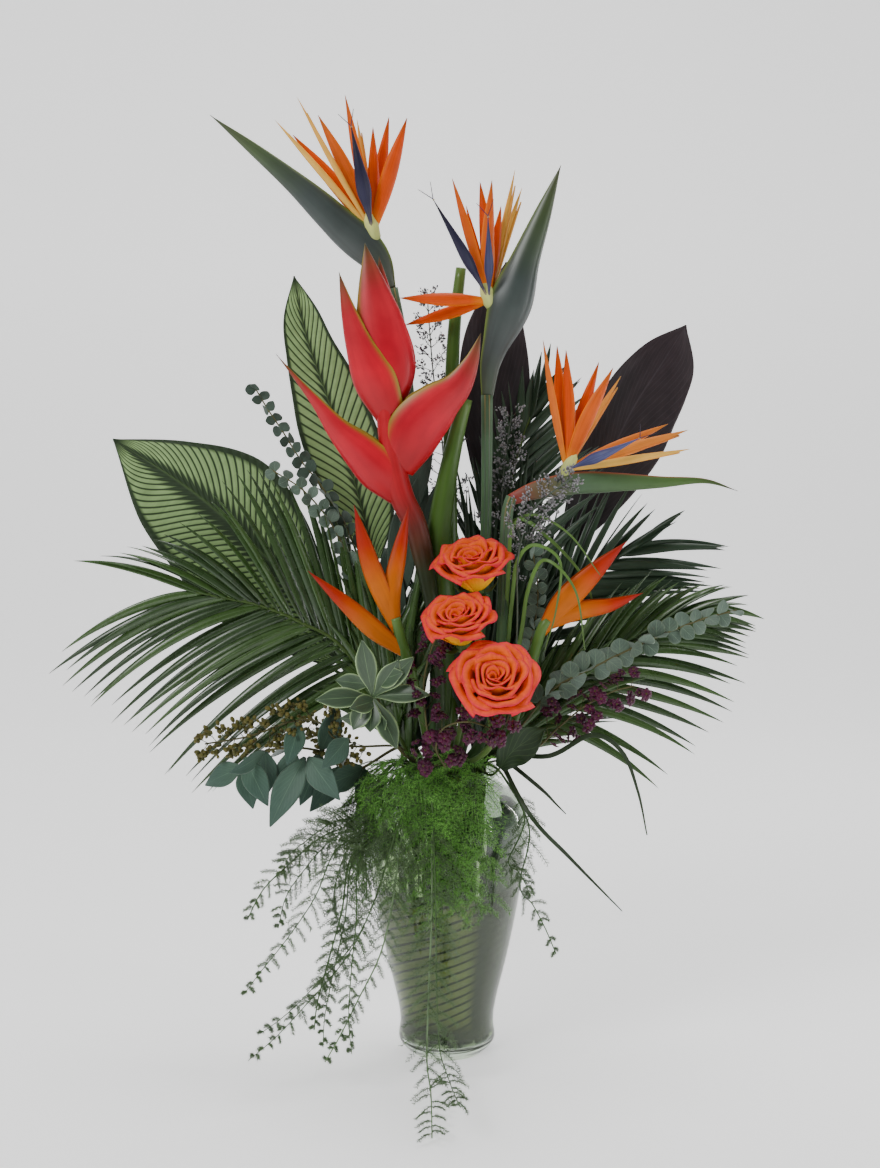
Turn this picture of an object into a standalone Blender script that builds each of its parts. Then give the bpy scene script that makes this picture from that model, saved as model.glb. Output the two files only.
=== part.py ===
"""A tropical arrangement of cut flowers and foliage in a glass vase, led by three bird of paradise blooms.

Metres, +Z up. The origin is the centre of the vase's foot, on the surface it stands on, and the front is -Y.
Places above the vase are read from the photograph: seen(column, row, depth) is the point that it shows
there, depth metres behind the vase's axis.
"""

import math
import random

import bmesh
import bpy
import numpy as np
from mathutils.bvhtree import BVHTree

# The photograph's viewpoint, which turns its columns and rows into places
EYE = np.array([-0.0066, -1.6, 0.60])
EYE_TILT = math.radians(5.18)
FOCAL_PIXELS = 1684.0
MIDDLE_COLUMN = 440.0
MIDDLE_ROW = 584.0

# Vase and water
VASE_WALL = 0.003
VASE_FLOOR = 0.012
VASE_STEPS = 18
NECK_Z = 0.266
VASE_OUTSIDE = (  # radius, height, from the rim's top down to the foot
    (0.0485, 0.2780),
    (0.0500, 0.2740),
    (0.0474, 0.2680),
    (0.0560, 0.2590),
    (0.0720, 0.2490),
    (0.0795, 0.2280),
    (0.0755, 0.1970),
    (0.0695, 0.1490),
    (0.0600, 0.1000),
    (0.0485, 0.0520),
    (0.0455, 0.0300),
    (0.0465, 0.0120),
    (0.0360, 0.0),
)
RIM_TOP = VASE_OUTSIDE[0][1]
WATER_TOP = 0.205
WATER_INSET = 0.0038
HOLE_GAP = 0.0006
FOOT_SPREAD = 0.85
FOOT_Z = VASE_FLOOR + 0.0006
SHORT_FOOT_Z = 0.212
LIP_SPREAD = 1.03
LIP_Z = 0.284
FAN_Z = 0.16
FAN_REACH = 0.130
FAN_LIMIT = 0.030
STEM_GAP = 0.0009
TOUCH = 0.00035  # the gap that touching pieces keep
LEAN = 0.0007  # a piece within this of another leans on it
NECK_ROOM = 0.0427

# Leaves and blades
BLADE = 0.0009
CLEAR = 0.0007
OWN_CLEAR = 0.0001
START_SHARE = 0.1  # how far out of the stem a blade's own room is counted from
SEAT_GAP = 0.0005
LEAD_RINGS = 4
SURFACE_CORNERS = ((-0.5, -0.5), (0.5, -0.5), (0.5, 0.5),
                   (-0.5, 0.5))  # what the vase stands on, kept clear
LINER_INSET = 0.0020
LINER_BLADE = 0.0008
LINER_TURN = (math.radians(150), math.radians(345))
LINER_HEIGHTS = (0.020, 0.030, 0.052, 0.100, 0.149, 0.168)

# Where each stem heads, at (column, row, depth), its radius in millimetres, and whether it stands in the water
STEMS = {
    "ti_leaf_right": ((610, 440, 0.095), 2.6, True),
    "ti_leaf_middle": ((500, 400, 0.075), 2.6, True),
    "calathea_upper": ((345, 470, 0.075), 2.8, True),
    "palm_back": ((512, 480, 0.060), 2.6, False),
    "calathea_left": ((300, 600, 0.060), 3.0, True),
    "palm_low": ((575, 590, 0.065), 2.6, False),
    "eucalyptus_dark": ((330, 495, 0.030), 2.0, False),
    "bird_1": ((400, 400, 0.030), 5.8, True),
    "bird_2": ((487, 440, 0.000), 5.8, True),
    "bird_3": ((505, 560, -0.030), 5.6, True),
    "stalk_slim": ((453, 450, 0.035), 5.4, True),
    "stalk_fat": ((440, 600, 0.000), 4.6, True),
    "heliconia": ((417, 531, -0.035), 4.8, True),
    "palm_left": ((343, 643, 0.015), 3.4, True),
    "palm_right": ((600, 655, 0.015), 3.1, True),
    "eucalyptus_right": ((600, 665, -0.025), 2.0, False),
    "eucalyptus_silver": ((370, 540, 0.000), 1.9, False),
    "eucalyptus_middle": ((533, 600, -0.030), 1.9, False),
    "limonium_left": ((435, 420, 0.055), 1.6, False),
    "limonium_right": ((500, 460, 0.030), 1.6, False),
    "wax_white": ((530, 510, -0.050), 1.6, False),
    "rose_upper": ((472, 600, -0.040), 3.2, True),
    "rose_middle": ((458, 650, -0.080), 3.2, True),
    "rose_lower": ((494, 700, -0.105), 3.2, True),
    "heliconia_left": ((400, 640, -0.065), 3.5, True),
    "heliconia_right": ((545, 622, -0.050), 3.5, True),
    "pittosporum": ((373, 697, -0.075), 2.4, False),
    "wax_left": ((430, 665, -0.085), 1.7, False),
    "wax_middle": ((450, 730, -0.110), 1.7, False),
    "wax_right": ((600, 700, -0.055), 1.7, False),
    "seeded_leaves": ((300, 740, -0.020), 2.3, False),
    "seeded_twig": ((300, 715, -0.045), 1.8, False),
    "fern_left": ((330, 790, -0.050), 1.6, False),
    "fern_drop": ((352, 800, -0.090), 1.6, False),
    "fern_middle": ((395, 810, -0.100), 1.6, False),
    "fern_front": ((430, 800, -0.100), 1.6, False),
    "fern_right": ((520, 800, -0.050), 1.6, False),
    "grass_a": ((520, 520, -0.015), 1.2, False),
    "grass_c": ((560, 770, -0.060), 1.2, False),
    "salal_leaf": ((520, 765, -0.045), 1.8, False),
}

UP = np.array([0.0, 0.0, 1.0])
DOWN = -UP
FRONT = np.array([0.0, -1.0, 0.0])


def seen(column, row, depth):
    """The point that the photograph shows at this column and row, at this depth behind the vase's axis."""
    forward = np.array([0.0, math.cos(EYE_TILT), -math.sin(EYE_TILT)])
    upward = np.array([0.0, math.sin(EYE_TILT), math.cos(EYE_TILT)])
    ray = forward + upward * (MIDDLE_ROW - row) / FOCAL_PIXELS
    ray[0] = (column - MIDDLE_COLUMN) / FOCAL_PIXELS
    return EYE + ray * (depth - EYE[1]) / ray[1]


def neck_places():
    """Each stem's place in the neck: where its heading crosses it, then pushed apart until all have room."""
    names = list(STEMS)
    places, radii = [], np.array([STEMS[name][1] for name in names]) / 1000
    for name in names:
        target = seen(*STEMS[name][0])
        place = target[:2] / max(target[2] - FAN_Z, 0.05) * FAN_REACH
        far = np.linalg.norm(place)
        if far > FAN_LIMIT:
            place *= (FAN_LIMIT + (far - FAN_LIMIT) * 0.08) / far
        places.append(place)
    places = np.array(places)
    for _ in range(400):
        for i in range(len(names)):
            for j in range(i + 1, len(names)):
                gap = places[j] - places[i]
                far = max(np.linalg.norm(gap), 1e-6)
                short = (radii[i] + radii[j] + STEM_GAP) / FOOT_SPREAD - far
                if short > 0:
                    places[i] -= gap / far * short * 0.3
                    places[j] += gap / far * short * 0.3
        far = np.linalg.norm(places, axis=1)
        room = NECK_ROOM - radii
        places *= np.minimum(1.0, room / far)[:, None]
    return dict(zip(names, places))


def unit(vector):
    return vector / max(np.linalg.norm(vector), 1e-12)


def even_route(points, count):
    """count places, evenly spaced, on a Catmull-Rom curve through the points."""
    points = [np.asarray(p, float) for p in points]
    ends = [2 * points[0] - points[1], *points, 2 * points[-1] - points[-2]]
    fine = []
    for a, b, c, d in zip(ends, ends[1:], ends[2:], ends[3:]):
        for t in np.linspace(0, 1, 12, endpoint=False):
            fine.append(
                0.5 * (2 * b + (c - a) * t + (2 * a - 5 * b + 4 * c - d) * t**2 + (3 * b - a - 3 * c + d) * t**3)
            )
    fine.append(points[-1])
    fine = np.array(fine)
    walked = np.concatenate([[0], np.cumsum(np.linalg.norm(np.diff(fine, axis=0), axis=1))])
    wanted = np.linspace(0, walked[-1], count)
    return np.stack([np.interp(wanted, walked, fine[:, i]) for i in range(3)], axis=1)


def carried_frames(route, facing):
    """Unit vectors along, out of and across the route, the last two carried along it without twist."""
    steps = np.diff(route, axis=0)
    along = [unit(steps[0])]
    along += [unit(unit(a) + unit(b)) for a, b in zip(steps, steps[1:])]
    along.append(unit(steps[-1]))
    out = [unit(facing - along[0] * np.dot(facing, along[0]))]
    for tangent in along[1:]:
        out.append(unit(out[-1] - tangent * np.dot(out[-1], tangent)))
    across = [np.cross(t, n) for t, n in zip(along, out)]
    return np.array(along), np.array(out), np.array(across)


def profile(places, values, at):
    """The values given at these places along a piece, read at others, with straight runs between."""
    return np.interp(at, places, values)


# Meshes and objects


def solid(name, points, faces, material=None):
    """One object from a closed surface, its faces turned outwards."""
    mesh = bpy.data.meshes.new(name)
    mesh.from_pydata([tuple(map(float, p)) for p in points], [], [tuple(map(int, f)) for f in faces])
    work = bmesh.new()
    work.from_mesh(mesh)
    bmesh.ops.remove_doubles(work, verts=work.verts, dist=1e-7)
    bmesh.ops.recalc_face_normals(work, faces=work.faces)
    work.to_mesh(mesh)
    work.free()
    shape = bpy.data.objects.new(name, mesh)
    PARTS.objects.link(shape)
    if material:
        mesh.materials.append(MATERIALS[material])
    return shape


def loft(sections):
    """Points and faces of a body through rings of points; a last ring of one point closes it to a tip."""
    points, faces, rings = [], [], []
    for section in sections:
        rings.append(range(len(points), len(points) + len(section)))
        points.extend(section)
    count = len(rings[0])
    faces.append(tuple(reversed(rings[0])))
    for a, b in zip(rings, rings[1:]):
        for i in range(count):
            j = (i + 1) % count
            if len(b) == 1:
                faces.append((a[i], a[j], b[0]))
            else:
                faces.append((a[i], a[j], b[j]))
                faces.append((a[i], b[j], b[i]))
    if len(rings[-1]) > 1:
        faces.append(tuple(rings[-1]))
    return points, faces


def stem_sections(route, radii, facing, sides):
    """Rings round a route, for a stem or stalk."""
    _, out, across = carried_frames(route, facing)
    turns = [2 * math.pi * (k + 0.5) / sides for k in range(sides)]
    return [
        [p + r * (math.cos(t) * s + math.sin(t) * n) for t in turns]
        for p, r, n, s in zip(route, radii, out, across)
    ]


def lens_sections(route, half_widths, half_depths, facing):
    """Diamond rings along a route, for a fleshy petal, ending in a point."""
    _, out, across = carried_frames(route, facing)
    rings = [
        [p + s * w, p + n * d, p - s * w, p - n * d]
        for p, w, d, n, s in zip(route, half_widths, half_depths, out, across)
    ]
    return rings[:-1] + [[route[-1]]]


BOAT_OUTLINE = (  # across and up, as shares of the boat's half depth: keel, side, lip and groove
    (0.0, -1.0),
    (0.50, -0.50),
    (0.56, 0.30),
    (0.24, 0.84),
    (0.0, 0.30),
    (-0.24, 0.84),
    (-0.56, 0.30),
    (-0.50, -0.50),
)


def boat_sections(route, half_depths, opening, spread=1.0):
    """Rings of a folded bract: a keel below, two lips above with a groove between, narrowing to a point."""
    _, out, across = carried_frames(route, opening)
    rings = [
        [p + r * (spread * u * s + v * n) for u, v in BOAT_OUTLINE]
        for p, r, n, s in zip(route, half_depths, out, across)
    ]
    return rings[:-1] + [[route[-1]]]


def applied(shape):
    """Makes what the shape's modifiers give its own mesh."""
    graph = bpy.context.evaluated_depsgraph_get()
    mesh = bpy.data.meshes.new_from_object(shape.evaluated_get(graph), depsgraph=graph)
    old = shape.data
    shape.modifiers.clear()
    shape.data = mesh
    bpy.data.meshes.remove(old)
    return shape


def joined(name, bodies, material, taken_from=()):
    """One body from several that overlap, less what other bodies take from it. Each is (points, faces)."""
    helpers = bpy.data.collections.new(name + "_helpers")
    bpy.context.scene.collection.children.link(helpers)
    whole = solid(name, *bodies[0], material)
    work = [("UNION", bodies[1:]), ("DIFFERENCE", taken_from)]
    for operation, operands in work:
        if not operands:
            continue
        for points, faces in operands:
            helper = solid(name + "_helper", points, faces)
            PARTS.objects.unlink(helper)
            helpers.objects.link(helper)
        modifier = whole.modifiers.new(operation, "BOOLEAN")
        modifier.operation = operation
        modifier.operand_type = "COLLECTION"
        modifier.collection = helpers
        modifier.solver = "MANIFOLD"
        bpy.context.view_layer.update()
        applied(whole)
        for helper in list(helpers.objects):
            bpy.data.objects.remove(helper)
    bpy.data.collections.remove(helpers)
    keep_largest_body(whole)
    return whole


def keep_largest_body(shape):
    """Drops the loose scraps that a cut leaves."""
    work = bmesh.new()
    work.from_mesh(shape.data)
    left, bodies = set(work.verts), []
    while left:
        body, edge = set(), {left.pop()}
        while edge:
            body |= edge
            edge = {e.other_vert(v) for v in edge for e in v.link_edges} - body
        bodies.append(body)
        left -= body
    largest = max(bodies, key=len)
    scraps = [v for v in work.verts if v not in largest]
    bmesh.ops.delete(work, geom=scraps, context="VERTS")
    work.to_mesh(shape.data)
    work.free()


# Room: what is already placed, so that later leaves are bent clear of it


class Room:
    """The space that placed pieces take, by owner."""

    def __init__(self):
        self.trees = []

    def add(self, owner, points, faces):
        points = np.asarray(points, float)
        tree = BVHTree.FromPolygons([tuple(p) for p in points], [tuple(map(int, f)) for f in faces])
        self.trees.append((owner, points.min(0), points.max(0), tree))

    def add_shape(self, shape):
        mesh = shape.data
        self.add(shape.name, [v.co for v in mesh.vertices], [tuple(p.vertices) for p in mesh.polygons])

    def blockers(self, owner, points, faces):
        """The names of the placed pieces that this body would cross."""
        points = np.asarray(points, float)
        low, high = points.min(0), points.max(0)
        tree = None
        for other, other_low, other_high, other_tree in self.trees:
            if other == owner or (low > other_high).any() or (high < other_low).any():
                continue
            tree = tree or BVHTree.FromPolygons([tuple(p) for p in points], [tuple(f) for f in faces])
            if tree.overlap(other_tree):
                yield other

    def free(self, owner, points, faces):
        return next(self.blockers(owner, points, faces), None) is None


# Growth: a stem as a row of four-sided rings, with blades that grow out of its side faces


class Growth:
    """Points and triangles of one stem and of everything that grows from it, as one closed surface."""

    def __init__(self, name):
        self.name = name
        self.points, self.faces = [], []
        self.own, self.shell = [], []

    def put(self, *points):
        first = len(self.points)
        self.points.extend(np.asarray(p, float) for p in points)
        return list(range(first, first + len(points)))

    def strip(self, a, b, c, d):
        """Two triangles for the quad a, b, c, d, split from a to c."""
        self.faces += [(a, b, c), (a, c, d)]

    def blade(self, base, sections):
        """Grows a flat blade from the open quad base = (near top, near bottom, far top, far bottom).

        Each section is (centre, along, half length, out, half thickness). A half length of 0 is a tip.
        Returns the near and far side quads of each segment but a tip's, which are left open.
        """
        near_top, near_low, far_top, far_low = base
        sides = []
        for centre, along, half, out, thick in sections:
            if half:
                top, low, reach = centre + out * thick, centre - out * thick, along * half
                nt, nl, ft, fl = self.put(top - reach, low - reach, top + reach, low + reach)
                self.strip(near_top, far_top, ft, nt)
                self.strip(near_low, far_low, fl, nl)
                sides.append(((near_top, near_low, nt, nl), (far_top, far_low, ft, fl)))
                near_top, near_low, far_top, far_low = nt, nl, ft, fl
            else:
                (tip,) = self.put(centre)
                self.faces += [
                    (near_top, far_top, tip), (near_low, far_low, tip), (near_top, near_low, tip),
                    (far_top, far_low, tip),
                ]
                return sides
        self.strip(near_top, near_low, far_low, far_top)
        return sides

    def close(self, quad):
        """Closes a side quad = (top, bottom, next top, next bottom)."""
        top, low, next_top, next_low = quad
        self.strip(top, low, next_low, next_top)

    def shut(self, sides):
        """Closes both side quads of each segment."""
        for near, far in sides:
            self.close(near)
            self.close(far)

    def remember(self, label, points, faces):
        """Keeps the room that a part of this growth takes, for its later blades to stay clear of."""
        holder = Room()
        holder.add(label, points, faces)
        self.own += holder.trees

    def grow(self, quad, options, label, parent=None):
        """Grows the first of the options that has room from the quad, or closes it. Returns its side quads."""
        near_top, near_low, far_top, far_low = (self.points[k] for k in quad)
        centre = (near_top + near_low + far_top + far_low) / 4
        base_along = (far_top + far_low - near_top - near_low) / 4
        base_out = (near_top + far_top - near_low - far_low) / 4
        for sections in options:
            spot, along, reach, out, depth = sections[0]
            edge = base_along * (1 - START_SHARE) + along * reach * START_SHARE
            face = base_out * (1 - START_SHARE) + out * depth * START_SHARE
            start = (
                centre * (1 - START_SHARE) + spot * START_SHARE,
                unit(edge), np.linalg.norm(edge), unit(face), np.linalg.norm(face),
            )
            if not ROOM.free(self.name, *prism([start, *sections], CLEAR)):
                continue
            slim = prism([start, *sections], OWN_CLEAR)
            if not all(clear_of(entry, slim) for entry in self.own if entry[0] != parent):
                continue
            sides = self.try_blade(quad, sections)
            if sides is not None:
                self.remember(label, *slim)
                return sides
        self.close(quad)
        return []

    def try_blade(self, quad, sections):
        """Grows a blade unless its surface would pass through itself or through what has grown."""
        count, grown = len(self.points), self.faces
        self.faces = []
        sides = self.blade(quad, sections)
        added = list(self.faces)
        self.shut(sides)
        new, old = self.faces, [*grown, *self.shell]
        self.faces = grown
        points = [tuple(p) for p in self.points]
        tree = BVHTree.FromPolygons(points, new)
        crossed = any(not set(new[a]) & set(new[b]) for a, b in tree.overlap(tree))
        pairs = tree.overlap(BVHTree.FromPolygons(points, old))
        if crossed or any(not set(new[a]) & set(old[b]) for a, b in pairs):
            del self.points[count:]
            return None
        self.faces += added
        return sides


def clear_of(entry, body):
    """Whether a body is clear of one remembered entry."""
    _, other_low, other_high, other_tree = entry
    points = np.asarray(body[0], float)
    if (points.min(0) > other_high).any() or (points.max(0) < other_low).any():
        return True
    return not BVHTree.FromPolygons([tuple(p) for p in points],
                                    [tuple(f) for f in body[1]]).overlap(other_tree)


def prism(sections, grow):
    """A closed body round a blade's sections, grown all round, to test whether the blade has room."""
    rings = []
    for centre, along, half, out, thick in sections:
        a, n = along * (half + grow), out * (thick + grow)
        rings.append([centre + a + n, centre - a + n, centre - a - n, centre + a - n])
    return loft(rings)


def blade_sections(start, reach, sag, along, shape, side, tilt=0.0):
    """Sections of a blade whose tip is at start + reach, and which bows up by sag on the way there.

    shape lists (share of the length, half width, half thickness), and a half width of 0 is its tip.
    tilt turns the blade about its own direction.
    """
    sections = []
    for share, half, thick in shape:
        centre = start + reach * share - sag * share * (share - 1)
        heading = unit(reach - sag * (2 * share - 1))
        flat = unit(along - heading * np.dot(along, heading))
        turned = flat * math.cos(tilt) + np.cross(heading, flat) * math.sin(tilt)
        sections.append((centre, turned, half, side * np.cross(heading, turned), thick))
    return sections


# The order of the work: what is placed first keeps its place, and what comes later is bent clear of it


def stand(name, above, depth_shift=0.0):
    """The route of a standing stem's middle: its foot, its place in the neck, and the places above."""
    x, y = NECK_PLACES[name]
    neck = np.array([x, y, NECK_Z])
    foot = np.array([x * FOOT_SPREAD, y * FOOT_SPREAD, FOOT_Z])
    if not STEMS[name][2]:
        foot = neck + (foot - neck) * (NECK_Z - SHORT_FOOT_Z) / (NECK_Z - FOOT_Z)
    places = [p if isinstance(p, np.ndarray) else seen(p[0], p[1], p[2] + depth_shift) for p in above]
    lip = np.array([x * LIP_SPREAD, y * LIP_SPREAD, LIP_Z])
    return foot, neck, [lip, *places]


def drill(name, foot, neck, radius):
    """Keeps the plain hole in the water that a stem of this radius stands in."""
    if not STEMS[name][2]:
        return
    toward = unit(neck - foot)
    low = foot - toward * 2 * HOLE_GAP
    top = foot + toward * (WATER_TOP + 0.010 - foot[2]) / toward[2]
    side = unit(np.cross(toward, np.array([0.3, 1.0, 0.0])))
    other = np.cross(toward, side)
    half = radius + HOLE_GAP
    corners = [(1, 1), (-1, 1), (-1, -1), (1, -1)]
    HOLES[name] = loft([[p + (a * side + b * other) * half for a, b in corners] for p in (low, top)])


def stalk(name, above, radii, steps, depth_shift=0.0, sides=8, pointed=False):
    """A round standing stem. radii are spread over the part above the neck, the first of them to the foot."""
    foot, neck, places = stand(name, above, depth_shift)
    route = np.vstack([foot, neck, even_route(places, steps)])
    spread = profile(np.linspace(0, 1, len(radii)), radii, np.linspace(0, 1, steps))
    spread = np.concatenate([[radii[0], radii[0]], spread])
    drill(name, foot, neck, radii[0] * 1.02)
    sections = stem_sections(route, spread, FRONT, sides)
    if pointed:
        sections = sections[:-1] + [[route[-1]]]
    return loft(sections)


def boat(places, half_depths, opening, steps, depth_shift=0.0, grow=0.0, spread=1.0):
    """A folded bract through the places seen in the photograph, half_depths in millimetres."""
    route = even_route([seen(c, r, d + depth_shift) for c, r, d in places], steps)
    halves = profile(np.linspace(0, 1, len(half_depths)), half_depths, np.linspace(0, 1, steps)) / 1000
    return loft(boat_sections(route, halves + grow, unit(np.array(opening, float)), spread))


def petal(places, half_widths, steps, facing=FRONT, grow=0.0, depth_share=0.42):
    """A pointed petal with a diamond section through 3-D places, half_widths in millimetres."""
    route = even_route(places, steps)
    halves = profile(np.linspace(0, 1, len(half_widths)), half_widths, np.linspace(0, 1, steps)) / 1000
    return loft(lens_sections(route, halves + grow, halves * depth_share + grow, np.asarray(facing, float)))


def knob(centre, radius, grow=0.0):
    """A small round body that petals grow from."""
    rings = []
    for share in (-0.9, -0.35, 0.35, 0.9):
        r = (radius + grow) * math.sqrt(1 - share**2)
        turns = [2 * math.pi * k / 8 for k in range(8)]
        rings.append(
            [centre + np.array([r * math.cos(t), r * math.sin(t), share * (radius + grow)]) for t in turns]
        )
    return loft(rings)


def inflated(points, faces, amount):
    """A body's points, each moved out of it by this amount along its corner's normal."""
    points = np.asarray(points, float)
    normals = np.zeros_like(points)
    volume = 0.0
    for face in faces:
        corners = points[list(face)]
        edges = corners[1:] - corners[0]
        area = np.cross(edges[:-1], edges[1:]).sum(axis=0)
        normals[list(face)] += area
        volume += np.dot(area, corners[0])
    lengths = np.maximum(np.linalg.norm(normals, axis=1, keepdims=True), 1e-15)
    return points + normals / lengths * math.copysign(amount, volume)


NEAR_SHIFT_STEPS = (0, 3, 6, 10, 15, 21, 28, 36, 45, 55)
NEAR_SHIFTS = tuple(k * side / 1000 for k in NEAR_SHIFT_STEPS for side in ((1, -1) if k else (1,)))
SLIDES = [
    np.array([reach * math.cos(k * math.pi / 4), reach * math.sin(k * math.pi / 4)]) / 1000
    for reach in (0, 0.5, 1, 1.5, 2, 2.5, 3, 4, 5, 6, 8, 10)
    for k in range(8 if reach else 1)
]


def settle(make, shifts=(0.0,), name=None):
    """The first shift in depth at which all that make(shift) gives has room, and what it gives.

    A named stem also slides in the neck until it leans on a piece that is there already, unless it stands on
    the vase's floor.
    """
    home = NECK_PLACES.get(name)
    crossed = []
    for shift in shifts:
        for slide in SLIDES if name else SLIDES[:1]:
            if name:
                NECK_PLACES[name] = home + slide
            bodies = make(shift)
            blockers = {b for points, faces in bodies
                        for b in ROOM.blockers("", inflated(points, faces, TOUCH), faces)}
            if not crossed:
                crossed = sorted(blockers)
            if blockers:
                continue
            if not name or STEMS[name][2] or leans(bodies):
                return shift, bodies
    raise ValueError(f"no room for {name or make.__name__}, which crosses {crossed}")


def leans(bodies):
    """Whether some body lies close enough to a placed piece to lean on it."""
    return any(not ROOM.free("", inflated(points, faces, LEAN), faces) for points, faces in bodies)


def plant(name, bodies, material, taken_from=()):
    """Fuses bodies to one object and keeps its room."""
    shape = joined(name, bodies, material, taken_from) if len(bodies) > 1 or taken_from else solid(
        name, *bodies[0], material
    )
    ROOM.add_shape(shape)
    return shape


# Birds of paradise


def bird(number, stem, spathe, half_depths, opening, centre, radius, florets, tongues):
    """A bird of paradise: its stem and spathe, the orange sepals and the blue tongue, as three nodes."""
    name = f"bird_{number}"

    def body(shift):
        return [
            stalk(name, stem, (0.0052, 0.0048, 0.0050, 0.0060), 6, shift, sides=6),
            boat(spathe, half_depths, opening, 8, shift),
        ]

    _, bodies = settle(body, name=name)
    plant(f"{name}_spathe", bodies, "spathe_green")
    middle = seen(*centre)
    rounded = boat(spathe, half_depths, opening, 8, grow=SEAT_GAP)
    petals, grown = [], []
    for column, row, depth, width in florets:
        tip = seen(column, row, centre[2] + depth / 1000)
        sway = (middle + tip) / 2 + np.array([0, depth / 1000 * 0.35, 0])
        widths = (width * 0.55, width, width, width * 0.6, 0)
        petals.append(petal([middle, sway, tip], widths, 4))
        grown.append(petal([middle, sway, tip], widths, 4, grow=SEAT_GAP))
    stem_room = stalk(name, stem, (0.0057, 0.0053, 0.0055, 0.0065), 6, sides=6)
    plant(f"{name}_sepals", [knob(middle, radius), *petals], "sepal_orange", [rounded, stem_room])
    taken = [rounded, stem_room, knob(middle, radius, SEAT_GAP), *grown]
    for k, (column, row, depth, width) in enumerate(tongues, start=1):
        tip = seen(column, row, centre[2] + depth / 1000)
        start = middle + np.array([0, -0.35 * radius, 0])
        sway = (start + tip) / 2 + np.array([0, depth / 1000 * 0.5, 0])
        widths = (width * 0.6, width * 0.8, width * 1.25, width * 0.5, 0)
        plant(f"{name}_tongue_{k}", [petal([start, sway, tip], widths, 5)], "tongue_blue", taken)
        taken.append(petal([start, sway, tip], widths, 5, grow=SEAT_GAP))


def make_birds():
    bird(
        1,
        [(434, 640, 0.028), (424, 540, 0.030), (413, 430, 0.030), (402, 340, 0.028), (392, 288, 0.024)],
        [(391, 290, 0.024), (376, 258, 0.022), (340, 224, 0.022), (300, 187, 0.022), (255, 150, 0.022),
         (210, 115, 0.022)],
        (5.5, 17, 15, 10, 5.5, 0),
        (0.65, 0, 0.76),
        (373, 233, 0.020),
        0.0085,
        (
            (275, 120, -8, 2.4), (293, 135, 9, 5.2), (297, 97, -16, 2.2), (318, 115, 2, 5.6),
            (345, 95, -9, 4.4),
            (357, 119, 13, 3.4), (373, 127, -2, 4.6), (389, 117, 12, 5.2), (407, 118, -8, 6.0),
        ),
        ((351, 126, -22, 4.2),),
    )
    bird(
        2,
        [(474, 700, 0.002), (482, 610, 0.002), (486, 520, 0.002), (487, 440, 0.002), (487, 395, 0.002)],
        [(487, 398, 0.002), (491, 360, 0.002), (507, 312, 0.002), (523, 265, 0.002), (541, 218, 0.002),
         (561, 165, 0.002)],
        (5.5, 12, 21, 14, 8, 0),
        (-0.93, 0, 0.35),
        (489, 300, 0.0),
        0.0095,
        (
            (452, 178, -12, 4.4), (466, 205, 10, 3.4), (480, 182, 3, 5.4), (492, 180, -9, 5.2),
            (501, 206, 12, 4.6),
            (515, 170, 20, 3.2), (522, 188, 28, 3.4), (400, 298, -10, 5.6), (405, 325, 12, 5.4),
        ),
        ((433, 199, -26, 4.0), (488, 216, -24, 3.4)),
    )
    bird(
        3,
        [(492, 720, -0.030), (501, 640, -0.030), (504, 570, -0.030), (507, 515, -0.030),
         (512, 497, -0.030)],
        [
            (510, 500, -0.030), (536, 490, -0.030), (575, 483, -0.030), (615, 482, -0.030),
            (660, 482, -0.030),
            (705, 481, -0.030), (738, 491, -0.030),
        ],
        (5.5, 9.5, 10.5, 8.5, 5.5, 2.6, 0),
        (0.0, 0, 1.0),
        (566, 470, -0.030),
        0.0085,
        (
            (543, 340, -10, 3.2), (557, 346, 9, 5.2), (566, 350, -2, 5.0), (599, 362, 12, 5.2),
            (613, 368, -6, 5.6),
            (621, 376, 20, 3.2), (668, 424, 14, 5.0), (688, 430, -3, 5.4), (690, 449, -16, 3.2),
        ),
        ((640, 438, -26, 4.0),),
    )


def make_heliconia():
    """The red lobster claw heliconia: a zigzag of folded bracts on one stem."""

    def head(shift):
        stem = [(441, 700, -0.036), (431, 600, -0.036), (417, 531, -0.036), (402, 497, -0.036),
                (393, 460, -0.036),
                (386, 410, -0.036), (384, 360, -0.036)]
        return [
            stalk("heliconia", stem, (0.0044, 0.0044, 0.0050, 0.0095, 0.0115, 0.0100, 0.0060), 9, shift,
                  sides=6),
            boat(
                [(400, 497, -0.036), (381, 472, -0.037), (360, 450, -0.038), (338, 429, -0.040),
                 (318, 404, -0.042),
                 (296, 378, -0.044), (276, 354, -0.046)],
                (11, 21, 18, 11, 5.5, 2.2, 0), (0.6, -0.15, 0.8), 7, shift, spread=0.9,
            ),
            boat(
                [(398, 470, -0.036), (414, 430, -0.037), (436, 405, -0.040), (457, 386, -0.043),
                 (471, 362, -0.045),
                 (481, 333, -0.047)],
                (15, 26, 25, 16, 8, 0), (-0.7, -0.15, 0.7), 7, shift, spread=0.8,
            ),
            boat(
                [(391, 415, -0.036), (378, 385, -0.038), (362, 350, -0.041), (349, 312, -0.043),
                 (339, 272, -0.044)],
                (15, 21, 14, 7, 0), (0.85, -0.15, 0.5), 6, shift, spread=0.9,
            ),
            boat(
                [(388, 405, -0.036), (389, 370, -0.034), (381, 330, -0.032), (373, 290, -0.031),
                 (365, 243, -0.030)],
                (15, 26, 23, 13, 0), (-0.9, -0.1, 0.4), 6, shift, spread=0.8,
            ),
            boat(
                [(386, 360, -0.028), (387, 325, -0.022), (383, 290, -0.019), (379, 256, -0.016)],
                (9, 11, 7, 0), (-0.8, 0.1, 0.5), 5, shift,
            ),
        ]

    plant("heliconia", settle(head, NEAR_SHIFTS, "heliconia")[1], "heliconia_red")


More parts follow.
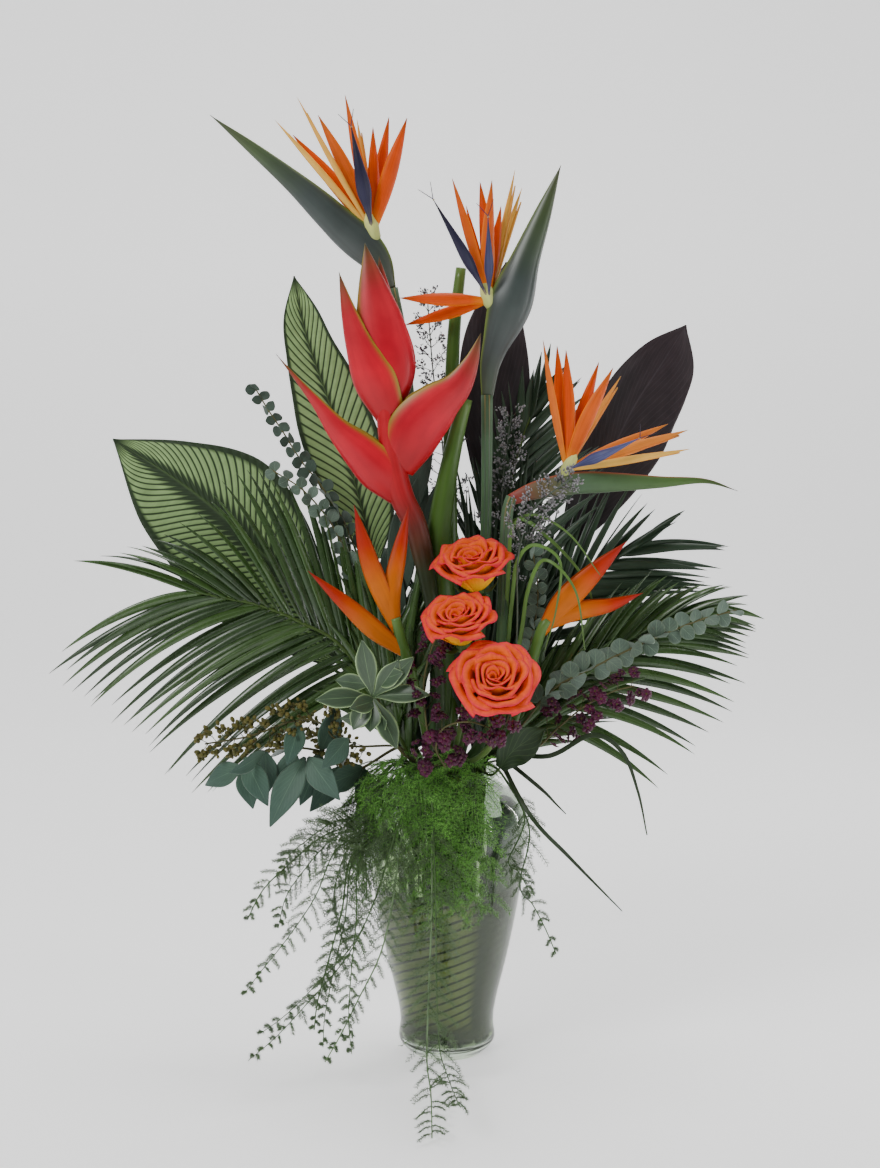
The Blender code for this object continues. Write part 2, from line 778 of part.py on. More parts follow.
def make_stalks():
    """Two smooth green stalks behind the heliconia: a slim one that ends in a point, and a fat one."""

    def slim(shift):
        above = [(455, 680, 0.036), (452, 560, 0.036), (450, 450, 0.036), (452, 372, 0.036),
                 (455, 320, 0.036),
                 (461, 268, 0.036)]
        return [stalk("stalk_slim", above, (0.0050, 0.0052, 0.0056, 0.0060, 0.0056, 0.0), 8, shift, sides=6,
                      pointed=True)]

    def fat(shift):
        above = [(446, 690, -0.002), (443, 620, -0.002), (438, 550, -0.002), (445, 490, -0.002),
                 (456, 437, -0.002),
                 (466, 399, -0.002)]
        return [stalk("stalk_fat", above, (0.0042, 0.0050, 0.0100, 0.0138, 0.0110, 0.0080, 0.0035), 9,
                      shift, sides=7)]

    plant("stalk_slim", settle(slim, NEAR_SHIFTS, "stalk_slim")[1], "stalk_green")
    plant("stalk_fat", settle(fat, NEAR_SHIFTS, "stalk_fat")[1], "stalk_green")


def make_small_heliconias():
    """Two orange and yellow parakeet heliconias with narrow pointed bracts."""

    def left(shift):
        d = -0.066
        return [
            stalk("heliconia_left", [(426, 740, d + 0.026), (416, 690, d + 0.006), (405, 652, d),
                                     (395, 618, d)],
                  (0.0032, 0.0034, 0.0048, 0.0050), 6, shift, sides=6),
            boat([(398, 632, d), (386, 603, d), (369, 560, d - 0.006), (354, 505, d - 0.012)],
                 (5, 9.5, 7.5, 0), (0.8, -0.2, 0.5), 5, shift),
            boat([(396, 628, d), (392, 592, d), (400, 548, d + 0.006), (409, 505, d + 0.010)],
                 (5, 8.5, 6.5, 0), (-0.9, -0.2, 0.1), 5, shift),
            boat([(407, 654, d), (376, 631, d), (345, 603, d - 0.004), (308, 571, d - 0.008)],
                 (5, 9.5, 6.5, 0), (0.5, -0.2, 0.85), 5, shift),
        ]

    def right(shift):
        d = -0.052
        return [
            stalk("heliconia_right", [(506, 740, d + 0.026), (524, 690, d + 0.006), (540, 634, d),
                                      (548, 620, d)],
                  (0.0032, 0.0034, 0.0048, 0.0050), 6, shift, sides=6),
            boat([(541, 633, d), (561, 605, d), (593, 573, d - 0.004), (627, 541, d - 0.008)],
                 (5, 11.5, 8.5, 0), (-0.6, -0.2, 0.8), 5, shift),
            boat([(546, 626, d), (577, 611, d + 0.004), (610, 605, d + 0.008), (643, 593, d + 0.012)],
                 (5, 9, 6.5, 0), (0.0, -0.2, 1.0), 5, shift),
        ]

    plant("heliconia_left", settle(left, NEAR_SHIFTS, "heliconia_left")[1], "heliconia_orange")
    plant("heliconia_right", settle(right, NEAR_SHIFTS, "heliconia_right")[1], "heliconia_orange")


# Roses


def sheet(grid, thickness):
    """Points and triangles of a thin body round a grid of points, split alike on both faces."""
    grid = np.asarray(grid, float)
    rows, columns, _ = grid.shape
    down = np.gradient(grid, axis=0)
    over = np.gradient(grid, axis=1)
    normal = np.cross(down, over)
    normal /= np.linalg.norm(normal, axis=2, keepdims=True)
    points = np.concatenate([(grid + normal * thickness / 2).reshape(-1, 3),
                             (grid - normal * thickness / 2).reshape(-1, 3)])
    faces, other = [], rows * columns
    for i in range(rows - 1):
        for j in range(columns - 1):
            a, b = i * columns + j, i * columns + j + 1
            c, d = (i + 1) * columns + j + 1, (i + 1) * columns + j
            for triangle in ((a, b, c), (a, c, d)):
                faces.append(triangle)
                faces.append(tuple(reversed([k + other for k in triangle])))
    edge = [j for j in range(columns)]
    edge += [i * columns + columns - 1 for i in range(1, rows)]
    edge += [(rows - 1) * columns + j for j in range(columns - 2, -1, -1)]
    edge += [i * columns for i in range(rows - 2, 0, -1)]
    for a, b in zip(edge, edge[1:] + edge[:1]):
        faces += [(b, a, a + other), (b, a + other, b + other)]
    return points, faces


ROSE_ROWS = (  # petals, radius at mid height, height, outward curl, half angle in degrees, points across a petal
    (2, 0.27, 0.92, -0.09, 80, 4),
    (3, 0.50, 1.00, 0.05, 66, 4),
    (4, 0.76, 0.96, 0.24, 52, 3),
)
ROSE_CORE = (0.36, 0.12, 0.84)  # radius at the base, radius at the top and height, as shares


def rose_bodies(centre, axis, radius, turn, grow=0.0):
    """A rose bloom: a core and rows of petals, each petal a sector of a bell, one edge under its neighbour.

    Also returns where the core's base is and its axis. Only the core is grown.
    """
    axis = unit(np.array(axis, float))
    side = unit(np.cross(axis, np.array([0.2, 0.1, 1.0])))
    other = np.cross(axis, side)
    height = radius * 0.92
    base = centre - axis * height * 0.5

    def place(r, angle, z):
        return base + (side * math.cos(angle) + other * math.sin(angle)) * r + axis * z

    rings = [(ROSE_CORE[0] * radius + grow, -grow),
             (ROSE_CORE[1] * radius + grow, ROSE_CORE[2] * height + grow)]
    bodies = [loft([[place(r, 2 * math.pi * k / 6, z) for k in range(6)] for r, z in rings])]
    for row, (count, reach, tall, curl, half, columns) in enumerate(ROSE_ROWS):
        for k in range(count):
            middle = turn + row * 0.7 + 2 * math.pi * k / count
            grid = []
            for v in (0.06, 0.50, 1.0):
                line = []
                for u in np.linspace(-1, 1, columns):
                    bell = reach * (0.32 + 0.68 * math.sin(min(v * 1.9, 1.571)))
                    swell = bell + curl * max(v - 0.45, 0) * 1.8
                    rise = tall * (v - 0.10 * max(v - 0.6, 0) * u * u * 2.2)
                    lift = rise - abs(curl) * 0.5 * max(v - 0.7, 0)
                    r = radius * (swell + 0.045 * u * (0.4 + v) + (0.05 if v > 0.6 else 0) * (1 - u * u))
                    line.append(place(r, middle + math.radians(half) * u * (1.0 - 0.12 * v), height * lift))
                grid.append(line)
            bodies.append(sheet(grid, 0.0012))
    return base, axis, bodies


ROSES = (
    ("rose_upper", (473, 567, -0.052), (-0.10, -0.78, 0.62), 0.0375, 0.2),
    ("rose_middle", (459, 623, -0.094), (-0.15, -0.85, 0.50), 0.0345, 1.1),
    ("rose_lower", (494, 683, -0.136), (0.10, -0.94, 0.32), 0.0400, 2.3),
)


def make_roses():
    for name, (column, row, depth), axis, radius, turn in ROSES:

        def bloom(shift, at=(column, row, depth), axis=axis, radius=radius, turn=turn, grow=0.0):
            return rose_bodies(seen(at[0], at[1], at[2] + shift), axis, radius, turn, grow)

        shift, bodies = settle(lambda depth_shift: bloom(depth_shift)[2], NEAR_SHIFTS)
        base, axis, grown = bloom(shift, grow=SEAT_GAP)
        route = [base - axis * 0.022 + DOWN * 0.034, base - axis * 0.014 + DOWN * 0.006,
                 base - axis * 0.007]
        route.append(base + axis * 0.004)

        def stem(_, name=name, route=route):
            return [stalk(name, route, (0.0028, 0.0027, 0.0027, 0.0027, 0.0028, 0.0040), 7, sides=6)]

        stems = settle(stem, name=name)[1]
        plant(f"{name}_bloom", bodies, "rose_coral")
        plant(f"{name}_stem", stems, "rose_stem", grown[:1])


# Broad leaves


def leaf_grid(route, left, right, facing, cup=0.0, wave=0.0, columns=5):
    """A broad leaf's grid: across each place of its midrib, cupped along it and waved at its edges."""
    _, out, across = carried_frames(route, np.asarray(facing, float))
    grid = []
    for k, (p, n, s) in enumerate(zip(route, out, across)):
        t = k / (len(route) - 1)
        line = []
        for u in np.linspace(-1, 1, columns):
            width = right[k] if u > 0 else left[k]
            ripple = wave * math.sin(2 * math.pi * (2.2 * t + 0.25 * u)) * u * u
            line.append(p + s * u * width + n * (cup * abs(u) ** 1.5 * width + ripple))
        grid.append(line)
    return grid


def broad_leaf(name, above, midrib, left, right, facing, material, cup=0.15, wave=0.002, steps=11,
               radius=0.0021):
    """A broad leaf with its stalk, which runs on as a rib under a third of the leaf."""

    def make(shift):
        route = even_route([seen(c, r, d + shift) for c, r, d in midrib], steps)
        at = np.linspace(0, 1, steps)
        lefts = profile(np.linspace(0, 1, len(left)), left, at) * 0.00095
        rights = profile(np.linspace(0, 1, len(right)), right, at) * 0.00095
        lefts, rights = np.maximum(lefts, 0.0012), np.maximum(rights, 0.0012)
        blade = sheet(leaf_grid(route, lefts, rights, facing, cup, wave), BLADE)
        rib = [*above, *midrib[: max(2, len(midrib) // 2)]]
        return [blade, stalk(name, rib, (radius, radius, radius * 0.9, radius * 0.55), 6, shift, sides=4)]

    plant(name, settle(make, NEAR_SHIFTS, name)[1], material)


def make_broad_leaves():
    broad_leaf(
        "calathea_left", [(400, 745, 0.040)],
        [(338, 660, 0.060), (302, 594, 0.062), (253, 544, 0.063), (210, 505, 0.064), (171, 476, 0.064),
         (113, 439, 0.062)],
        (14, 76, 80, 74, 54, 0), (14, 26, 58, 70, 40, 0), (0, -1, 0.1), "calathea_green", 0.12, 0.002, 9,
        0.0024,
    )
    broad_leaf(
        "calathea_upper", [(395, 700, 0.075)],
        [(374, 560, 0.082), (357, 490, 0.082), (330, 405, 0.082), (306, 335, 0.082), (294, 276, 0.082)],
        (8, 24, 28, 24, 0), (8, 34, 36, 28, 0), (0, -1, 0.1), "calathea_green", 0.10, 0.0015, 8, 0.0022,
    )
    broad_leaf(
        "ti_leaf_right", [(500, 700, 0.060)],
        [(566, 545, 0.100), (603, 470, 0.100), (632, 410, 0.100), (664, 360, 0.100), (686, 325, 0.100)],
        (8, 26, 30, 22, 0), (8, 36, 42, 24, 0), (0, -1, 0.1), "ti_dark", 0.12, 0.002, 6,
    )
    broad_leaf(
        "ti_leaf_middle", [(480, 700, 0.060)],
        [(492, 520, 0.070), (494, 440, 0.072), (496, 370, 0.072), (500, 310, 0.072), (506, 262, 0.072)],
        (7, 26, 38, 32, 0), (7, 26, 36, 26, 0), (0, -1, 0.1), "ti_dark", 0.12, 0.002, 6,
    )


# Leafy stems


class Spray:
    """A leafy standing stem: square rings along a route, shifted in depth until it has room."""

    def __init__(self, name, above, shares, radius, tip_radius, facing=FRONT, rolls=None):
        self.name = name
        shares = np.asarray(shares, float)
        home = NECK_PLACES[name]
        for shift, slide in ((shift, slide) for shift in NEAR_SHIFTS for slide in SLIDES):
            NECK_PLACES[name] = home + slide
            foot, neck, places = stand(name, above, shift)
            fine = even_route(places, 160)
            at = np.clip(shares, 0, 1) * 159
            route = np.stack([np.interp(at, np.arange(160), fine[:, i]) for i in range(3)], axis=1)
            self.route = np.vstack([foot, neck, route])
            self.radii = np.concatenate([[radius, radius], radius + (tip_radius - radius) * shares])
            self.along, self.out, self.across = carried_frames(self.route, np.asarray(facing, float))
            for i, roll in enumerate(rolls if rolls is not None else (), start=2):
                n, s = self.out[i].copy(), self.across[i].copy()
                self.out[i] = n * math.cos(roll) + s * math.sin(roll)
                self.across[i] = s * math.cos(roll) - n * math.sin(roll)
            crossed = list(ROOM.blockers(name, *loft(self.rings(TOUCH))))
            if not crossed and (STEMS[name][2] or not ROOM.free(name, *loft(self.rings(LEAN)))):
                break
        else:
            raise ValueError(f"no room for {name}, which crosses {crossed}")
        drill(name, foot, neck, radius * 1.45)
        self.growth = Growth(name)
        rows = [self.growth.put(*ring) for ring in self.rings()]
        self.growth.strip(*rows[0])
        self.growth.strip(*rows[-1])
        self.sides = []
        for a, b in zip(rows, rows[1:]):
            self.growth.strip(a[0], a[1], b[1], b[0])
            self.growth.strip(a[3], a[2], b[2], b[3])
            self.sides.append({-1: (a[1], a[2], b[1], b[2]), 1: (a[0], a[3], b[0], b[3])})
        self.growth.remember("stem", *loft(self.rings(-OWN_CLEAR)))
        for quads in self.sides:
            for top, low, next_top, next_low in quads.values():
                self.growth.shell += [(top, low, next_low), (top, next_low, next_top)]

    def rings(self, grow=0.0):
        """The square rings of the stem, grown or shrunk all round."""
        rings = []
        for p, r, n, s in zip(self.route, self.radii, self.out, self.across):
            n, s = n * (r + grow), s * (r + grow)
            rings.append([p + s + n, p - s + n, p - s - n, p + s - n])
        return rings

    def take(self, segment, side):
        """The open side quad of a segment, no longer closed at the end, and its middle."""
        quad = self.sides[segment].pop(side)
        return quad, sum(self.growth.points[j] for j in quad) / 4

    def finish(self, material):
        """Closes what is still open and makes the object."""
        for quads in self.sides:
            for quad in quads.values():
                self.growth.close(quad)
        shape = solid(self.name, self.growth.points, self.growth.faces, material)
        ROOM.add(self.name, self.growth.points, self.growth.faces)
        return shape


def node_shares(first, last, count, width):
    """Ring places for count leaf bearing segments, each this share of the length, and which segments they are."""
    shares = list(np.linspace(0, first - width / 2, LEAD_RINGS, endpoint=False))
    bearing = []
    for at in np.linspace(first, last, count):
        bearing.append(len(shares) + 2)
        shares += [at - width / 2, at + width / 2]
    return [*shares, 1.0], bearing


def paired_rolls(shares, bearing, turn):
    """A roll for each ring that turns each pair of leaves from the pair below it."""
    rolls = [0.0] * len(shares)
    for i, segment in enumerate(bearing):
        rolls[segment - 2] = rolls[segment - 1] = turn * (i % 2 - 0.5)
    rolls[-1] = rolls[-2]
    return rolls


# A blade's outline: (share of its length, half width, half thickness), with a half width of 0 at its tip
LEAFLET = ((0.40, 0.0044, 0.00045), (1.0, 0, 0))
ROUND_LEAF = ((0.42, 1.0, 0.00045), (0.80, 0.82, 0.00045), (1.0, 0, 0))
KITE_LEAF = ((0.55, 1.0, 0.00045), (1.0, 0, 0))
LONG_LEAF = ((0.34, 0.90, 0.0005), (0.66, 0.86, 0.0005), (1.0, 0, 0))
SPOON_LEAF = ((0.50, 0.92, 0.0005), (0.84, 0.80, 0.0005), (1.0, 0, 0))
BUD_TWIG = ((0.80, 0.0008, 0.0007), (1.0, 0.0036, 0.0032))
SEED_TWIG = ((0.74, 0.0020, 0.0019), (1.0, 0, 0))
TINY_TWIG = ((0.74, 0.0016, 0.0015), (1.0, 0, 0))
DEPTH_TRIES = (0, 12, -12, 24, -24, 36, -36, 50, -50)
TURN_TRIES = (0.0, 0.35, -0.35, 0.7, -0.7, 1.05, -1.05)
SHORTER_TRIES = (1.0, 0.85, 0.7, 0.5)


def palm(name, above, first, count, radius, near_tips, far_tips, material, sag=0.16, spread=8):
    """A palm frond: a rib with a row of long leaflets on each side, each bowed to a tip seen in the photograph.

    near_tips and far_tips list tips from the frond's foot to its end, at (column, row, depth).
    """
    chance = random.Random(name)
    shares = [*np.linspace(0, first, LEAD_RINGS, endpoint=False), *np.linspace(first, 1.0, count + 1)]
    spray = Spray(name, above, shares, radius, radius * 0.5)
    for k in range(count):
        segment = k + LEAD_RINGS + 2
        at = (k + 0.5) / count
        for side, tips in ((-1, near_tips), (1, far_tips)):
            row = np.array(tips, float)
            where = at * (len(row) - 1)
            column, line, depth = (np.interp(where, range(len(row)), row[:, i]) for i in range(3))
            column += chance.uniform(-3, 3)
            line += chance.uniform(-3, 3)
            quad, start = spray.take(segment, side)
            options = []
            for shorter in SHORTER_TRIES:
                for push in DEPTH_TRIES:
                    for tilt in (0.5, 0.15):
                        tip = seen(column, line, depth + (push + spread * (k % 2 - 0.5)) / 1000)
                        reach = (tip - start) * shorter
                        bow = (UP + 0.25 * FRONT) * np.linalg.norm(reach) * sag * 2
                        options.append(
                            blade_sections(start, reach, bow, spray.along[segment], LEAFLET, side,
                                           tilt * side)
                        )
            spray.growth.shut(spray.growth.grow(quad, options, f"leaflet {k} {side}"))
    return spray.finish(material)


def leafy(name, above, nodes, radii, leaf, material, forward=0.5, roll=1.15, shape=ROUND_LEAF, lift=0.0,
          droop=0.0,
          width=0.012):
    """A stem with leaves in pairs, each pair turned from the one below it.

    nodes is (first, last, count), radii the stem's at its foot and tip, and leaf is (length, half width) in
    millimetres at the first node and at the last.
    """
    chance = random.Random(name)
    shares, bearing = node_shares(*nodes, width)
    spray = Spray(name, above, shares, *radii, rolls=paired_rolls(shares, bearing, roll))
    (long_a, wide_a), (long_b, wide_b) = leaf
    for i, segment in enumerate(bearing):
        t = i / max(len(bearing) - 1, 1)
        length = (long_a + (long_b - long_a) * t) / 1000
        half = (wide_a + (wide_b - wide_a) * t) / 1000
        along, out, across = spray.along[segment], spray.out[segment], spray.across[segment]
        for side in (-1, 1):
            quad, start = spray.take(segment, side)
            options = []
            for shorter in SHORTER_TRIES:
                for turn in TURN_TRIES:
                    angle = lift + turn + chance.uniform(-0.12, 0.12)
                    outward = side * across * math.cos(angle) + out * math.sin(angle)
                    reach = unit(outward + along * forward + DOWN * droop) * length * shorter
                    size = [(share, wide * half * shorter, thick) for share, wide, thick in shape]
                    tilt = chance.uniform(-0.5, 0.5)
                    options.append(blade_sections(start, reach, out * length * 0.2, along, size, side,
                                                  tilt))
            spray.growth.shut(spray.growth.grow(quad, options, f"leaf {i} {side}"))
    return spray.finish(material)


def flowery(name, above, nodes, radius, reach_to, twig, material, width=0.014):
    """A stem with short twigs that each end in a bud, a seed or an open small flower.

    reach_to is the twig's length in millimetres at the first node and at the last.
    """
    chance = random.Random(name)
    shares, bearing = node_shares(*nodes, width)
    spray = Spray(name, above, shares, radius, radius * 0.6, rolls=paired_rolls(shares, bearing, 1.3))
    for i, segment in enumerate(bearing):
        t = i / max(len(bearing) - 1, 1)
        length = (reach_to[0] + (reach_to[1] - reach_to[0]) * t) / 1000
        along, out, across = spray.along[segment], spray.out[segment], spray.across[segment]
        for side in (-1, 1):
            quad, start = spray.take(segment, side)
            options = []
            for shorter in SHORTER_TRIES:
                for turn in TURN_TRIES:
                    angle = turn + chance.uniform(-0.3, 0.3)
                    outward = side * across * math.cos(angle) + out * math.sin(angle)
                    way = unit(outward + along * chance.uniform(0.4, 1.1)) * length * shorter
                    options.append(blade_sections(start, way, UP * length * 0.15, along, twig, side))
            spray.growth.shut(spray.growth.grow(quad, options, f"twig {i} {side}"))
    return spray.finish(material)


def fern(name, above, first, count, radius, branch, needles, droop=0.25):
    """An asparagus fern: a thin stem with flat branches on both sides, and needles along each branch.

    branch is a branch's length in millimetres near the foot and near the end.
    """
    chance = random.Random(name)
    shares, bearing = node_shares(first, 0.97, count, 0.012)
    spray = Spray(name, above, shares, radius, radius * 0.6)
    shape = [((j + 1) / (needles + 1), 0.0006, 0.0004) for j in range(needles)] + [(1.0, 0, 0)]
    for i, segment in enumerate(bearing):
        t = i / max(len(bearing) - 1, 1)
        along, out, across = spray.along[segment], spray.out[segment], spray.across[segment]
        for side in (-1, 1):
            quad, start = spray.take(segment, side)
            length = (branch[0] + (branch[1] - branch[0]) * t) / 1000 * chance.uniform(0.85, 1.1)
            options = []
            for shorter in SHORTER_TRIES:
                for turn in TURN_TRIES:
                    angle = turn + chance.uniform(-0.15, 0.15)
                    outward = side * across * math.cos(angle) + out * math.sin(angle)
                    reach = unit(outward + along * 0.75 + DOWN * droop) * length * shorter
                    options.append(blade_sections(start, reach, UP * length * 0.22, along, shape, side))
            label = f"branch {i} {side}"
            for j, pair in enumerate(spray.growth.grow(quad, options, label)):
                for end, edge in zip((-1, 1), pair):
                    long = length / needles * chance.uniform(1.0, 1.3) * (1.15 - 0.55 * j / needles)
                    spray.growth.grow(edge, needle_options(spray.growth, edge, end * side, long),
                                      f"{label} {j} {end}", label)
    return spray.finish("fern_green")


def needle_options(growth, edge, hand, length):
    """A short needle out of a branch's side quad, straight out of it or bent to either face."""
    near_top, near_low, far_top, far_low = (growth.points[k] for k in edge)
    spot = (near_top + near_low + far_top + far_low) / 4
    onward = unit(far_top + far_low - near_top - near_low)
    face = unit(near_top + far_top - near_low - far_low)
    aside = np.cross(face, onward) * hand
    options = []
    for shorter in (1.0, 0.7):
        for angle in (0.0, 0.4, -0.4, 0.8, -0.8):
            reach = unit(aside * math.cos(angle) + face * math.sin(angle) + onward * 0.9) * length * shorter
            options.append([(spot + reach, onward, 0, face, 0.0004)])
    return options


def around(turn, radius, height):
    """A place round the vase's axis, its angle in degrees from the right side, counted towards the back."""
    t = math.radians(turn)
    return np.array([radius * math.cos(t), radius * math.sin(t), height])


def laid(column, row, height):
    """The place at this height that the photograph shows at this column and row."""
    first, second = seen(column, row, 0.0), seen(column, row, -0.4)
    share = (height - first[2]) / (second[2] - first[2])
    return first + (second - first) * share


def over_rim(turn):
    """Places that carry a stem up out of the neck and over the rim, at this angle round the vase."""
    return [
        around(turn, 0.0405, RIM_TOP + 0.0050),
        around(turn, 0.0510, RIM_TOP + 0.0080),
        around(turn, 0.0680, RIM_TOP - 0.0020),
    ]


def make_palms():
    palm(
        "palm_left",
        [(388, 715, 0.012), (343, 648, 0.018), (300, 622, 0.022), (262, 606, 0.022), (225, 598, 0.018),
         (196, 592, 0.012)],
        0.30, 16, 0.0024,
        [(222, 796, -0.030), (190, 788, -0.02), (172, 778, -0.01), (148, 757, 0.0), (128, 728, 0.0),
         (112, 724, 0.0),
         (92, 714, 0.0), (71, 702, 0.0), (51, 679, 0.0), (45, 655, 0.0)],
        [(345, 520, 0.03), (323, 500, 0.02), (290, 480, 0.02), (253, 459, 0.015), (222, 470, 0.01),
         (200, 500, 0.005),
         (160, 532, 0.0), (125, 546, 0.0), (85, 552, 0.0), (58, 562, 0.0)],
        "palm_green",
    )
    palm(
        "palm_right",
        [(520, 735, 0.010), (560, 690, 0.012), (605, 655, 0.012), (650, 628, 0.012), (690, 612, 0.010)],
        0.24, 13, 0.0022,
        [(610, 590, 0.02), (640, 575, 0.01), (668, 572, 0.0), (700, 578, 0.0), (740, 590, -0.01),
         (756, 604, -0.01)],
        [(650, 800, -0.030), (705, 752, -0.02), (733, 718, -0.01), (742, 690, -0.01), (750, 660, -0.01),
         (752, 645, -0.01), (758, 632, -0.01), (762, 617, -0.01)],
        "palm_green",
    )
    palm(
        "palm_back",
        [(500, 660, 0.045), (503, 580, 0.050), (508, 510, 0.052), (519, 450, 0.055), (538, 398, 0.058)],
        0.40, 10, 0.0019,
        [(455, 520, 0.05), (462, 470, 0.055), (478, 430, 0.06), (500, 395, 0.06), (530, 355, 0.06),
         (556, 338, 0.06)],
        [(600, 510, 0.05), (606, 475, 0.05), (604, 440, 0.05), (596, 410, 0.05), (584, 380, 0.05),
         (572, 350, 0.055)],
        "palm_dark", sag=0.06,
    )
    palm(
        "palm_low",
        [(520, 690, 0.050), (548, 630, 0.058), (578, 588, 0.060), (612, 558, 0.060), (642, 545, 0.058)],
        0.36, 10, 0.0019,
        [(560, 500, 0.055), (590, 480, 0.055), (625, 470, 0.055), (655, 508, 0.05), (680, 515, 0.05),
         (695, 508, 0.05)],
        [(690, 655, 0.045), (700, 625, 0.045), (708, 600, 0.045), (712, 580, 0.045), (722, 562, 0.045),
         (743, 543, 0.045)],
        "palm_dark", sag=0.08,
    )


def make_eucalyptus():
    leafy(
        "eucalyptus_right",
        [(522, 725, -0.030), (552, 690, -0.034), (600, 664, -0.036), (650, 640, -0.036), (700, 620, -0.034),
         (737, 610, -0.032)],
        (0.30, 0.975, 10), (0.0014, 0.0008), ((20, 11), (13, 7)), "eucalyptus_silver", forward=0.45,
    )
    leafy(
        "eucalyptus_dark",
        [(395, 700, 0.030), (372, 610, 0.034), (350, 535, 0.036), (322, 487, 0.036), (302, 462, 0.036),
         (283, 432, 0.036), (267, 408, 0.036), (254, 386, 0.036)],
        (0.56, 0.985, 10), (0.0014, 0.0007), ((15, 7.5), (11, 5.5)), "eucalyptus_dark", forward=0.55,
        shape=KITE_LEAF,
    )
    leafy(
        "eucalyptus_silver",
        [(398, 710, 0.004), (378, 640, 0.004), (356, 580, 0.002), (335, 530, 0.000), (305, 492, -0.004),
         (272, 470, -0.006)],
        (0.46, 0.98, 8), (0.0013, 0.0007), ((15, 7.5), (11, 5.5)), "eucalyptus_silver", shape=KITE_LEAF,
    )
    leafy(
        "eucalyptus_middle",
        [(503, 730, -0.008), (516, 690, -0.012), (530, 645, -0.022), (538, 595, -0.030),
         (533, 552, -0.034)],
        (0.42, 0.98, 6), (0.0013, 0.0007), ((12, 6.0), (9, 4.6)), "eucalyptus_silver", shape=KITE_LEAF,
    )
    leafy(
        "seeded_leaves",
        [around(188, 0.048, 0.298), (352, 772, -0.030), (330, 755, -0.040), (300, 748, -0.048),
         (262, 752, -0.052),
         (240, 770, -0.054)],
        (0.34, 0.97, 5), (0.0016, 0.0010), ((62, 15), (46, 12)), "eucalyptus_blue", forward=0.3, roll=0.5,
        shape=LONG_LEAF, droop=0.9, width=0.02,
    )


def make_flowery_stems():
    flowery(
        "seeded_twig",
        [around(200, 0.050, 0.301), (345, 745, -0.050), (318, 722, -0.058), (290, 722, -0.060),
         (250, 736, -0.060),
         (205, 744, -0.056)],
        (0.28, 0.985, 8), 0.0012, (22, 14), SEED_TWIG, "seed_gold",
    )
    flowery(
        "limonium_left",
        [(452, 640, 0.055), (448, 540, 0.058), (442, 440, 0.058), (434, 380, 0.058), (430, 335, 0.058),
         (427, 292, 0.058)],
        (0.58, 0.985, 6), 0.0010, (23, 11), TINY_TWIG, "limonium_grey",
    )
    flowery(
        "limonium_right",
        [(492, 640, 0.030), (500, 540, 0.034), (503, 480, 0.034), (507, 445, 0.032), (512, 412, 0.030)],
        (0.46, 0.985, 6), 0.0010, (21, 10), TINY_TWIG, "limonium_white",
    )
    flowery(
        "wax_white",
        [(510, 720, -0.060), (517, 630, -0.062), (518, 560, -0.062), (530, 515, -0.062), (550, 494, -0.062),
         (572, 478, -0.062)],
        (0.55, 0.985, 6), 0.0010, (17, 10), TINY_TWIG, "limonium_white",
    )
    flowery(
        "wax_left",
        [(430, 740, -0.092), (425, 710, -0.094), (424, 680, -0.094), (431, 650, -0.092),
         (441, 628, -0.090)],
        (0.40, 0.985, 5), 0.0010, (18, 12), BUD_TWIG, "wax_purple",
    )
    flowery(
        "wax_middle",
        [(444, 765, -0.100), (436, 748, -0.116), (444, 728, -0.124), (470, 722, -0.128),
         (500, 732, -0.128)],
        (0.34, 0.985, 5), 0.0010, (19, 13), BUD_TWIG, "wax_purple",
    )
    flowery(
        "wax_right",
        [(530, 752, -0.050), (558, 728, -0.058), (585, 706, -0.062), (612, 692, -0.062),
         (634, 686, -0.060)],
        (0.46, 0.985, 5), 0.0010, (20, 13), BUD_TWIG, "wax_purple",
    )


def make_salal():
    broad_leaf(
        "salal_leaf", [(490, 775, -0.045)],
        [(500, 768, -0.060), (512, 752, -0.070), (528, 740, -0.078), (546, 728, -0.082)],
        (5, 14, 15, 0), (5, 16, 15, 0), (0, -1, 0.2), "leaf_green", 0.12, 0.001, 6, 0.0014,
    )


def make_pittosporum():
    leafy(
        "pittosporum",
        [(400, 750, -0.070), (388, 725, -0.082), (378, 700, -0.090), (373, 680, -0.092)],
        (0.72, 0.97, 4), (0.0016, 0.0014), ((54, 12.5), (46, 11.5)), "pittosporum_green", forward=0.25,
        roll=1.5,
        shape=SPOON_LEAF, width=0.035, lift=0.25,
    )


def make_ferns():
    fern(
        "fern_left",
        [*over_rim(204), around(203, 0.094, 0.235), (320, 838, -0.075), (287, 866, -0.085),
         (263, 890, -0.092),
         (247, 920, -0.098)],
        0.30, 5, 0.0011, (50, 28), 3,
    )
    fern(
        "fern_drop",
        [*over_rim(226), around(226, 0.096, 0.232), (350, 860, -0.110), (342, 910, -0.115),
         (330, 955, -0.118),
         (318, 1000, -0.118), (314, 1030, -0.116)],
        0.20, 6, 0.0011, (52, 32), 3,
    )
    fern(
        "fern_middle",
        [*over_rim(245), around(245, 0.098, 0.230), (392, 905, -0.116), (380, 955, -0.118),
         (358, 1000, -0.122),
         (340, 1036, -0.128), laid(325, 1062, 0.030)],
        0.20, 6, 0.0011, (52, 32), 3,
    )
    fern(
        "fern_front",
        [*over_rim(261), around(262, 0.098, 0.228), (432, 900, -0.108), (430, 960, -0.104),
         (428, 1010, -0.104),
         laid(427, 1062, 0.026), laid(431, 1095, 0.010), laid(432, 1138, 0.008)],
        0.12, 7, 0.0011, (54, 34), 3, droop=0.0,
    )
    fern(
        "fern_right",
        [*over_rim(322), around(322, 0.097, 0.232), (520, 885, -0.066), (533, 905, -0.068),
         (546, 930, -0.068),
         (556, 954, -0.066)],
        0.34, 4, 0.0010, (34, 20), 3,
    )


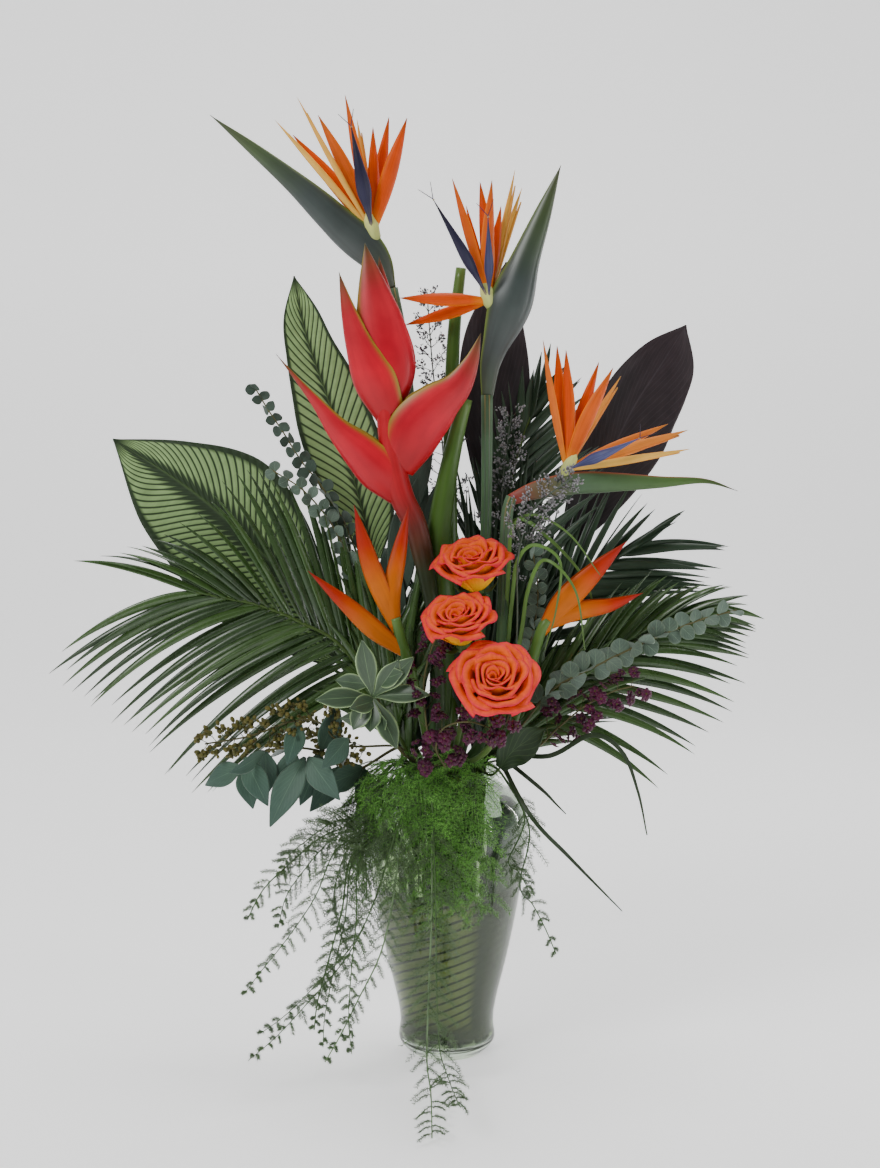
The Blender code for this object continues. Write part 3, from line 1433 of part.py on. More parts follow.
def make_grasses():
    """Thin blades of grass: two that loop over the roses, and two that reach out low on the right."""
    steps = tuple(np.linspace(0, 1, 12))
    routes = {
        "grass_a": [(506, 720, -0.022), (505, 620, -0.026), (508, 540, -0.050), (520, 519, -0.070),
                    (545, 535, -0.080),
                    (579, 571, -0.084), (592, 605, -0.080), (578, 640, -0.074)],
        "grass_c": [around(324, 0.056, 0.299), (548, 756, -0.074), (592, 735, -0.078), (622, 752, -0.078),
                    (638, 792, -0.078), (647, 835, -0.076)],
    }
    for name, places in routes.items():
        Spray(name, places, steps, 0.0008, 0.0005).finish("grass_green")


# The vase, its water and the leaf that lines it


def turned(name, profile_points, steps, material):
    """A solid of revolution about the vase's axis, from its profile."""
    mesh = bpy.data.meshes.new(name)
    points = [(r, 0.0, z) for r, z in profile_points]
    mesh.from_pydata(points, [(i, i + 1) for i in range(len(points) - 1)], [])
    shape = bpy.data.objects.new(name, mesh)
    PARTS.objects.link(shape)
    screw = shape.modifiers.new("Turn", "SCREW")
    screw.steps = screw.render_steps = steps
    screw.use_merge_vertices = True
    screw.merge_threshold = 1e-5
    mesh.materials.append(MATERIALS[material])
    bpy.context.view_layer.update()
    applied(shape)
    work = bmesh.new()
    work.from_mesh(shape.data)
    bmesh.ops.remove_doubles(work, verts=work.verts, dist=1e-6)
    bmesh.ops.recalc_face_normals(work, faces=work.faces)
    work.to_mesh(shape.data)
    work.free()
    shape.data.shade_smooth()
    shape.data.set_sharp_from_angle(angle=math.radians(50))
    return shape


def inside_radius(height, inset=0.0):
    """The vase's inner radius at a height, less an inset."""
    outside = sorted((z, r) for r, z in VASE_OUTSIDE)
    return np.interp(height, [z for z, _ in outside], [r for _, r in outside]) - VASE_WALL - inset


def make_vase():
    heights = [z for _, z in VASE_OUTSIDE if VASE_FLOOR < z < RIM_TOP]
    inner = [(0.0, VASE_FLOOR), (float(inside_radius(VASE_FLOOR)), VASE_FLOOR)]
    inner += [(float(inside_radius(z)), z) for z in sorted(heights)]
    outside = [*VASE_OUTSIDE, (0.0, 0.0)]
    ROOM.add_shape(turned("vase", [*inner, *outside], VASE_STEPS, "vase_glass"))


def make_liner():
    grid = []
    for height in LINER_HEIGHTS:
        lean = (height - LINER_HEIGHTS[0]) * 0.9
        turns = np.linspace(LINER_TURN[0] + lean * 0.4, LINER_TURN[1] - lean * 1.6, 13)
        r = inside_radius(height, LINER_INSET)
        grid.append([(r * math.cos(t), r * math.sin(t), height) for t in turns])
    plant("liner_leaf", [sheet(grid, LINER_BLADE)], "liner_stripes")


def make_water():
    """The water, with a plain hole for each stem that stands in it."""
    heights = [z for _, z in VASE_OUTSIDE if VASE_FLOOR + 0.012 < z < WATER_TOP - 0.006]
    low = VASE_FLOOR + 0.0005
    rows = [(0.0, WATER_TOP), (float(inside_radius(WATER_TOP, WATER_INSET)), WATER_TOP)]
    rows += [(float(inside_radius(z, WATER_INSET)), z) for z in sorted(heights, reverse=True)]
    rows += [(0.034, low), (0.0, low)]
    water = turned("water", rows, VASE_STEPS, "water_clear")
    cutters = bpy.data.collections.new("stem_holes")
    bpy.context.scene.collection.children.link(cutters)
    cutters.hide_render = True
    for name, (points, faces) in HOLES.items():
        hole = solid(f"{name}_hole", points, faces)
        hole.hide_render = True
        hole.display_type = "WIRE"
        PARTS.objects.unlink(hole)
        cutters.objects.link(hole)
    cut = water.modifiers.new("Stem holes", "BOOLEAN")
    cut.operation = "DIFFERENCE"
    cut.operand_type = "COLLECTION"
    cut.collection = cutters
    cut.solver = "MANIFOLD"
    bpy.context.view_layer.update()
    applied(water)
    for hole in list(cutters.objects):
        bpy.data.objects.remove(hole)
    bpy.data.collections.remove(cutters)
    keep_largest_body(water)


# Colours, roughness and alpha of each material

FINISHES = {
    "vase_glass": ((0.93, 0.97, 0.96), 0.05, 0.35),
    "water_clear": ((0.88, 0.94, 0.92), 0.05, 0.30),
    "liner_stripes": ((0.36, 0.46, 0.26), 0.5, 1.0),
    "spathe_green": ((0.14, 0.22, 0.18), 0.5, 1.0),
    "sepal_orange": ((0.90, 0.32, 0.03), 0.5, 1.0),
    "tongue_blue": ((0.05, 0.06, 0.20), 0.5, 1.0),
    "heliconia_red": ((0.72, 0.10, 0.08), 0.45, 1.0),
    "heliconia_orange": ((0.86, 0.26, 0.05), 0.45, 1.0),
    "stalk_green": ((0.16, 0.30, 0.08), 0.4, 1.0),
    "rose_coral": ((0.88, 0.24, 0.12), 0.6, 1.0),
    "rose_stem": ((0.10, 0.22, 0.07), 0.6, 1.0),
    "calathea_green": ((0.22, 0.34, 0.16), 0.5, 1.0),
    "ti_dark": ((0.05, 0.04, 0.05), 0.4, 1.0),
    "leaf_green": ((0.06, 0.16, 0.05), 0.5, 1.0),
    "palm_green": ((0.06, 0.18, 0.05), 0.45, 1.0),
    "palm_dark": ((0.04, 0.12, 0.05), 0.45, 1.0),
    "eucalyptus_silver": ((0.30, 0.42, 0.34), 0.6, 1.0),
    "eucalyptus_dark": ((0.05, 0.12, 0.08), 0.6, 1.0),
    "eucalyptus_blue": ((0.10, 0.20, 0.18), 0.6, 1.0),
    "seed_gold": ((0.30, 0.28, 0.08), 0.6, 1.0),
    "limonium_grey": ((0.32, 0.32, 0.34), 0.7, 1.0),
    "limonium_white": ((0.66, 0.56, 0.56), 0.7, 1.0),
    "wax_purple": ((0.28, 0.05, 0.16), 0.6, 1.0),
    "pittosporum_green": ((0.16, 0.26, 0.14), 0.5, 1.0),
    "fern_green": ((0.08, 0.24, 0.05), 0.6, 1.0),
    "grass_green": ((0.06, 0.14, 0.04), 0.5, 1.0),
}


def material(name, colour, roughness, alpha):
    made = bpy.data.materials.new(name)
    made.use_nodes = True
    shader = made.node_tree.nodes["Principled BSDF"]
    shader.inputs["Base Color"].default_value = (*colour, 1.0)
    shader.inputs["Roughness"].default_value = roughness
    shader.inputs["Alpha"].default_value = alpha
    made.diffuse_color = (*colour, alpha)
    return made


for old in list(bpy.data.objects):
    bpy.data.objects.remove(old, do_unlink=True)
PARTS = bpy.data.collections.new("bird_of_paradise_arrangement")
bpy.context.scene.collection.children.link(PARTS)
MATERIALS = {name: material(name, *finish) for name, finish in FINISHES.items()}
NECK_PLACES = neck_places()
ROOM = Room()
ROOM.add("surface", *loft([[(x, y, z) for x, y in SURFACE_CORNERS] for z in (-0.05, 0.0)]))
HOLES = {}

make_vase()
make_liner()
make_birds()
make_heliconia()
make_stalks()
make_small_heliconias()
make_roses()
make_broad_leaves()
make_ferns()
make_salal()
make_pittosporum()
make_eucalyptus()
make_palms()
make_flowery_stems()
make_grasses()
make_water()
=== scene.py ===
"""The finished look of a tall arrangement of tropical cut flowers and foliage in a glass vase.

Lengths are metres. The vase's foot stands at the origin, +Z is up and the front is -Y. A place above the vase is
given as (column, row, depth): the point that the photograph shows there, depth millimetres behind the vase's axis.
"""

import logging
import math
from dataclasses import dataclass, field
from enum import Enum

import bpy
import numpy as np
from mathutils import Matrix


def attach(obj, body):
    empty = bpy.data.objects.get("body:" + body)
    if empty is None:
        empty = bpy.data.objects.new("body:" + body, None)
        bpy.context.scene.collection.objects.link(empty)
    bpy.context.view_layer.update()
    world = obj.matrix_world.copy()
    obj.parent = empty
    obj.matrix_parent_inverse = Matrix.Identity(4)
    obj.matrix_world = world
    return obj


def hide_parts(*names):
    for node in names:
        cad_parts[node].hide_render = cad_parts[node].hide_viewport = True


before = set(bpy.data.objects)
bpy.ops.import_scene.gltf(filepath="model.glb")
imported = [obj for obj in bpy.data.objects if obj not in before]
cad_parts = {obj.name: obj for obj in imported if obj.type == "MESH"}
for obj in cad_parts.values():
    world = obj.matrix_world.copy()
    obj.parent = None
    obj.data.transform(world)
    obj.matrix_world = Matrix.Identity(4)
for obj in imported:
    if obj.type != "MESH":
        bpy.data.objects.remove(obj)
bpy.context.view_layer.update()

Array = np.ndarray
Place = tuple[float, float, float]
Colour = tuple[float, float, float]

LOG = logging.getLogger("arrangement")
WHITE = (1.0, 1.0, 1.0, 1.0)

# The photograph's viewpoint
EYE = np.array([-0.0066, -1.6, 0.60])
EYE_TILT = math.radians(5.18)
FOCAL_PIXELS = 1684.0
MIDDLE_COLUMN, MIDDLE_ROW = 440.0, 584.0
PHOTO_HEIGHT = 1168.0
FILM_SIDE = 36.0
PIXEL = 0.00095

# The vase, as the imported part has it
VASE_OUTSIDE = (
    (0.0485, 0.2780), (0.0500, 0.2740), (0.0474, 0.2680), (0.0560, 0.2590), (0.0720, 0.2490), (0.0795, 0.2280),
    (0.0755, 0.1970), (0.0695, 0.1490), (0.0600, 0.1000), (0.0485, 0.0520), (0.0455, 0.0300), (0.0465, 0.0120),
    (0.0360, 0.0),
)
VASE_WALL = 0.003
VASE_FLOOR = 0.012
WATER_TOP = 0.205
NECK_Z = 0.266
LIP_Z = 0.284
RIM_TOP = 0.278
LIP_SPREAD = 1.03
NECK_RADIUS = 0.0435
FOOT_HEIGHTS = (0.0126, 0.212)
SHIFTS = tuple(side * step for step in (0, 3, 6, 10, 15, 21, 28, 36, 45, 55) for side in (1, -1))
STRAIGHT_ROWS = 6
BLADE_THICK = 0.0008
RING_SLICE = 0.0025

UP = np.array([0.0, 0.0, 1.0])
FRONT = np.array([0.0, -1.0, 0.0])


# Lines and directions


def unit(vectors: Array) -> Array:
    """The vectors scaled to length 1."""
    return vectors / np.maximum(np.linalg.norm(vectors, axis=-1, keepdims=True), 1e-12)


def seen(places: object, back: float = 0.0) -> Array:
    """The points that the photograph shows at these places.

    A place's ray leaves the eye along forward + up * (middle row - row) / focal + right * (column - middle) / focal,
    and the point is where it reaches the place's depth.

    Args:
        places: (column, row, depth) rows.
        back: millimetres added to each depth.

    Returns:
        One point a row.
    """
    column, row, depth = np.asarray(places, float).T
    lift = (MIDDLE_ROW - row) / FOCAL_PIXELS
    ray = np.stack([
        (column - MIDDLE_COLUMN) / FOCAL_PIXELS,
        math.cos(EYE_TILT) + math.sin(EYE_TILT) * lift,
        math.cos(EYE_TILT) * lift - math.sin(EYE_TILT),
    ], axis=-1)
    return EYE + ray * (((depth + back) / 1000 - EYE[1]) / ray[..., 1])[..., None]


def spline(values: object, count: int) -> Array:
    """count rows along a Catmull-Rom curve, 0.5 (2b + (c-a)t + (2a-5b+4c-d)t^2 + (3b-a-3c+d)t^3), through the values.

    Args:
        values: the rows that the curve passes through.
        count: how many rows to return.

    Returns:
        The rows, evenly spaced in the curve's own parameter.
    """
    p = np.asarray(values, float)
    p = p.reshape(len(p), -1)
    p = np.vstack([2 * p[:1] - p[1:2], p, 2 * p[-1:] - p[-2:-1]])
    s = np.linspace(0, len(p) - 3 - 1e-9, count)
    i = s.astype(int)
    t = (s - i)[:, None]
    a, b, c, d = p[i], p[i + 1], p[i + 2], p[i + 3]
    return 0.5 * (2 * b + (c - a) * t + (2 * a - 5 * b + 4 * c - d) * t**2 + (3 * b - a - 3 * c + d) * t**3)


def even(points: object, count: int) -> Array:
    """count points, evenly spaced by length, on the Catmull-Rom curve through these points.

    Args:
        points: the points that the curve passes through.
        count: how many to return.

    Returns:
        The points as rows.
    """
    fine = spline(points, 24 * len(points))
    walked = np.concatenate([[0], np.cumsum(np.linalg.norm(np.diff(fine, axis=0), axis=1))])
    wanted = np.linspace(0, walked[-1], count)
    return np.stack([np.interp(wanted, walked, fine[:, i]) for i in range(3)], axis=1)


def eased(values: object, count: int, least: float = 0.0) -> Array:
    """The values spread over count steps on a smooth curve, none under the least."""
    return np.maximum(spline(values, count)[:, 0], least)


def directions(route: Array, facing: Array) -> tuple[Array, Array, Array]:
    """Unit vectors along routes, out of them towards their facing, and across, which is along x out.

    Args:
        route: points, as rows or as many sets of rows.
        facing: the way that each route's upper side looks.

    Returns:
        The vectors along, out and across, a row for each point.
    """
    along = unit(np.gradient(route, axis=-2))
    facing = np.broadcast_to(np.asarray(facing, float), route.shape[:-2] + (3,))[..., None, :]
    out = unit(facing - along * (along * facing).sum(-1, keepdims=True))
    return along, out, np.cross(along, out)


def at_share(route: Array, share: Array) -> Array:
    """The points at these shares of a route's rows."""
    where = np.clip(share, 0, 1) * (len(route) - 1)
    return np.stack([np.interp(where, np.arange(len(route)), route[:, i]) for i in range(3)], axis=-1)


def around(turn: float, radius: float, height: float) -> Array:
    """A place round the vase's axis, its angle in degrees from the right side, counted towards the back."""
    t = math.radians(turn)
    return np.array([radius * math.cos(t), radius * math.sin(t), height])


def laid(column: float, row: float, height: float) -> Array:
    """The place at this height that the photograph shows at this column and row."""
    first, second = seen([(column, row, 0), (column, row, -400)])
    return first + (second - first) * (height - first[2]) / (second[2] - first[2])


def over_rim(turn: float) -> list[Array]:
    """Places that carry a stem up out of the neck and over the rim, at this angle round the vase."""
    ring = ((0.0405, 0.005), (0.051, 0.008), (0.068, -0.002))
    return [around(turn, radius, RIM_TOP + rise) for radius, rise in ring]


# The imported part: where its stems stand


@dataclass
class Packed:
    """Reads where the fixed frame's nodes are, so that each finished piece lies where its node does."""

    kept: dict[str, Array] = field(default_factory=dict)

    def points(self, node: str) -> Array:
        """The node's own points, each once.

        Args:
            node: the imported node.

        Returns:
            The points as rows.
        """
        if node not in self.kept:
            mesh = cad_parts[node].data
            flat = np.empty(len(mesh.vertices) * 3, np.float32)
            mesh.vertices.foreach_get("co", flat)
            self.kept[node] = np.unique(np.round(flat.reshape(-1, 3).astype(float), 5), axis=0)
        return self.kept[node]

    def ring(self, node: str, height: float) -> Array | None:
        """The middle of the ring of points that the node has inside the vase at a height, if it has one.

        Args:
            node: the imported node.
            height: in metres.

        Returns:
            The middle, or None where no ring is found.
        """
        p = self.points(node)
        near = p[(np.abs(p[:, 2] - height) < RING_SLICE) & (np.hypot(p[:, 0], p[:, 1]) < NECK_RADIUS)]
        return (near.min(0) + near.max(0)) / 2 if len(near) > 2 else None

    def shift(self, node: str, places: list[Place]) -> float:
        """How many millimetres back the node was set from these places: the shift whose points lie nearest to it.

        Args:
            node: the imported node.
            places: where the photograph shows it.

        Returns:
            The shift in millimetres.
        """
        rows = [p for p in places if not isinstance(p, np.ndarray)]
        if not rows:
            return 0.0
        cad = self.points(node)

        def miss(shift: float) -> float:
            return float(np.linalg.norm(seen(rows, shift)[:, None] - cad[None], axis=-1).min(1).mean())

        return min(SHIFTS, key=miss)

    def stem(self, node: str, above: list[Place], rows: int, shift: float = 0.0) -> Array:
        """A stem's middle: straight from its foot to the neck, then a smooth curve through the places above.

        Args:
            node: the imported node.
            above: places above the vase's lip.
            rows: how many points lie above the neck.
            shift: millimetres added to each place's depth.

        Returns:
            The middle's points, from the foot up.
        """
        neck = self.ring(node, NECK_Z)
        foot = next(f for f in (self.ring(node, z) for z in FOOT_HEIGHTS) if f is not None)
        lip = np.array([neck[0] * LIP_SPREAD, neck[1] * LIP_SPREAD, LIP_Z])
        places = [p if isinstance(p, np.ndarray) else seen(p, shift) for p in above]
        straight = foot + (neck - foot) * np.linspace(0, 1, STRAIGHT_ROWS)[:, None]
        return np.vstack([straight, even([lip, *places], rows)])


PACKED = Packed()


# Surfaces


@dataclass(frozen=True)
class Section:
    """A closed outline carried along a route: places across and out of it, and marks for the shader.

    A point is route + across * x * half width + out * (h * half depth + lift * half width).
    """

    x: Array
    h: Array
    lift: Array
    rim: Array
    face: Array


def round_section(sides: int) -> Section:
    """A circle: x = cos a, h = sin a."""
    a = 2 * math.pi * np.arange(sides) / sides
    return Section(np.cos(a), np.sin(a), a * 0, a * 0, a * 0)


def leaf_section(half: int, fold: float = 0.0, cup: float = 0.0) -> Section:
    """A flat leaf: x = cos a, h = sqrt(1 - x^4) on the side of sin a, and a lift of fold |x| + cup x^2.

    Args:
        half: how many sides its upper and its lower half have.
        fold: how steeply its halves rise from the midrib.
        cup: how far they curve upwards.

    Returns:
        The outline.
    """
    a = math.pi * np.arange(2 * half) / half
    x = np.cos(a)
    h = np.sign(np.round(np.sin(a), 9)) * np.sqrt(np.maximum(1 - x**4, 0))
    return Section(x, h, fold * np.abs(x) + cup * x**2, np.abs(x), (h > 0).astype(float))


BOAT = ((0.0, -1.0), (0.36, -0.80), (0.54, -0.40), (0.60, 0.10), (0.46, 0.58), (0.25, 0.92), (0.20, 0.90), (0.16, 0.62),
        (0.0, 0.34), (-0.16, 0.62), (-0.20, 0.90), (-0.25, 0.92), (-0.46, 0.58), (-0.60, 0.10), (-0.54, -0.40),
        (-0.36, -0.80))


def boat_section(count: int) -> Section:
    """A folded bract: a keel below and two thin lips above with a groove between, on a closed Catmull-Rom curve.

    Args:
        count: about how many sides it has.

    Returns:
        The outline.
    """
    p = np.array(BOAT)
    ring = spline(np.vstack([p[-2:], p, p[:3]]), 8 * (len(p) + 4) + 1)[16 : 16 + 8 * len(p)]
    ring = ring[:: max(1, len(ring) // count)]
    x, h = ring[:, 0], ring[:, 1]
    rim = np.exp(-((np.abs(x) - 0.22) ** 2 + (h - 0.92) ** 2) / 0.02)
    return Section(x, h, x * 0, rim, ((np.abs(x) < 0.21) & (h > 0.2)).astype(float))


@dataclass
class Patch:
    """Part of a mesh: points, four-sided faces, end faces, and what the shader reads at each point."""

    points: Array
    quads: Array
    caps: list[Array]
    uv: Array
    tone: Array
    rim: Array
    face: Array
    coat: int = 0


def sweep(route: Array, facing: Array, wide: Array, depth: Array, section: Section, *, tone: Array | float = 0.5,
          ripple: Array | float = 0.0, coat: int = 0) -> Patch:
    """Carries a section along one or many routes: route + across x w + out (h d + lift w + ripple).

    Args:
        route: points, as rows or as many sets of rows.
        facing: the way that the section's upper side looks, one for each route.
        wide: half widths, one a row.
        depth: half depths, one a row.
        section: the outline.
        tone: a shade from 0 to 1 for each route.
        ripple: how far each row's section points are lifted.
        coat: which of the piece's finishes it takes.

    Returns:
        The swept surface, closed at both ends.
    """
    route = route[None] if route.ndim == 2 else route
    n, rows, sides = route.shape[0], route.shape[1], len(section.x)
    _, out, across = directions(route, facing)
    wide = np.broadcast_to(wide, (n, rows))[..., None]
    depth = np.broadcast_to(depth, (n, rows))[..., None]
    rise = section.h * depth + section.lift * wide + ripple
    points = route[:, :, None] + across[:, :, None] * (section.x * wide)[..., None] + out[:, :, None] * rise[..., None]
    index = np.arange(n * rows * sides).reshape(n, rows, sides)
    here, beyond = index[:, :-1], index[:, 1:]
    quads = np.stack([here, beyond, np.roll(beyond, -1, 2), np.roll(here, -1, 2)], axis=-1).reshape(-1, 4)
    share = np.broadcast_to(np.linspace(0, 1, rows)[None, :, None], index.shape)
    over = np.broadcast_to((section.x + 1) / 2, index.shape)
    tone = np.broadcast_to(np.asarray(tone, float).reshape(-1, 1, 1), index.shape)
    rim, face = (np.broadcast_to(mark, index.shape) for mark in (section.rim, section.face))
    return Patch(points.reshape(-1, 3), quads, [index[:, 0], index[:, -1, ::-1]],
                 np.stack([share, over], -1).reshape(-1, 2), tone.ravel(), rim.ravel(), face.ravel(), coat)


def blades(starts: Array, reaches: Array, bows: Array, facing: Array, half: Array, outline: object, section: Section,
           rows: int = 7, thick: float = 0.00035, **marks: object) -> Patch:
    """Many leaves at once: each middle is start + reach s + bow s (1 - s), and outline gives its width along s.

    Args:
        starts: where each leaf begins.
        reaches: from there to its tip.
        bows: how far and which way it bends.
        facing: the way that its upper side looks.
        half: its greatest half width.
        outline: width shares from its foot to its tip.
        section: the outline of its section.
        rows: how many sections it has.
        thick: its half thickness.
        marks: passed on to sweep.

    Returns:
        The leaves as one patch.
    """
    s = np.linspace(0, 1, rows)[None, :, None]
    route = starts[:, None] + reaches[:, None] * s + bows[:, None] * s * (1 - s)
    shape = eased(outline, rows, 0.02)
    depth = thick * np.minimum(1.0, eased([0.9, 1, 1, 1, 0.3], rows, 0.1))
    return sweep(route, facing, np.asarray(half).reshape(-1, 1) * shape, np.broadcast_to(depth, (len(starts), rows)),
                 section, **marks)


def spikes(starts: Array, ways: Array, radius: Array | float, tone: Array | float = 0.5, coat: int = 0) -> Patch:
    """Many fine needles, each a closed pyramid from a three-sided foot to its tip at start + way.

    Args:
        starts: the middle of each foot.
        ways: from there to its tip.
        radius: the foot's radius.
        tone: a shade for each.
        coat: which of the piece's finishes it takes.

    Returns:
        The needles as one patch.
    """
    n = len(starts)
    side = unit(np.cross(ways, unit(ways)[:, [1, 2, 0]] + 0.13))
    other = unit(np.cross(ways, side))
    r = np.broadcast_to(np.asarray(radius, float), (n,))[:, None]
    turn = 2 * math.pi * np.arange(3) / 3
    foot = [starts + r * (side * math.cos(a) + other * math.sin(a)) for a in turn]
    points = np.stack([*foot, starts + ways], axis=1)
    base = np.arange(n)[:, None] * 4
    faces = np.concatenate([base + f for f in ([0, 2, 1], [0, 1, 3], [1, 2, 3], [2, 0, 3])])
    share = np.tile([0.0, 0.0, 0.0, 1.0], n)
    tones = np.repeat(np.broadcast_to(np.asarray(tone, float), (n,)), 4)
    return Patch(points.reshape(-1, 3), np.zeros((0, 4), int), [faces], np.stack([share, share * 0 + 0.5], -1), tones,
                 share * 0, share * 0, coat)


def beads(centres: Array, axes: Array, radii: Array, stretch: float = 1.0, sides: int = 6, tone: Array | float = 0.5,
          coat: int = 0) -> Patch:
    """Small round bodies: rings of radius r sqrt(1 - u^2) at u r along each axis.

    Args:
        centres: their middles.
        axes: their long directions.
        radii: their radii.
        stretch: their half length as a share of the radius.
        sides: sides of a ring.
        tone: a shade for each.
        coat: which of the piece's finishes it takes.

    Returns:
        The bodies as one patch.
    """
    u = np.array([-0.92, -0.5, 0.2, 0.72, 0.98])
    r = np.asarray(radii, float).reshape(-1, 1)
    route = centres[:, None] + unit(axes)[:, None] * (u * r * stretch)[..., None]
    facing = unit(np.cross(axes, axes[:, [1, 2, 0]] + 0.17))
    half = r * np.sqrt(1 - u**2)
    return sweep(route, facing, half, half, round_section(sides), tone=tone, coat=coat)


def rod(route: Array, radii: object, sides: int = 12, coat: int = 0, tone: float = 0.5) -> Patch:
    """A round stem along a route, its radii spread smoothly over its length.

    Args:
        route: its middle.
        radii: radii from its foot to its tip.
        sides: sides of its section.
        coat: which of the piece's finishes it takes.
        tone: its shade.

    Returns:
        The stem, closed at both ends.
    """
    spread = eased(radii, len(route), 0.00015)
    heading = route[-1] - route[0]
    facing = FRONT if abs(unit(heading)[1]) < 0.9 else UP
    return sweep(route, facing, spread, spread, round_section(sides), coat=coat, tone=tone)


def shell(grid: Array, thick: float, rim: Array | None = None, tone: float = 0.5, coat: int = 0) -> Patch:
    """A thin body round a grid of points: the grid moved out and in by half its thickness, joined round its edge.

    Args:
        grid: rows and columns of points.
        thick: its thickness.
        rim: a mark for each point that grows towards the edge.
        tone: its shade.
        coat: which of the piece's finishes it takes.

    Returns:
        The closed body.
    """
    rows, columns, _ = grid.shape
    normal = unit(np.cross(np.gradient(grid, axis=0), np.gradient(grid, axis=1)))
    points = np.concatenate([(grid + normal * thick / 2).reshape(-1, 3), (grid - normal * thick / 2).reshape(-1, 3)])
    index = np.arange(rows * columns).reshape(rows, columns)
    a, b, c, d = index[:-1, :-1], index[:-1, 1:], index[1:, 1:], index[1:, :-1]
    top = np.stack([a, d, c, b], -1).reshape(-1, 4)
    low = top[:, ::-1] + rows * columns
    edge = np.concatenate([index[0, :-1], index[:-1, -1], index[-1, :0:-1], index[:0:-1, 0]])
    ring = np.stack([edge, np.roll(edge, -1), np.roll(edge, -1) + rows * columns, edge + rows * columns], -1)
    v, u = np.meshgrid(np.linspace(0, 1, rows), np.linspace(0, 1, columns), indexing="ij")
    uv = np.tile(np.stack([v, u], -1).reshape(-1, 2), (2, 1))
    rim = np.maximum(v, np.abs(2 * u - 1) * v) if rim is None else rim
    face = np.repeat([1.0, 0.0], rows * columns)
    quads = np.concatenate([top, low, ring])
    return Patch(points, quads, [], uv, np.full(len(points), tone), np.tile(rim.ravel(), 2), face, coat)


def placed(name: str, data: bpy.types.ID) -> bpy.types.Object:
    """A new object in the scene, at the origin."""
    made = bpy.data.objects.new(name, data)
    bpy.context.scene.collection.objects.link(made)
    return made


def piece(name: str, patches: list[Patch], coats: list[object], slot: str, *nodes: str) -> None:
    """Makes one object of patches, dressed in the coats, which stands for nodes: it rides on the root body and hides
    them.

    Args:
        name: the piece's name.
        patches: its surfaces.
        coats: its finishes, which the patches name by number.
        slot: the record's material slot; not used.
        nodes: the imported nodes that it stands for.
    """
    offsets = np.cumsum([0] + [len(p.points) for p in patches])
    corners, totals, slots = [], [], []
    for patch, first in zip(patches, offsets):
        for group in [patch.quads, *patch.caps]:
            if len(group):
                corners.append((group + first).ravel())
                totals.append(np.full(len(group), group.shape[1]))
                slots.append(np.full(len(group), patch.coat))
    corners, totals, slots = np.concatenate(corners), np.concatenate(totals), np.concatenate(slots)
    mesh = bpy.data.meshes.new(name)
    mesh.vertices.add(offsets[-1])
    mesh.vertices.foreach_set("co", np.concatenate([p.points for p in patches]).astype(np.float32).ravel())
    mesh.loops.add(len(corners))
    mesh.loops.foreach_set("vertex_index", corners.astype(np.int32))
    mesh.polygons.add(len(totals))
    mesh.polygons.foreach_set("loop_start", np.concatenate([[0], np.cumsum(totals)[:-1]]).astype(np.int32))
    mesh.update(calc_edges=True)
    mesh.polygons.foreach_set("material_index", slots.astype(np.int32))
    mesh.polygons.foreach_set("use_smooth", np.ones(len(totals), bool))
    uv = np.concatenate([p.uv for p in patches])[corners]
    mesh.uv_layers.new(name="UVMap").data.foreach_set("uv", uv.astype(np.float32).ravel())
    for mark in ("tone", "rim", "face"):
        values = np.concatenate([getattr(p, mark) for p in patches]).astype(np.float32)
        mesh.attributes.new(mark, "FLOAT", "POINT").data.foreach_set("value", values)
    for coat in coats:
        mesh.materials.append(bpy.data.materials.get(coat.name) or coat.material())
    shape = placed(name, mesh)
    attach(shape, "root")
    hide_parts(*nodes)
    LOG.info("%s: %d faces, stands for %s", name, len(totals), ", ".join(nodes))


# Shader wiring


MIDRIB_SHARE = 0.035
ROUGH_SPREAD = 0.08
COAT_ROUGHNESS = 0.2
GLOW_DEPTH = 0.004
LEAF_RELIEF = 0.0004

# The curve that renders are shown through: primaries widened, drawn in, bent in stops by a polynomial, and drawn out
TO_WIDE = np.array([[0.6274, 0.3293, 0.0433], [0.0691, 0.9195, 0.0113], [0.0164, 0.0880, 0.8956]])
DRAW_IN = np.array([[0.856627, 0.095121, 0.048252], [0.137319, 0.761242, 0.101439], [0.111898, 0.076799, 0.811302]])
DRAW_OUT = np.array([[1.127101, -0.110607, -0.016494], [-0.141330, 1.157824, -0.016494],
                     [-0.141330, -0.110607, 1.251936]])
STOPS = np.array([-12.47393, 4.026069])
BEND = (15.5, -40.14, 31.96, -6.868, 0.4298, 0.1191, -0.00232)


def linear(colour: Colour) -> tuple[float, float, float, float]:
    """The base colour that a render shows, in even light, as this colour of 0 to 255 display values.

    Args:
        colour: the display colour.

    Returns:
        Red, green, blue and 1.
    """
    c = np.array(colour, float) / 255
    c = np.where(c <= 0.04045, c / 12.92, ((c + 0.055) / 1.055) ** 2.4)
    shown = np.linalg.inv(DRAW_OUT) @ (np.maximum(TO_WIDE @ c, 0) ** (1 / 2.2))
    steps = np.linspace(0, 1, 1000)
    stops = np.interp(shown, np.maximum(np.polyval(BEND, steps), 0), steps)
    base = np.linalg.inv(TO_WIDE) @ (np.linalg.inv(DRAW_IN) @ 2.0 ** (stops * (STOPS[1] - STOPS[0]) + STOPS[0]))
    return (*map(float, np.clip(base, 0.003, 0.9)), 1.0)


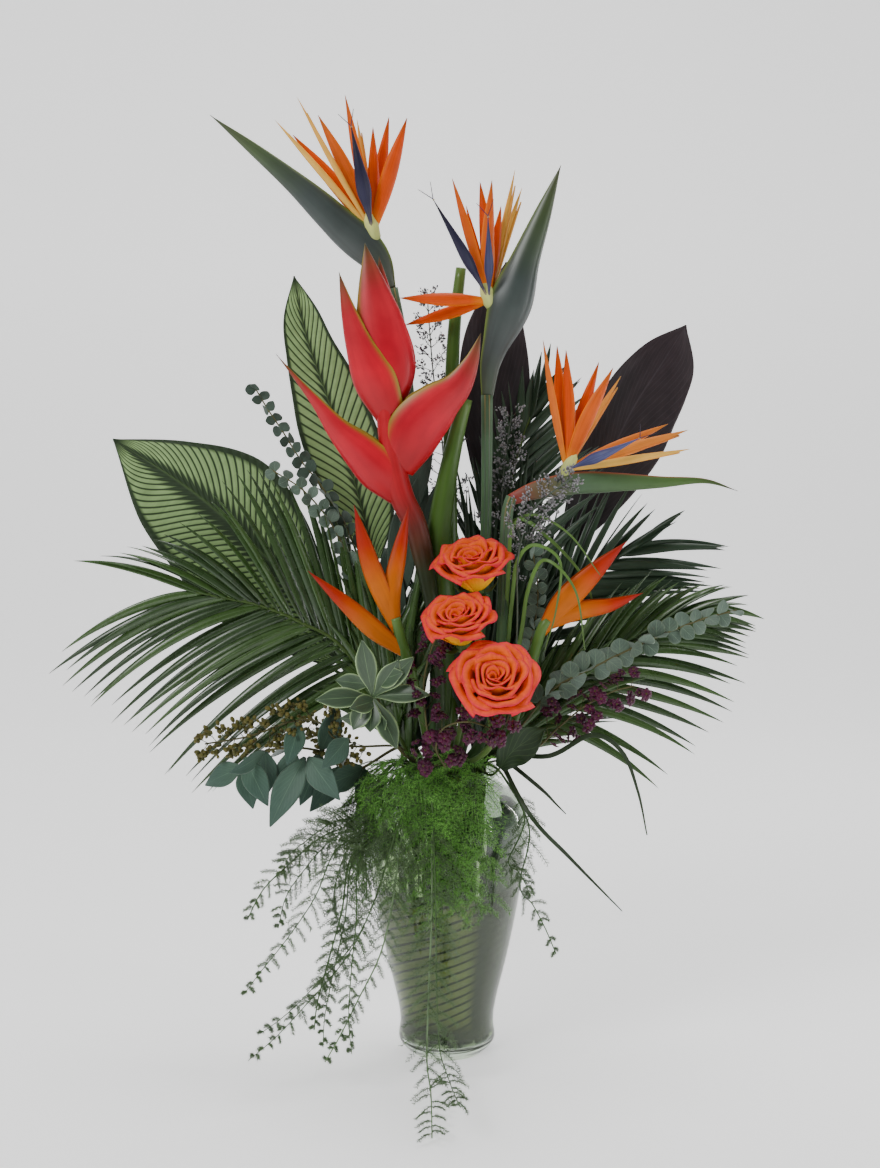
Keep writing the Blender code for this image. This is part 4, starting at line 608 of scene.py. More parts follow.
@dataclass
class Wiring:
    """Short ways to add nodes to one node tree."""

    tree: bpy.types.NodeTree

    def fill(self, node: bpy.types.Node, values: dict[object, object]) -> None:
        """Joins each of these inputs to a socket, or sets it to a value.

        Args:
            node: the node that takes them.
            values: a socket or a value for each input's name or number.
        """
        for key, value in values.items():
            if isinstance(value, bpy.types.NodeSocket):
                self.tree.links.new(value, node.inputs[key])
            else:
                node.inputs[key].default_value = value

    def add(self, kind: str, inputs: dict[object, object] | None = None, **settings: object) -> bpy.types.Node:
        """A node with these settings, its inputs joined to a socket or set to a value.

        Args:
            kind: Blender's name for the node's type.
            inputs: a socket or a value for each input.
            settings: the node's own settings.

        Returns:
            The node.
        """
        node = self.tree.nodes.new(kind)
        for key, value in settings.items():
            setattr(node, key, value)
        self.fill(node, inputs or {})
        return node

    def math(self, operation: str, a: object, b: object = 0.0, c: object = 0.0) -> bpy.types.NodeSocket:
        """A math node's result."""
        return self.add("ShaderNodeMath", {0: a, 1: b, 2: c}, operation=operation).outputs[0]

    def clamp(self, value: object) -> bpy.types.NodeSocket:
        """A value held between 0 and 1."""
        return self.add("ShaderNodeClamp", {0: value}).outputs[0]

    def mix(self, factor: object, a: object, b: object) -> bpy.types.NodeSocket:
        """Two colours mixed."""
        return self.add("ShaderNodeMix", {0: factor, 6: a, 7: b}, data_type="RGBA").outputs[2]

    def scale(self, colour: object, gain: object) -> bpy.types.NodeSocket:
        """A colour times a number."""
        return self.add("ShaderNodeVectorMath", {0: colour, 3: gain}, operation="SCALE").outputs[0]

    def bump(self, strength: float, distance: float, height: object) -> bpy.types.NodeSocket:
        """A normal bent by a height."""
        return self.add("ShaderNodeBump", {"Strength": strength, "Distance": distance, "Height": height}).outputs[0]

    def ramp(self, factor: object, stops: tuple[tuple[float, Colour], ...]) -> bpy.types.NodeSocket:
        """A colour ramp of display colours.

        Args:
            factor: where along the ramp to read.
            stops: a share and a colour for each stop.

        Returns:
            The ramp's colour.
        """
        node = self.add("ShaderNodeValToRGB", {0: factor})
        bar = node.color_ramp.elements
        for k, (at, colour) in enumerate(stops):
            stop = bar[k] if k < 2 else bar.new(at)
            stop.position = at
        for stop, (at, colour) in zip(sorted(bar, key=lambda e: e.position), stops):
            stop.color = linear(colour)
        return node.outputs[0]

    def noise(self, vector: object, scale: object, detail: float) -> bpy.types.NodeSocket:
        """A noise value."""
        return self.add("ShaderNodeTexNoise", {"Vector": vector, "Scale": scale, "Detail": detail}).outputs[0]

    def mark(self, name: str) -> bpy.types.NodeSocket:
        """One of the mesh's own values."""
        return self.add("ShaderNodeAttribute", attribute_name=name).outputs["Fac"]

    def shares(self) -> tuple[bpy.types.NodeSocket, bpy.types.NodeSocket]:
        """How far along and how far across its own leaf a place is."""
        parts = self.add("ShaderNodeSeparateXYZ", {0: self.add("ShaderNodeUVMap", uv_map="UVMap").outputs[0]})
        return parts.outputs[0], parts.outputs[1]


def group(name: str, takes: dict[str, tuple[str, object]],
          gives: dict[str, str]) -> tuple[object, Wiring, object, object]:
    """A new shader node group with named inputs and outputs, its wiring and its two end nodes.

    Args:
        name: the group's name.
        takes: a kind of socket and a first value for each input.
        gives: a kind of socket for each output.

    Returns:
        The group, its wiring, and its input and output nodes.
    """
    tree = bpy.data.node_groups.new(name, "ShaderNodeTree")
    for label, (kind, value) in takes.items():
        tree.interface.new_socket(label, in_out="INPUT", socket_type="NodeSocket" + kind).default_value = value
    for label, kind in gives.items():
        tree.interface.new_socket(label, in_out="OUTPUT", socket_type="NodeSocket" + kind)
    return tree, Wiring(tree), tree.nodes.new("NodeGroupInput"), tree.nodes.new("NodeGroupOutput")


class Effect(Enum):
    """The effects that many finishes share, each one node group."""

    STREAKS = "Lengthwise streaks"
    MOTTLE = "Mottling"
    VEINS = "Side veins"

    def tree(self) -> bpy.types.NodeTree:
        """The effect's node group, built at first use."""
        return bpy.data.node_groups.get(self.value) or {
            Effect.STREAKS: streaks_group, Effect.MOTTLE: mottle_group, Effect.VEINS: veins_group,
        }[self](self.value)


def streaks_group(name: str) -> bpy.types.NodeTree:
    """Fine lines along a petal or blade: noise of (across * count, along * 2, tone * 9).

    Args:
        name: the group's name.

    Returns:
        The node group.
    """
    tree, w, start, end = group(name, {"Along": ("Float", 0.0), "Across": ("Float", 0.0), "Count": ("Float", 20.0),
                                       "Tone": ("Float", 0.5)}, {"Value": "Float"})
    take = start.outputs
    place = w.add("ShaderNodeCombineXYZ", {0: w.math("MULTIPLY", take["Across"], take["Count"]),
                                           1: w.math("MULTIPLY", take["Along"], 2.0),
                                           2: w.math("MULTIPLY", take["Tone"], 9.0)})
    w.fill(end, {"Value": w.noise(place.outputs[0], 1.0, 3.0)})
    return tree


def mottle_group(name: str) -> bpy.types.NodeTree:
    """Lighter and darker clouds: colour * (1 + amount * (noise - 0.5) * 2), and the noise as a height.

    Args:
        name: the group's name.

    Returns:
        The node group.
    """
    tree, w, start, end = group(name, {"Color": ("Color", (1, 1, 1, 1)), "Scale": ("Float", 60.0),
                                       "Amount": ("Float", 0.2)}, {"Color": "Color", "Height": "Float"})
    take = start.outputs
    noise = w.noise(w.add("ShaderNodeTexCoord").outputs["Object"], take["Scale"], 4.0)
    gain = w.math("MULTIPLY_ADD", w.math("SUBTRACT", noise, 0.5), w.math("MULTIPLY", take["Amount"], 2.0), 1.0)
    w.fill(end, {"Color": w.scale(take["Color"], gain), "Height": noise})
    return tree


def veins_group(name: str) -> bpy.types.NodeTree:
    """Side veins that leave the midrib towards the tip.

    The phase is along * count - |across| * slant, a vein lies where its fraction is near 0, and the midrib where
    |across| is near 0.

    Args:
        name: the group's name.

    Returns:
        The node group.
    """
    tree, w, start, end = group(name, {"Along": ("Float", 0.0), "Across": ("Float", 0.0), "Count": ("Float", 18.0),
                                       "Slant": ("Float", 6.0), "Width": ("Float", 0.12)},
                                {"Vein": "Float", "Phase": "Float", "Aside": "Float", "Midrib": "Float"})
    take = start.outputs
    aside = w.math("ABSOLUTE", w.math("MULTIPLY_ADD", take["Across"], 2.0, -1.0))
    bent = w.math("MULTIPLY", w.math("POWER", aside, 0.8), take["Slant"])
    phase = w.math("SUBTRACT", w.math("MULTIPLY", take["Along"], take["Count"]), bent)
    near = w.math("PINGPONG", phase, 0.5)
    vein = w.math("SUBTRACT", 1.0, w.math("DIVIDE", near, take["Width"]))
    midrib = w.math("SUBTRACT", 1.0, w.math("DIVIDE", aside, MIDRIB_SHARE))
    w.fill(end, {"Vein": w.clamp(vein), "Phase": near, "Aside": aside, "Midrib": w.clamp(midrib)})
    return tree


def effect(w: Wiring, kind: Effect, inputs: dict[str, object]) -> bpy.types.NodeOutputs:
    """One effect's group in a material, with its own values."""
    return w.add("ShaderNodeGroup", inputs, node_tree=kind.tree()).outputs


def painted(name: str) -> tuple[bpy.types.Material, Wiring, bpy.types.Node]:
    """A new material, its wiring and its main shader."""
    made = bpy.data.materials.new(name)
    made.use_nodes = True
    return made, Wiring(made.node_tree), made.node_tree.nodes["Principled BSDF"]


def uneven(w: Wiring, height: object, middle: float) -> bpy.types.NodeSocket:
    """A roughness that follows a height, a spread to each side of its middle."""
    return w.math("MULTIPLY_ADD", height, 2 * ROUGH_SPREAD, middle - ROUGH_SPREAD)


@dataclass(frozen=True)
class Living:
    """The finish of a petal, leaf, bract or stem: a ramp of colours from its foot to its tip, and what marks it."""

    name: str
    ramp: tuple[tuple[float, Colour], ...]
    other: Colour = (128, 128, 128)
    other_amount: float = 0.0
    edge: Colour = (128, 128, 128)
    edge_amount: float = 0.0
    edge_power: float = 4.0
    inside: Colour = (128, 128, 128)
    inside_amount: float = 0.0
    streaks: float = 22.0
    streak_amount: float = 0.25
    mottle: float = 70.0
    mottle_amount: float = 0.18
    veins: float = 0.0
    slant: float = 6.0
    vein: Colour = (128, 140, 110)
    vein_amount: float = 0.0
    midrib_amount: float = 0.0
    roughness: float = 0.5
    gloss: float = 0.22
    coat: float = 0.0
    sheen: float = 0.0
    bump: float = 0.25
    glow: float = 0.0

    def material(self) -> bpy.types.Material:
        """The Blender material."""
        made, w, shader = painted(self.name)
        along, across = w.shares()
        tone = w.mark("tone")
        colour = w.ramp(along, self.ramp)
        if self.other_amount:
            colour = w.mix(w.math("MULTIPLY", tone, self.other_amount), colour, linear(self.other))
        if self.inside_amount:
            colour = w.mix(w.math("MULTIPLY", w.mark("face"), self.inside_amount), colour, linear(self.inside))
        lengthwise = {"Along": along, "Across": across}
        height = streak = effect(w, Effect.STREAKS, lengthwise | {"Count": self.streaks, "Tone": tone})[0]
        if self.veins:
            veins = effect(w, Effect.VEINS, lengthwise | {"Count": self.veins, "Slant": self.slant})
            lines = w.math("MAXIMUM", w.math("MULTIPLY", veins["Vein"], self.vein_amount),
                           w.math("MULTIPLY", veins["Midrib"], self.midrib_amount))
            colour = w.mix(lines, colour, linear(self.vein))
            height = w.math("ADD", w.math("MULTIPLY", streak, 0.3), lines)
        if self.edge_amount:
            edge = w.math("MULTIPLY", w.math("POWER", w.mark("rim"), self.edge_power), self.edge_amount)
            colour = w.mix(edge, colour, linear(self.edge))
        gain = w.math("MULTIPLY_ADD", w.math("SUBTRACT", streak, 0.5), self.streak_amount * 2, 1.0)
        mottle = effect(w, Effect.MOTTLE, {"Color": w.scale(colour, gain), "Scale": self.mottle,
                                           "Amount": self.mottle_amount})
        w.fill(shader, {
            "Base Color": mottle["Color"], "Roughness": uneven(w, mottle["Height"], self.roughness),
            "Normal": w.bump(self.bump, LEAF_RELIEF, height), "Specular IOR Level": self.gloss,
            "Coat Weight": self.coat, "Coat Roughness": COAT_ROUGHNESS, "Sheen Weight": self.sheen,
            "Subsurface Weight": self.glow, "Subsurface Scale": GLOW_DEPTH,
        })
        return made


# The finishes

SPATHE = Living("spathe green", ((0.0, (70, 82, 60)), (0.2, (66, 74, 72)), (0.5, (60, 70, 67)), (0.78, (70, 84, 50)),
    (0.95, (72, 78, 48)), (1.0, (40, 30, 28))), edge=(116, 128, 66), edge_amount=1.0, edge_power=1.1,
    inside=(112, 126, 70), inside_amount=0.8, streaks=15, streak_amount=0.5, mottle=22, mottle_amount=0.4,
    roughness=0.36, gloss=0.45, bump=0.3)
SPATHE_WARM = Living("spathe with a red edge", ((0.0, (150, 62, 58)), (0.12, (112, 92, 66)), (0.3, (84, 104, 78)),
    (0.75, (84, 108, 56)), (0.93, (70, 82, 40)), (1.0, (44, 28, 26))), edge=(176, 84, 60), edge_amount=0.7,
    edge_power=1.2, inside=(176, 140, 70), inside_amount=0.8, streaks=16, streak_amount=0.22, roughness=0.42,
    sheen=0.15, bump=0.2)
SEPAL = Living("sepal orange", ((0.0, (206, 196, 150)), (0.08, (206, 146, 60)), (0.22, (200, 106, 30)),
    (0.8, (198, 98, 26)), (0.93, (176, 92, 40)), (1.0, (64, 52, 48))), other=(206, 184, 136), other_amount=0.9,
    edge=(214, 146, 62), edge_amount=0.5, edge_power=6.0, inside=(180, 84, 24), inside_amount=0.35, streaks=20,
    streak_amount=0.3, roughness=0.4, gloss=0.12, bump=0.35)
THROAT = Living("flower throat", ((0.0, (150, 156, 112)), (1.0, (214, 206, 166))), roughness=0.5)
# The pale blue other colour, mixed in by a tongue's paleness, is a painted highlight.
TONGUE = Living("tongue blue", ((0.0, (176, 168, 140)), (0.12, (82, 80, 96)), (0.28, (38, 42, 72)),
    (0.7, (32, 32, 56)), (1.0, (34, 28, 40))), other=(104, 114, 150), other_amount=0.6, edge=(56, 60, 96),
    edge_amount=0.4, streaks=12, streak_amount=0.5, roughness=0.4, bump=0.4)
STEM_PALE = Living("flower stem", ((0.0, (62, 88, 44)), (0.5, (70, 96, 60)), (1.0, (96, 116, 92))), streaks=10,
    streak_amount=0.25, roughness=0.5)
SHEATH = Living("stem sheath", ((0.0, (76, 94, 78)), (0.7, (88, 104, 88)), (1.0, (140, 128, 90))),
    edge=(118, 126, 100), edge_amount=0.5, edge_power=8.0, streaks=14, roughness=0.5)
LOBSTER = Living("heliconia red", ((0.0, (168, 40, 40)), (0.35, (186, 60, 60)), (0.7, (180, 66, 64)),
    (0.9, (134, 74, 52)), (1.0, (64, 66, 34))), edge=(150, 126, 62), edge_amount=1.0, edge_power=0.8,
    inside=(124, 108, 44), inside_amount=0.9, streaks=15, streak_amount=0.34, mottle=30, mottle_amount=0.34,
    roughness=0.36, gloss=0.3, bump=0.3)
LOBSTER_STEM = Living("heliconia stem", ((0.0, (40, 60, 26)), (0.54, (50, 62, 30)), (0.64, (110, 46, 36)),
    (0.72, (170, 54, 50)), (1.0, (186, 66, 62))), roughness=0.4)
PARAKEET = Living("parakeet orange", ((0.0, (172, 106, 24)), (0.4, (182, 110, 30)), (0.7, (172, 62, 32)),
    (1.0, (146, 40, 34))), edge=(176, 84, 40), edge_amount=0.5, edge_power=1.5, inside=(176, 98, 40),
    inside_amount=0.6, streaks=14, streak_amount=0.34, mottle=50, roughness=0.4, gloss=0.15)
ROSE = Living("rose coral", ((0.0, (238, 172, 104)), (0.35, (240, 172, 102)), (0.75, (238, 154, 102)),
    (1.0, (230, 126, 104))), other=(230, 170, 96), other_amount=0.7, edge=(204, 84, 92), edge_amount=0.95,
    edge_power=5.0, inside=(232, 138, 92), inside_amount=0.8, streaks=16, streak_amount=0.2, mottle=90,
    mottle_amount=0.16, roughness=0.5, gloss=0.12, bump=0.25, glow=0.08)
CALYX = Living("rose green", ((0.0, (64, 84, 40)), (1.0, (96, 112, 60))), roughness=0.55)
# Lighter towards the tip: the pale last stop is a painted highlight near the tip end.
STALK = Living("stalk green", ((0.0, (56, 80, 20)), (0.5, (66, 92, 30)), (0.88, (78, 104, 44)),
    (1.0, (108, 128, 76))), streaks=8, streak_amount=0.14, mottle=30, roughness=0.34, coat=0.1)
# The pale midrib line (the vein colour at the midrib amount) is partly the leaflets' own pale midrib and partly a
# painted highlight for the glints along the leaflets.
PALM = Living("palm green", ((0.0, (32, 54, 18)), (0.5, (42, 66, 26)), (1.0, (40, 56, 32))), other=(76, 102, 46),
    other_amount=0.7, edge=(78, 104, 60), edge_amount=0.3, streaks=16, streak_amount=0.35, vein=(150, 168, 134),
    veins=0.5, slant=0.0, midrib_amount=0.45, roughness=0.28, gloss=0.5, coat=0.12, bump=0.5)
PALM_DARK = Living("palm dark green", ((0.0, (30, 50, 26)), (0.6, (36, 58, 34)), (1.0, (44, 58, 42))),
    other=(84, 100, 84), other_amount=0.4, edge=(56, 78, 56), edge_amount=0.3, streaks=16, streak_amount=0.35,
    roughness=0.36, coat=0.1, bump=0.4)
PALM_RIB = Living("palm rib", ((0.0, (66, 84, 32)), (1.0, (78, 96, 46))), roughness=0.4)
TI = Living("ti leaf, near black", ((0.0, (40, 38, 40)), (0.6, (38, 34, 36)), (1.0, (48, 38, 42))),
    other=(62, 42, 48), other_amount=0.3, edge=(70, 54, 58), edge_amount=0.3, edge_power=30, streaks=9,
    streak_amount=0.5, veins=16, slant=9, vein=(78, 70, 76), vein_amount=0.25, midrib_amount=0.4, roughness=0.4,
    coat=0.06, bump=0.4)
SALAL = Living("salal green", ((0.0, (34, 52, 26)), (1.0, (40, 60, 32))), veins=6, slant=3, vein=(86, 104, 66),
    vein_amount=0.4, midrib_amount=0.6, roughness=0.4)
SILVER = Living("eucalyptus silver", ((0.0, (90, 106, 90)), (0.5, (78, 94, 82)), (1.0, (84, 100, 88))),
    other=(112, 126, 116), other_amount=0.7, edge=(150, 160, 140), edge_amount=0.4, edge_power=10, veins=4, slant=2.5,
    vein=(150, 166, 148), vein_amount=0.16, midrib_amount=0.5, roughness=0.6, sheen=0.2)
SILVER_DARK = Living("eucalyptus dark", ((0.0, (58, 76, 62)), (1.0, (52, 68, 58))), other=(82, 98, 86),
    other_amount=0.5, edge=(92, 106, 92), edge_amount=0.3, edge_power=10, veins=4, slant=2.5, vein=(96, 112, 96),
    vein_amount=0.14, midrib_amount=0.4, roughness=0.55, sheen=0.1)
BLUE_LEAF = Living("seeded eucalyptus leaf", ((0.0, (80, 104, 86)), (0.6, (70, 96, 84)), (1.0, (64, 88, 80))),
    other=(88, 108, 98), other_amount=0.5, edge=(112, 130, 112), edge_amount=0.4, edge_power=20, veins=9, slant=4,
    vein=(120, 142, 122), vein_amount=0.2, midrib_amount=0.6, roughness=0.5, sheen=0.15)
TWIG = Living("brown green twig", ((0.0, (84, 80, 50)), (1.0, (98, 92, 58))), roughness=0.6)
SEED = Living("seed gold", ((0.0, (74, 80, 42)), (0.6, (96, 92, 48)), (1.0, (74, 60, 32))), other=(124, 112, 62),
    other_amount=0.6, roughness=0.55)
GREY_FLOWER = Living("limonium grey", ((0.0, (84, 90, 86)), (1.0, (150, 150, 152))), other=(110, 104, 118),
    other_amount=0.6, roughness=0.7)
WHITE_FLOWER = Living("limonium white", ((0.0, (92, 94, 92)), (1.0, (166, 166, 166))), other=(122, 112, 124),
    other_amount=0.5, roughness=0.7)
GREY_TWIG = Living("limonium twig", ((0.0, (66, 78, 58)), (1.0, (96, 104, 94))), roughness=0.65)
# The pink edge colour on the petal rims is partly the petals' paler rims and partly painted glints.
PURPLE = Living("waxflower purple", ((0.0, (150, 84, 118)), (0.25, (88, 30, 62)), (1.0, (64, 20, 44))),
    other=(52, 16, 36), other_amount=0.8, edge=(172, 104, 138), edge_amount=0.4, roughness=0.4)
CREAM_LEAF = Living("pittosporum green", ((0.0, (90, 108, 80)), (0.5, (78, 96, 74)), (1.0, (74, 92, 70))),
    other=(60, 76, 54), other_amount=0.6, edge=(184, 194, 168), edge_amount=1.0, edge_power=14, veins=5, slant=3,
    vein=(146, 162, 132), vein_amount=0.06, midrib_amount=0.6, roughness=0.36, gloss=0.4)
FERN = Living("asparagus fern", ((0.0, (124, 152, 96)), (1.0, (166, 194, 132))), other=(110, 136, 90),
    other_amount=0.6, roughness=0.6, gloss=0.15)
FERN_GREY = Living("asparagus fern, trailing", ((0.0, (104, 120, 88)), (1.0, (140, 156, 124))), other=(100, 114, 92),
    other_amount=0.7, roughness=0.55)
FERN_STEM = Living("fern stem", ((0.0, (72, 94, 54)), (1.0, (88, 110, 68))), roughness=0.5)
GRASS = Living("grass green", ((0.0, (92, 116, 58)), (0.6, (108, 132, 76)), (1.0, (96, 114, 68))), streaks=8,
    roughness=0.4)
GRASS_DARK = Living("dark grass", ((0.0, (40, 58, 26)), (1.0, (52, 64, 44))), streaks=8, roughness=0.4)


@dataclass(frozen=True)
class Striped:
    """The finish of a calathea leaf: dark green with pale bands between its side veins."""

    name: str
    dark: Colour = (44, 60, 34)
    pale: Colour = (150, 164, 128)
    line: Colour = (52, 70, 42)
    count: float = 42.0
    slant: float = 8.0
    margin: float = 0.9
    heart: float = 0.16
    share: float = 0.80
    foot: float = -1.0
    roughness: float = 0.4

    def material(self) -> bpy.types.Material:
        """The Blender material: bands fade out at the margin and beside the midrib, where their edge is feathered."""
        made, w, shader = painted(self.name)
        along, across = w.shares()
        veins = effect(w, Effect.VEINS, {"Along": along, "Across": across, "Count": self.count, "Slant": self.slant,
                                         "Width": 0.13})
        streak = effect(w, Effect.STREAKS, {"Along": across, "Across": along, "Count": 60.0, "Tone": w.mark("tone")})[0]
        feather = w.math("MULTIPLY", w.math("SUBTRACT", veins["Phase"], 0.25), 0.34)
        inner = w.math("DIVIDE", w.math("SUBTRACT", w.math("ADD", veins["Aside"], feather), self.heart), 0.12)
        outer = w.math("DIVIDE", w.math("SUBTRACT", self.margin, veins["Aside"]), 0.07)
        tip = w.math("DIVIDE", w.math("SUBTRACT", 0.985, along), 0.05)
        start = w.math("DIVIDE", w.math("SUBTRACT", along, self.foot), 0.12)
        band = w.clamp(w.math("MINIMUM", w.math("MINIMUM", inner, outer), w.math("MINIMUM", tip, start)))
        middle = w.math("DIVIDE", w.math("SUBTRACT", veins["Phase"], 0.5 - self.share / 2), 0.10)
        band = w.math("MULTIPLY", band, w.clamp(middle))
        band = w.math("MULTIPLY", band, w.math("MULTIPLY_ADD", streak, 0.5, 0.62))
        colour = w.mix(band, linear(self.dark), linear(self.pale))
        colour = w.mix(w.math("MULTIPLY", veins["Vein"], 0.85), colour, linear(self.line))
        colour = w.mix(w.math("MULTIPLY", veins["Midrib"], 0.5), colour, linear((92, 112, 66)))
        mottle = effect(w, Effect.MOTTLE, {"Color": colour, "Scale": 45.0, "Amount": 0.22})
        height = w.math("ADD", w.math("MULTIPLY", veins["Phase"], 1.4), veins["Midrib"])
        w.fill(shader, {
            "Base Color": mottle["Color"], "Roughness": uneven(w, mottle["Height"], self.roughness),
            "Normal": w.bump(0.5, 3 * LEAF_RELIEF, height), "Specular IOR Level": 0.25,
        })
        return made


@dataclass(frozen=True)
class Clear:
    """Glass or water: light goes through it, and a part of it goes straight through where it casts shade."""

    name: str
    tint: Colour = (174, 179, 172)
    bend: float = 1.45
    gloss: float = 0.5
    roughness: float = 0.015
    ripple: float = 0.06
    shade_pass: float = 0.9

    def material(self) -> bpy.types.Material:
        """The Blender material."""
        made, w, shader = painted(self.name)
        in_shade = w.add("ShaderNodeLightPath").outputs["Is Shadow Ray"]
        wave = w.noise(w.add("ShaderNodeTexCoord").outputs["Object"], 26.0, 1.0)
        w.fill(shader, {
            "Base Color": linear(self.tint), "Roughness": self.roughness, "Metallic": 0.0, "Transmission Weight": 1.0,
            "IOR": self.bend, "Specular IOR Level": self.gloss, "Normal": w.bump(self.ripple, 0.002, wave),
            "Alpha": w.math("MULTIPLY_ADD", in_shade, -self.shade_pass, 1.0),
        })
        return made


CALATHEA = Striped("calathea leaf")
CALATHEA_FAR = Striped("calathea leaf, upper", count=27.0, slant=4.5, heart=0.06, share=0.84)
LINER = Striped("liner leaf", (52, 60, 38), (172, 172, 134), (26, 34, 18), 17.0, 8.5, 0.80, -0.2, 0.80, 0.06)
LINER_FOLD = Living("liner fold", ((0.0, (46, 56, 36)), (0.5, (70, 80, 68)), (1.0, (104, 112, 108))),
    other=(122, 130, 120), other_amount=0.5, streaks=30, streak_amount=0.5, roughness=0.5)
GLASS = Clear("vase glass")
WATER = Clear("water", (196, 200, 186), 1.33, 0.1, 0.0, 0.02)


# Birds of paradise


@dataclass(frozen=True)
class Floret:
    """A sepal with its tip seen at (column, row): its lean back and half width in millimetres, and its paleness."""

    column: float
    row: float
    back: float
    half: float
    pale: float = 0.0


@dataclass
class Bird:
    """A bird of paradise: stem, folded spathe, orange sepals and blue tongue."""

    number: int
    stem: list[Place]
    spathe: list[Place]
    halves: tuple[float, ...]
    opening: Place
    centre: Place
    knob: float
    florets: tuple[Floret, ...]
    tongues: tuple[Floret, ...]
    coat: Living = SPATHE

    def build(self) -> None:
        """Makes the flower's pieces."""
        name = f"bird_{self.number}"
        self.build_spathe(name)
        middle = seen(self.centre)
        self.build_sepals(name, middle)
        for k, tongue in enumerate(self.tongues, start=1):
            self.build_tongue(f"{name}_tongue_{k}", middle, tongue)

    def build_spathe(self, name: str) -> None:
        """The spathe is a boat section along its beak, and the stem a round one with two sheaths.

        Args:
            name: the bird's name.
        """
        route = even(seen(self.spathe), 64)
        half = eased(self.halves, 64, 0.25) / 1000
        stem = PACKED.stem(f"{name}_spathe", self.stem, 44)
        radii = np.interp(np.linspace(0, 1, len(stem)), [0, 0.4, 1], [0.0050, 0.0046, 0.0056])
        wrap = stem[len(stem) * 5 // 8 :]
        sheath = sweep(wrap, FRONT, np.linspace(0.0062, 0.0072, len(wrap)), np.linspace(0.0058, 0.0066, len(wrap)),
                       boat_section(40), coat=2)
        piece(f"{name}_spathe_skin",
              [sweep(route, self.opening, half, half, boat_section(64), tone=0.4), rod(stem, radii, 14, 1), sheath],
              [self.coat, STEM_PALE, SHEATH], "spathe_green", f"{name}_spathe")

    def build_sepals(self, name: str, middle: Array) -> None:
        """Each sepal is a keeled blade from the flower's middle, bowed back on its way to its tip.

        Args:
            name: the bird's name.
            middle: the flower's middle.
        """
        rng = np.random.default_rng(self.number)
        section = leaf_section(8, fold=-0.34)
        made = []
        for floret in self.florets:
            tip = seen((floret.column, floret.row, self.centre[2] + floret.back))
            sway = (middle + tip) / 2 + np.array([rng.uniform(-2, 2) / 1000, floret.back / 1000 * 0.35, 0])
            route = even([middle, sway, tip], 30)
            facing = unit(FRONT + np.array([np.sign(tip[0] - middle[0]) * 0.5, 0, 0.2]))
            half = eased([0.4, 0.8, 1.1, 1.16, 0.96, 0.55, 0.04], 30, 0.02) * floret.half / 1000
            made.append(sweep(route, facing, half, half * 0.36, section, tone=floret.pale))
            if floret.pale > 0.3:
                thin = route + np.array([floret.half * 0.9, 0.6, -1.5]) / 1000 * np.linspace(0.3, 1, 30)[:, None]
                made.append(sweep(thin[:-3], facing, half[:-3] * 0.55, half[:-3] * 0.3, section,
                                  tone=floret.pale * 0.8))
        lean = unit(sum(unit(seen((f.column, f.row, self.centre[2])) - middle) for f in self.florets))
        throat = beads((middle + lean * 0.004)[None], lean[None], np.array([self.knob * 0.72]), 2.3, 16, coat=1)
        piece(f"{name}_sepal_cluster", [*made, throat], [SEPAL, THROAT], "sepal_orange", f"{name}_sepals")

    def build_tongue(self, name: str, middle: Array, tongue: Floret) -> None:
        """An arrow shaped blade with a raised spine, and a forked thread at its tip.

        Args:
            name: the piece's node.
            middle: the flower's middle.
            tongue: where its tip is seen.
        """
        tip = seen((tongue.column, tongue.row, self.centre[2] + tongue.back))
        start = middle + np.array([0, -0.35 * self.knob, 0])
        sway = (start + tip) / 2 + np.array([0, tongue.back / 1000 * 0.5, 0])
        route = even([start, sway, tip], 40)
        half = eased([0.32, 0.36, 0.75, 1.25, 1.2, 0.9, 0.6, 0.3, 0.06], 40, 0.03) * tongue.half / 1000
        # The tongue's paleness sets its tone, which mixes in the finish's pale blue: a painted highlight.
        patches = [sweep(route, FRONT, half, half * 0.5, leaf_section(8, fold=-0.4), tone=tongue.pale)]
        for turn in (-0.9, 0.35):
            way = unit(unit(tip - start) + np.array([turn, 0, 0])) * 0.016
            patches.append(rod(even([tip - way * 0.1, tip + way * 0.6, tip + way], 8), (0.0005, 0.0003), 5, 0, 0.0))
        piece(f"{name}_blade", patches, [TONGUE], "tongue_blue", name)


